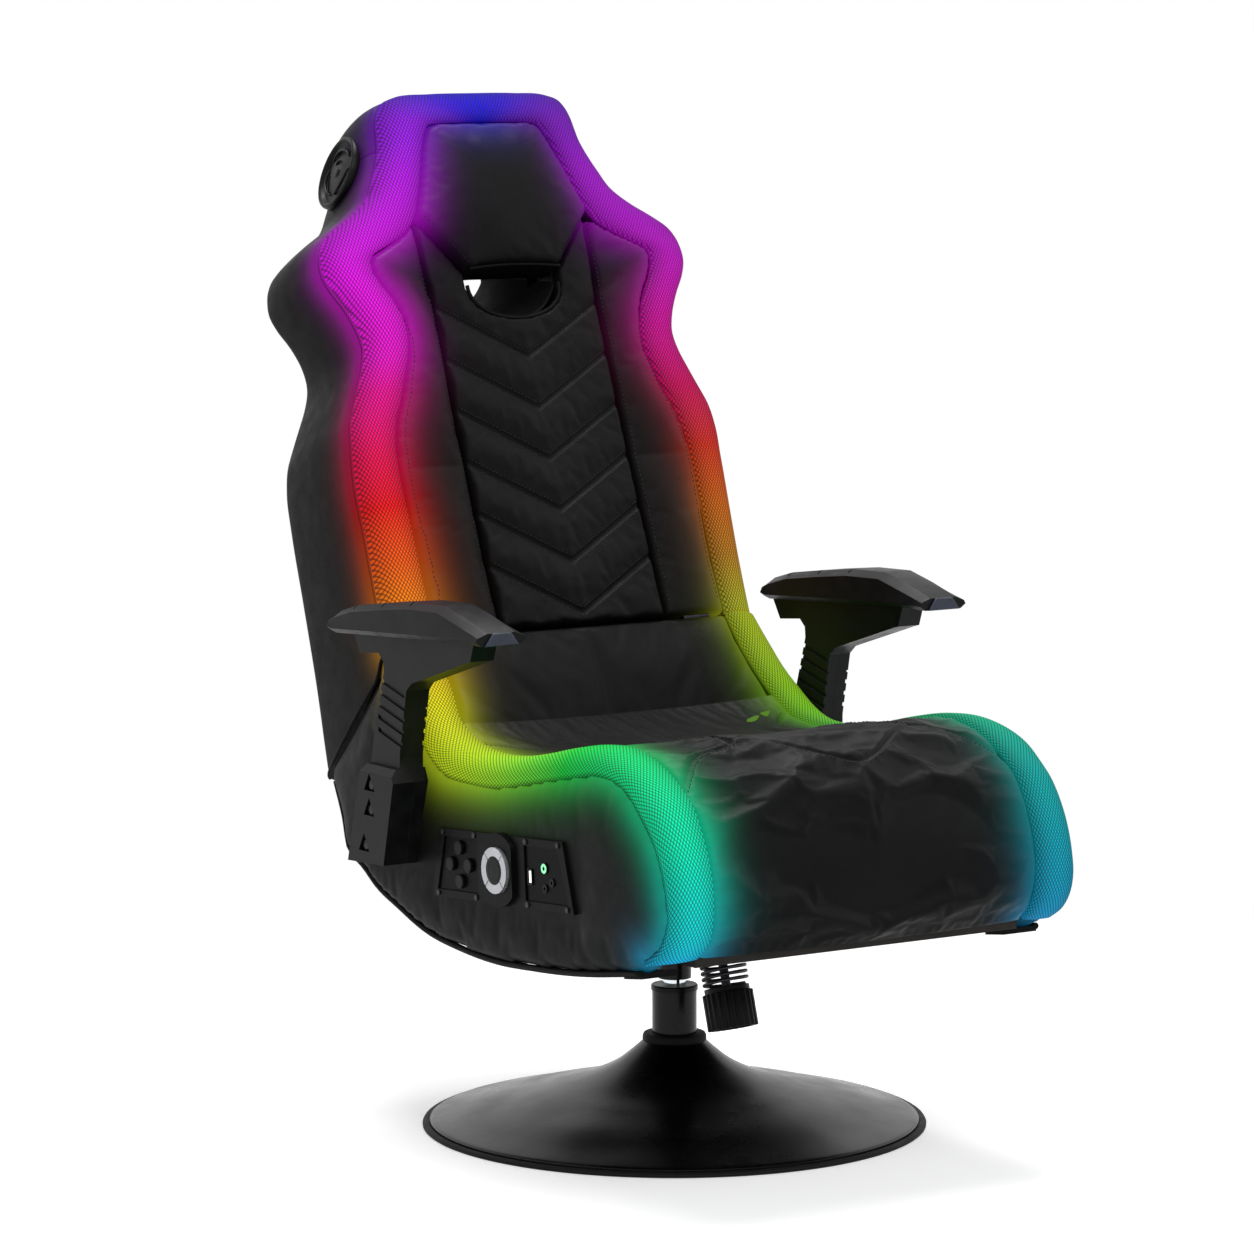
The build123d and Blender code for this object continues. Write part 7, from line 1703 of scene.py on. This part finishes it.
def lathe(name, profile, material, body, steps=96, count=90, sharp=40):
    """A turned form about the swivel axis from (radius, height) points."""
    path = np.array(profile, float)
    turn = np.arange(steps) * 2 * math.pi / steps
    points = []
    for r, z in path:
        points.append(np.stack([r * np.cos(turn), r * np.sin(turn), np.full(steps, z)], axis=1))
    faces = grid_faces(len(path), steps, closed=True)
    obj = face_out(make_mesh(name, np.array(points), faces, material))
    obj.data.set_sharp_from_angle(angle=math.radians(sharp))
    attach(obj, body)
    return obj


def pedestal():
    shares = [
        (0.125, 1.000), (0.173, 0.875), (0.224, 0.755), (0.287, 0.650), (0.364, 0.552), (0.509, 0.428),
        (0.691, 0.297), (0.855, 0.165), (0.953, 0.095),
    ]
    outer = smooth_path([(r * 0.275, h * 0.092) for r, h in shares], 70)
    rim = [(0.2640, 0.0082), (0.2655, 0.0074), (0.2659, 0.0070), (0.2600, 0.0070)]
    inner = [(r - 0.002, z - 0.002) for r, z in outer[::-1][2:]]
    cover = lathe("pedestal_trumpet", np.vstack([outer, rim, inner]), POWDER, "base", steps=160)
    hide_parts("pedestal_cover")
    trim = lathe(
        "edge_trim_rounded",
        [(0.2672, 0.0), (0.2735, 0.0), (0.2748, 0.0010), (0.2750, 0.0026), (0.2742, 0.0040), (0.2722, 0.0050), (0.2690, 0.0052), (0.2672, 0.0048), (0.2672, 0.0)],
        RUBBER, "base", steps=160,
    )
    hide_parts("edge_trim")
    collar = lathe(
        "neck_collar_rounded",
        [(0.0245, 0.0922), (0.0345, 0.0922), (0.0349, 0.0935), (0.0347, 0.0975), (0.0335, 0.1000), (0.0310, 0.1010), (0.0245, 0.1010), (0.0245, 0.0922)],
        RUBBER, "base",
    )
    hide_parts("neck_collar")


pedestal()


# ---------- speakers ----------
def speaker_frame(side):
    """The plane of a speaker: its centre, the way towards the sitter, the way up the head, and outwards."""
    box_low, box_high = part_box("speaker_grilles")
    up_at = 0.555

    def outer(up):
        return BACK_ROW(up)[0][0]

    above, below = outer(0.555), outer(0.555 - 0.02175)
    along = on_back(-above, 0.555, 0) - on_back(-below, 0.555 - 0.02175, 0)
    depth_way = on_back(0, 0, 1) - on_back(0, 0, 0)
    out_way = np.cross(along, depth_way)
    out_way /= np.linalg.norm(out_way)
    if out_way[0] > 0:
        out_way = -out_way
    centre = on_back(-BACK_ROW(up_at)[0][0], up_at, -0.080) + out_way * 0.0070
    up_way = np.cross(out_way, depth_way)
    if up_way[2] < 0:
        up_way = -up_way
    if side > 0:
        flip = np.array([-1, 1, 1])
        return centre * flip, depth_way * flip, up_way * flip, out_way * flip
    return centre, depth_way, up_way, out_way


def disc_form(name, profile, place, material, steps=72, sharp=35):
    """A turned form about a speaker's axis from (radius, height) points."""
    centre, a_way, b_way, out = place
    turn = np.arange(steps) * 2 * math.pi / steps
    points = []
    for r, h in profile:
        points.append(centre + out * h + r * (np.cos(turn)[:, None] * a_way + np.sin(turn)[:, None] * b_way))
    obj = make_mesh(name, np.array(points), grid_faces(len(profile), steps, closed=True), material)
    face_out(obj)
    obj.data.set_sharp_from_angle(angle=math.radians(sharp))
    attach(obj, "back")
    return obj


def speaker(side):
    tag = "right" if side < 0 else "left"
    place = speaker_frame(side)
    centre, a_way, b_way, out = place
    bezel = disc_form(
        "speaker_bezel_" + tag,
        [(0.0300, -0.004), (0.0345, 0.0006), (0.0362, 0.0030), (0.0378, 0.0048), (0.0398, 0.0054), (0.0420, 0.0046), (0.0433, 0.0024), (0.0435, -0.002), (0.0435, -0.016)],
        place, BLACK,
    )
    cloth = disc_form(
        "speaker_cloth_" + tag,
        [(0.0001, 0.0030), (0.010, 0.0028), (0.020, 0.0020), (0.028, 0.0008), (0.0345, 0.0002)],
        place, BLACK,
    )
    for n, (start, sweep, ring) in enumerate(((25, 105, 0.0265), (150, 95, 0.0270), (262, 90, 0.0262), (60, 60, 0.0135))):
        line, width = [], []
        for share in np.linspace(0, 1, 22):
            angle = math.radians(start + sweep * share)
            lift = math.sin(math.pi * share) ** 0.5
            spot = a_way * ring * math.cos(angle) + b_way * ring * math.sin(angle)
            line.append(centre + spot + out * (0.0012 + 0.0026 * lift))
            width.append(0.0006 + 0.0012 * lift)
        blade = tube(f"speaker_blade_{tag}_{n}", line, width, BLACK, "back", sides=8)
    boss = disc_form("speaker_boss_" + tag, [(0.0001, 0.0046), (0.003, 0.0045), (0.0052, 0.0040), (0.0064, 0.0030), (0.0068, 0.0016)], place, BLACK)
    if side < 0:
        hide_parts("speaker_grilles")


speaker(-1)
speaker(1)


# ---------- console details ----------
TURN = math.radians(4)


def on_console(a, b, proud):
    return np.array([-SEAT_HALF - proud, -0.070 - a * math.cos(TURN) + b * math.sin(TURN), 0.314 + a * math.sin(TURN) + b * math.cos(TURN)])


def console_disc(name, a, b, profile, material, body="seat", steps=36, sharp=35):
    centre = on_console(a, b, 0)
    a_way = on_console(1, 0, 0) - on_console(0, 0, 0)
    b_way = on_console(0, 1, 0) - on_console(0, 0, 0)
    turn = np.arange(steps) * 2 * math.pi / steps
    points = []
    for r, h in profile:
        points.append(centre + np.array([-h, 0, 0]) + r * (np.cos(turn)[:, None] * a_way + np.sin(turn)[:, None] * b_way))
    obj = face_out(make_mesh(name, np.array(points), grid_faces(len(profile), steps, closed=True), material))
    obj.data.set_sharp_from_angle(angle=math.radians(sharp))
    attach(obj, body)
    return obj


def console_details():
    lamp = console_disc("headphone_ring", 0.084, 0.007, [(0.0021, 0.0093), (0.0026, 0.0099), (0.0040, 0.0100), (0.0049, 0.0098), (0.0053, 0.0094)], GREEN_LAMP)
    points, faces = [], []
    a0, b0 = 0.056, -0.0035
    for h, grow in ((0.0081, 0.0), (0.0086, 0.0), (0.0089, -0.0004)):
        for da, db in ((-1, -1), (1, -1), (1, 1), (-1, 1)):
            points.append(on_console(a0 + da * (0.0022 + grow), b0 + db * (0.0062 + grow), h))
    faces = [(0, 1, 5, 4), (1, 2, 6, 5), (2, 3, 7, 6), (3, 0, 4, 7), (4, 5, 9, 8), (5, 6, 10, 9), (6, 7, 11, 10), (7, 4, 8, 11), (8, 9, 10, 11)]
    port = face_out(make_mesh("lit_port", points, faces, WHITE_LAMP))
    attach(port, "seat")
    centre = console_disc(
        "centre_button_dish", 0, 0,
        [(0.0001, 0.0196), (0.004, 0.0195), (0.0110, 0.0193), (0.0131, 0.0194), (0.0139, 0.0191)], BLACK, body="centre",
    )


console_details()


# ---------- floor, light and camera ----------
FLOOR_GLOW, WORLD_LEVEL = 0.46, 0.33


def stage_floor():
    """A pale floor that keeps the chair's shadow and turns to plain white further out."""
    s = Shader("floor", Roughness=0.9, Specular_IOR_Level=0.1)
    s.set(Base_Color=s.mix(s.span(s.noise(3.0, 2.0), 0.3, 0.7, 0, 1), (0.80, 0.80, 0.80, 1), (0.82, 0.82, 0.82, 1)))
    path = s.nodes.new("ShaderNodeLightPath")
    seen = s.math("MAXIMUM", path.outputs["Is Camera Ray"], s.math("MAXIMUM", path.outputs["Is Glossy Ray"], path.outputs["Is Transmission Ray"]))
    glow = s.node("ShaderNodeEmission", Color=(1, 1, 1, 1))
    s.links.new(s.math("MULTIPLY", seen, FLOOR_GLOW), glow.inputs["Strength"])
    add = s.nodes.new("ShaderNodeAddShader")
    s.links.new(s.main.outputs[0], add.inputs[0])
    s.links.new(glow.outputs[0], add.inputs[1])
    white = s.node("ShaderNodeEmission", Color=(1, 1, 1, 1), Strength=1.0)
    split = s.node("ShaderNodeSeparateXYZ")
    s.links.new(s.place, split.inputs[0])
    x, y = split.outputs[0], split.outputs[1]
    far = s.math("SQRT", s.math("ADD", s.math("MULTIPLY", x, x), s.math("MULTIPLY", y, y)))
    fade = s.math("MULTIPLY", s.span(far, 0.45, 1.5, 0.0, 1.0), seen)
    mix = s.nodes.new("ShaderNodeMixShader")
    s.links.new(fade, mix.inputs[0])
    s.links.new(add.outputs[0], mix.inputs[1])
    s.links.new(white.outputs[0], mix.inputs[2])
    s.links.new(mix.outputs[0], s.nodes["Material Output"].inputs["Surface"])
    points = [(-30, -30, -0.0003), (30, -30, -0.0003), (30, 30, -0.0003), (-30, 30, -0.0003)]
    floor = make_mesh("floor", points, [(0, 1, 2, 3)], s.material)


def world():
    made = bpy.data.worlds.new("studio")
    SCENE.world = made
    made.use_nodes = True
    nodes, links = made.node_tree.nodes, made.node_tree.links
    back = nodes["Background"]
    back.inputs["Color"].default_value = (1, 1, 1, 1)
    back.inputs["Strength"].default_value = WORLD_LEVEL
    bright = nodes.new("ShaderNodeBackground")
    bright.inputs["Color"].default_value = (1, 1, 1, 1)
    bright.inputs["Strength"].default_value = 1.0
    path = nodes.new("ShaderNodeLightPath")
    seen = path.outputs["Is Camera Ray"]
    for name in ("Is Glossy Ray", "Is Transmission Ray"):
        most = nodes.new("ShaderNodeMath")
        most.operation = "MAXIMUM"
        links.new(seen, most.inputs[0])
        links.new(path.outputs[name], most.inputs[1])
        seen = most.outputs[0]
    mix = nodes.new("ShaderNodeMixShader")
    links.new(seen, mix.inputs[0])
    links.new(back.outputs[0], mix.inputs[1])
    links.new(bright.outputs[0], mix.inputs[2])
    links.new(mix.outputs[0], nodes["World Output"].inputs["Surface"])


def lamp(name, place, target, size, power):
    data = bpy.data.lights.new(name, "AREA")
    data.shape = "RECTANGLE"
    data.size, data.size_y = size
    data.energy = power
    obj = bpy.data.objects.new(name, data)
    SCENE.collection.objects.link(obj)
    obj.location = place
    obj.rotation_mode = "QUATERNION"
    obj.rotation_quaternion = (Vector(target) - Vector(place)).to_track_quat("-Z", "Y")
    return obj


def camera():
    data = bpy.data.cameras.new("camera")
    obj = bpy.data.objects.new("camera", data)
    SCENE.collection.objects.link(obj)
    azimuth, distance, height = math.radians(-33.626), 5.7502, 1.2508
    data.sensor_width = 36.0
    data.lens = 5363.0 / 1254.0 * 36.0
    data.shift_x = -(674.42 - 627.0) / 1254.0
    data.clip_start, data.clip_end = 0.1, 100.0
    data.dof.use_dof = False
    obj.location = (math.sin(azimuth) * distance, -math.cos(azimuth) * distance, height)
    pitch = math.radians(6.996)
    way = Vector((-math.sin(azimuth) * math.cos(pitch), math.cos(azimuth) * math.cos(pitch), -math.sin(pitch)))
    obj.rotation_mode = "QUATERNION"
    obj.rotation_quaternion = way.to_track_quat("-Z", "Y")
    SCENE.camera = obj


stage_floor()
world()
lamp("key", (-1.3, -2.6, 3.9), (0, 0, 0.6), (2.4, 2.0), 50)
lamp("fill", (3.0, -1.8, 2.6), (0, 0, 0.6), (2.2, 2.2), 28)
lamp("top", (0.3, 0.9, 3.7), (0, 0, 0.5), (2.4, 1.8), 140)
camera()
SCENE.view_settings.view_transform = "Standard"
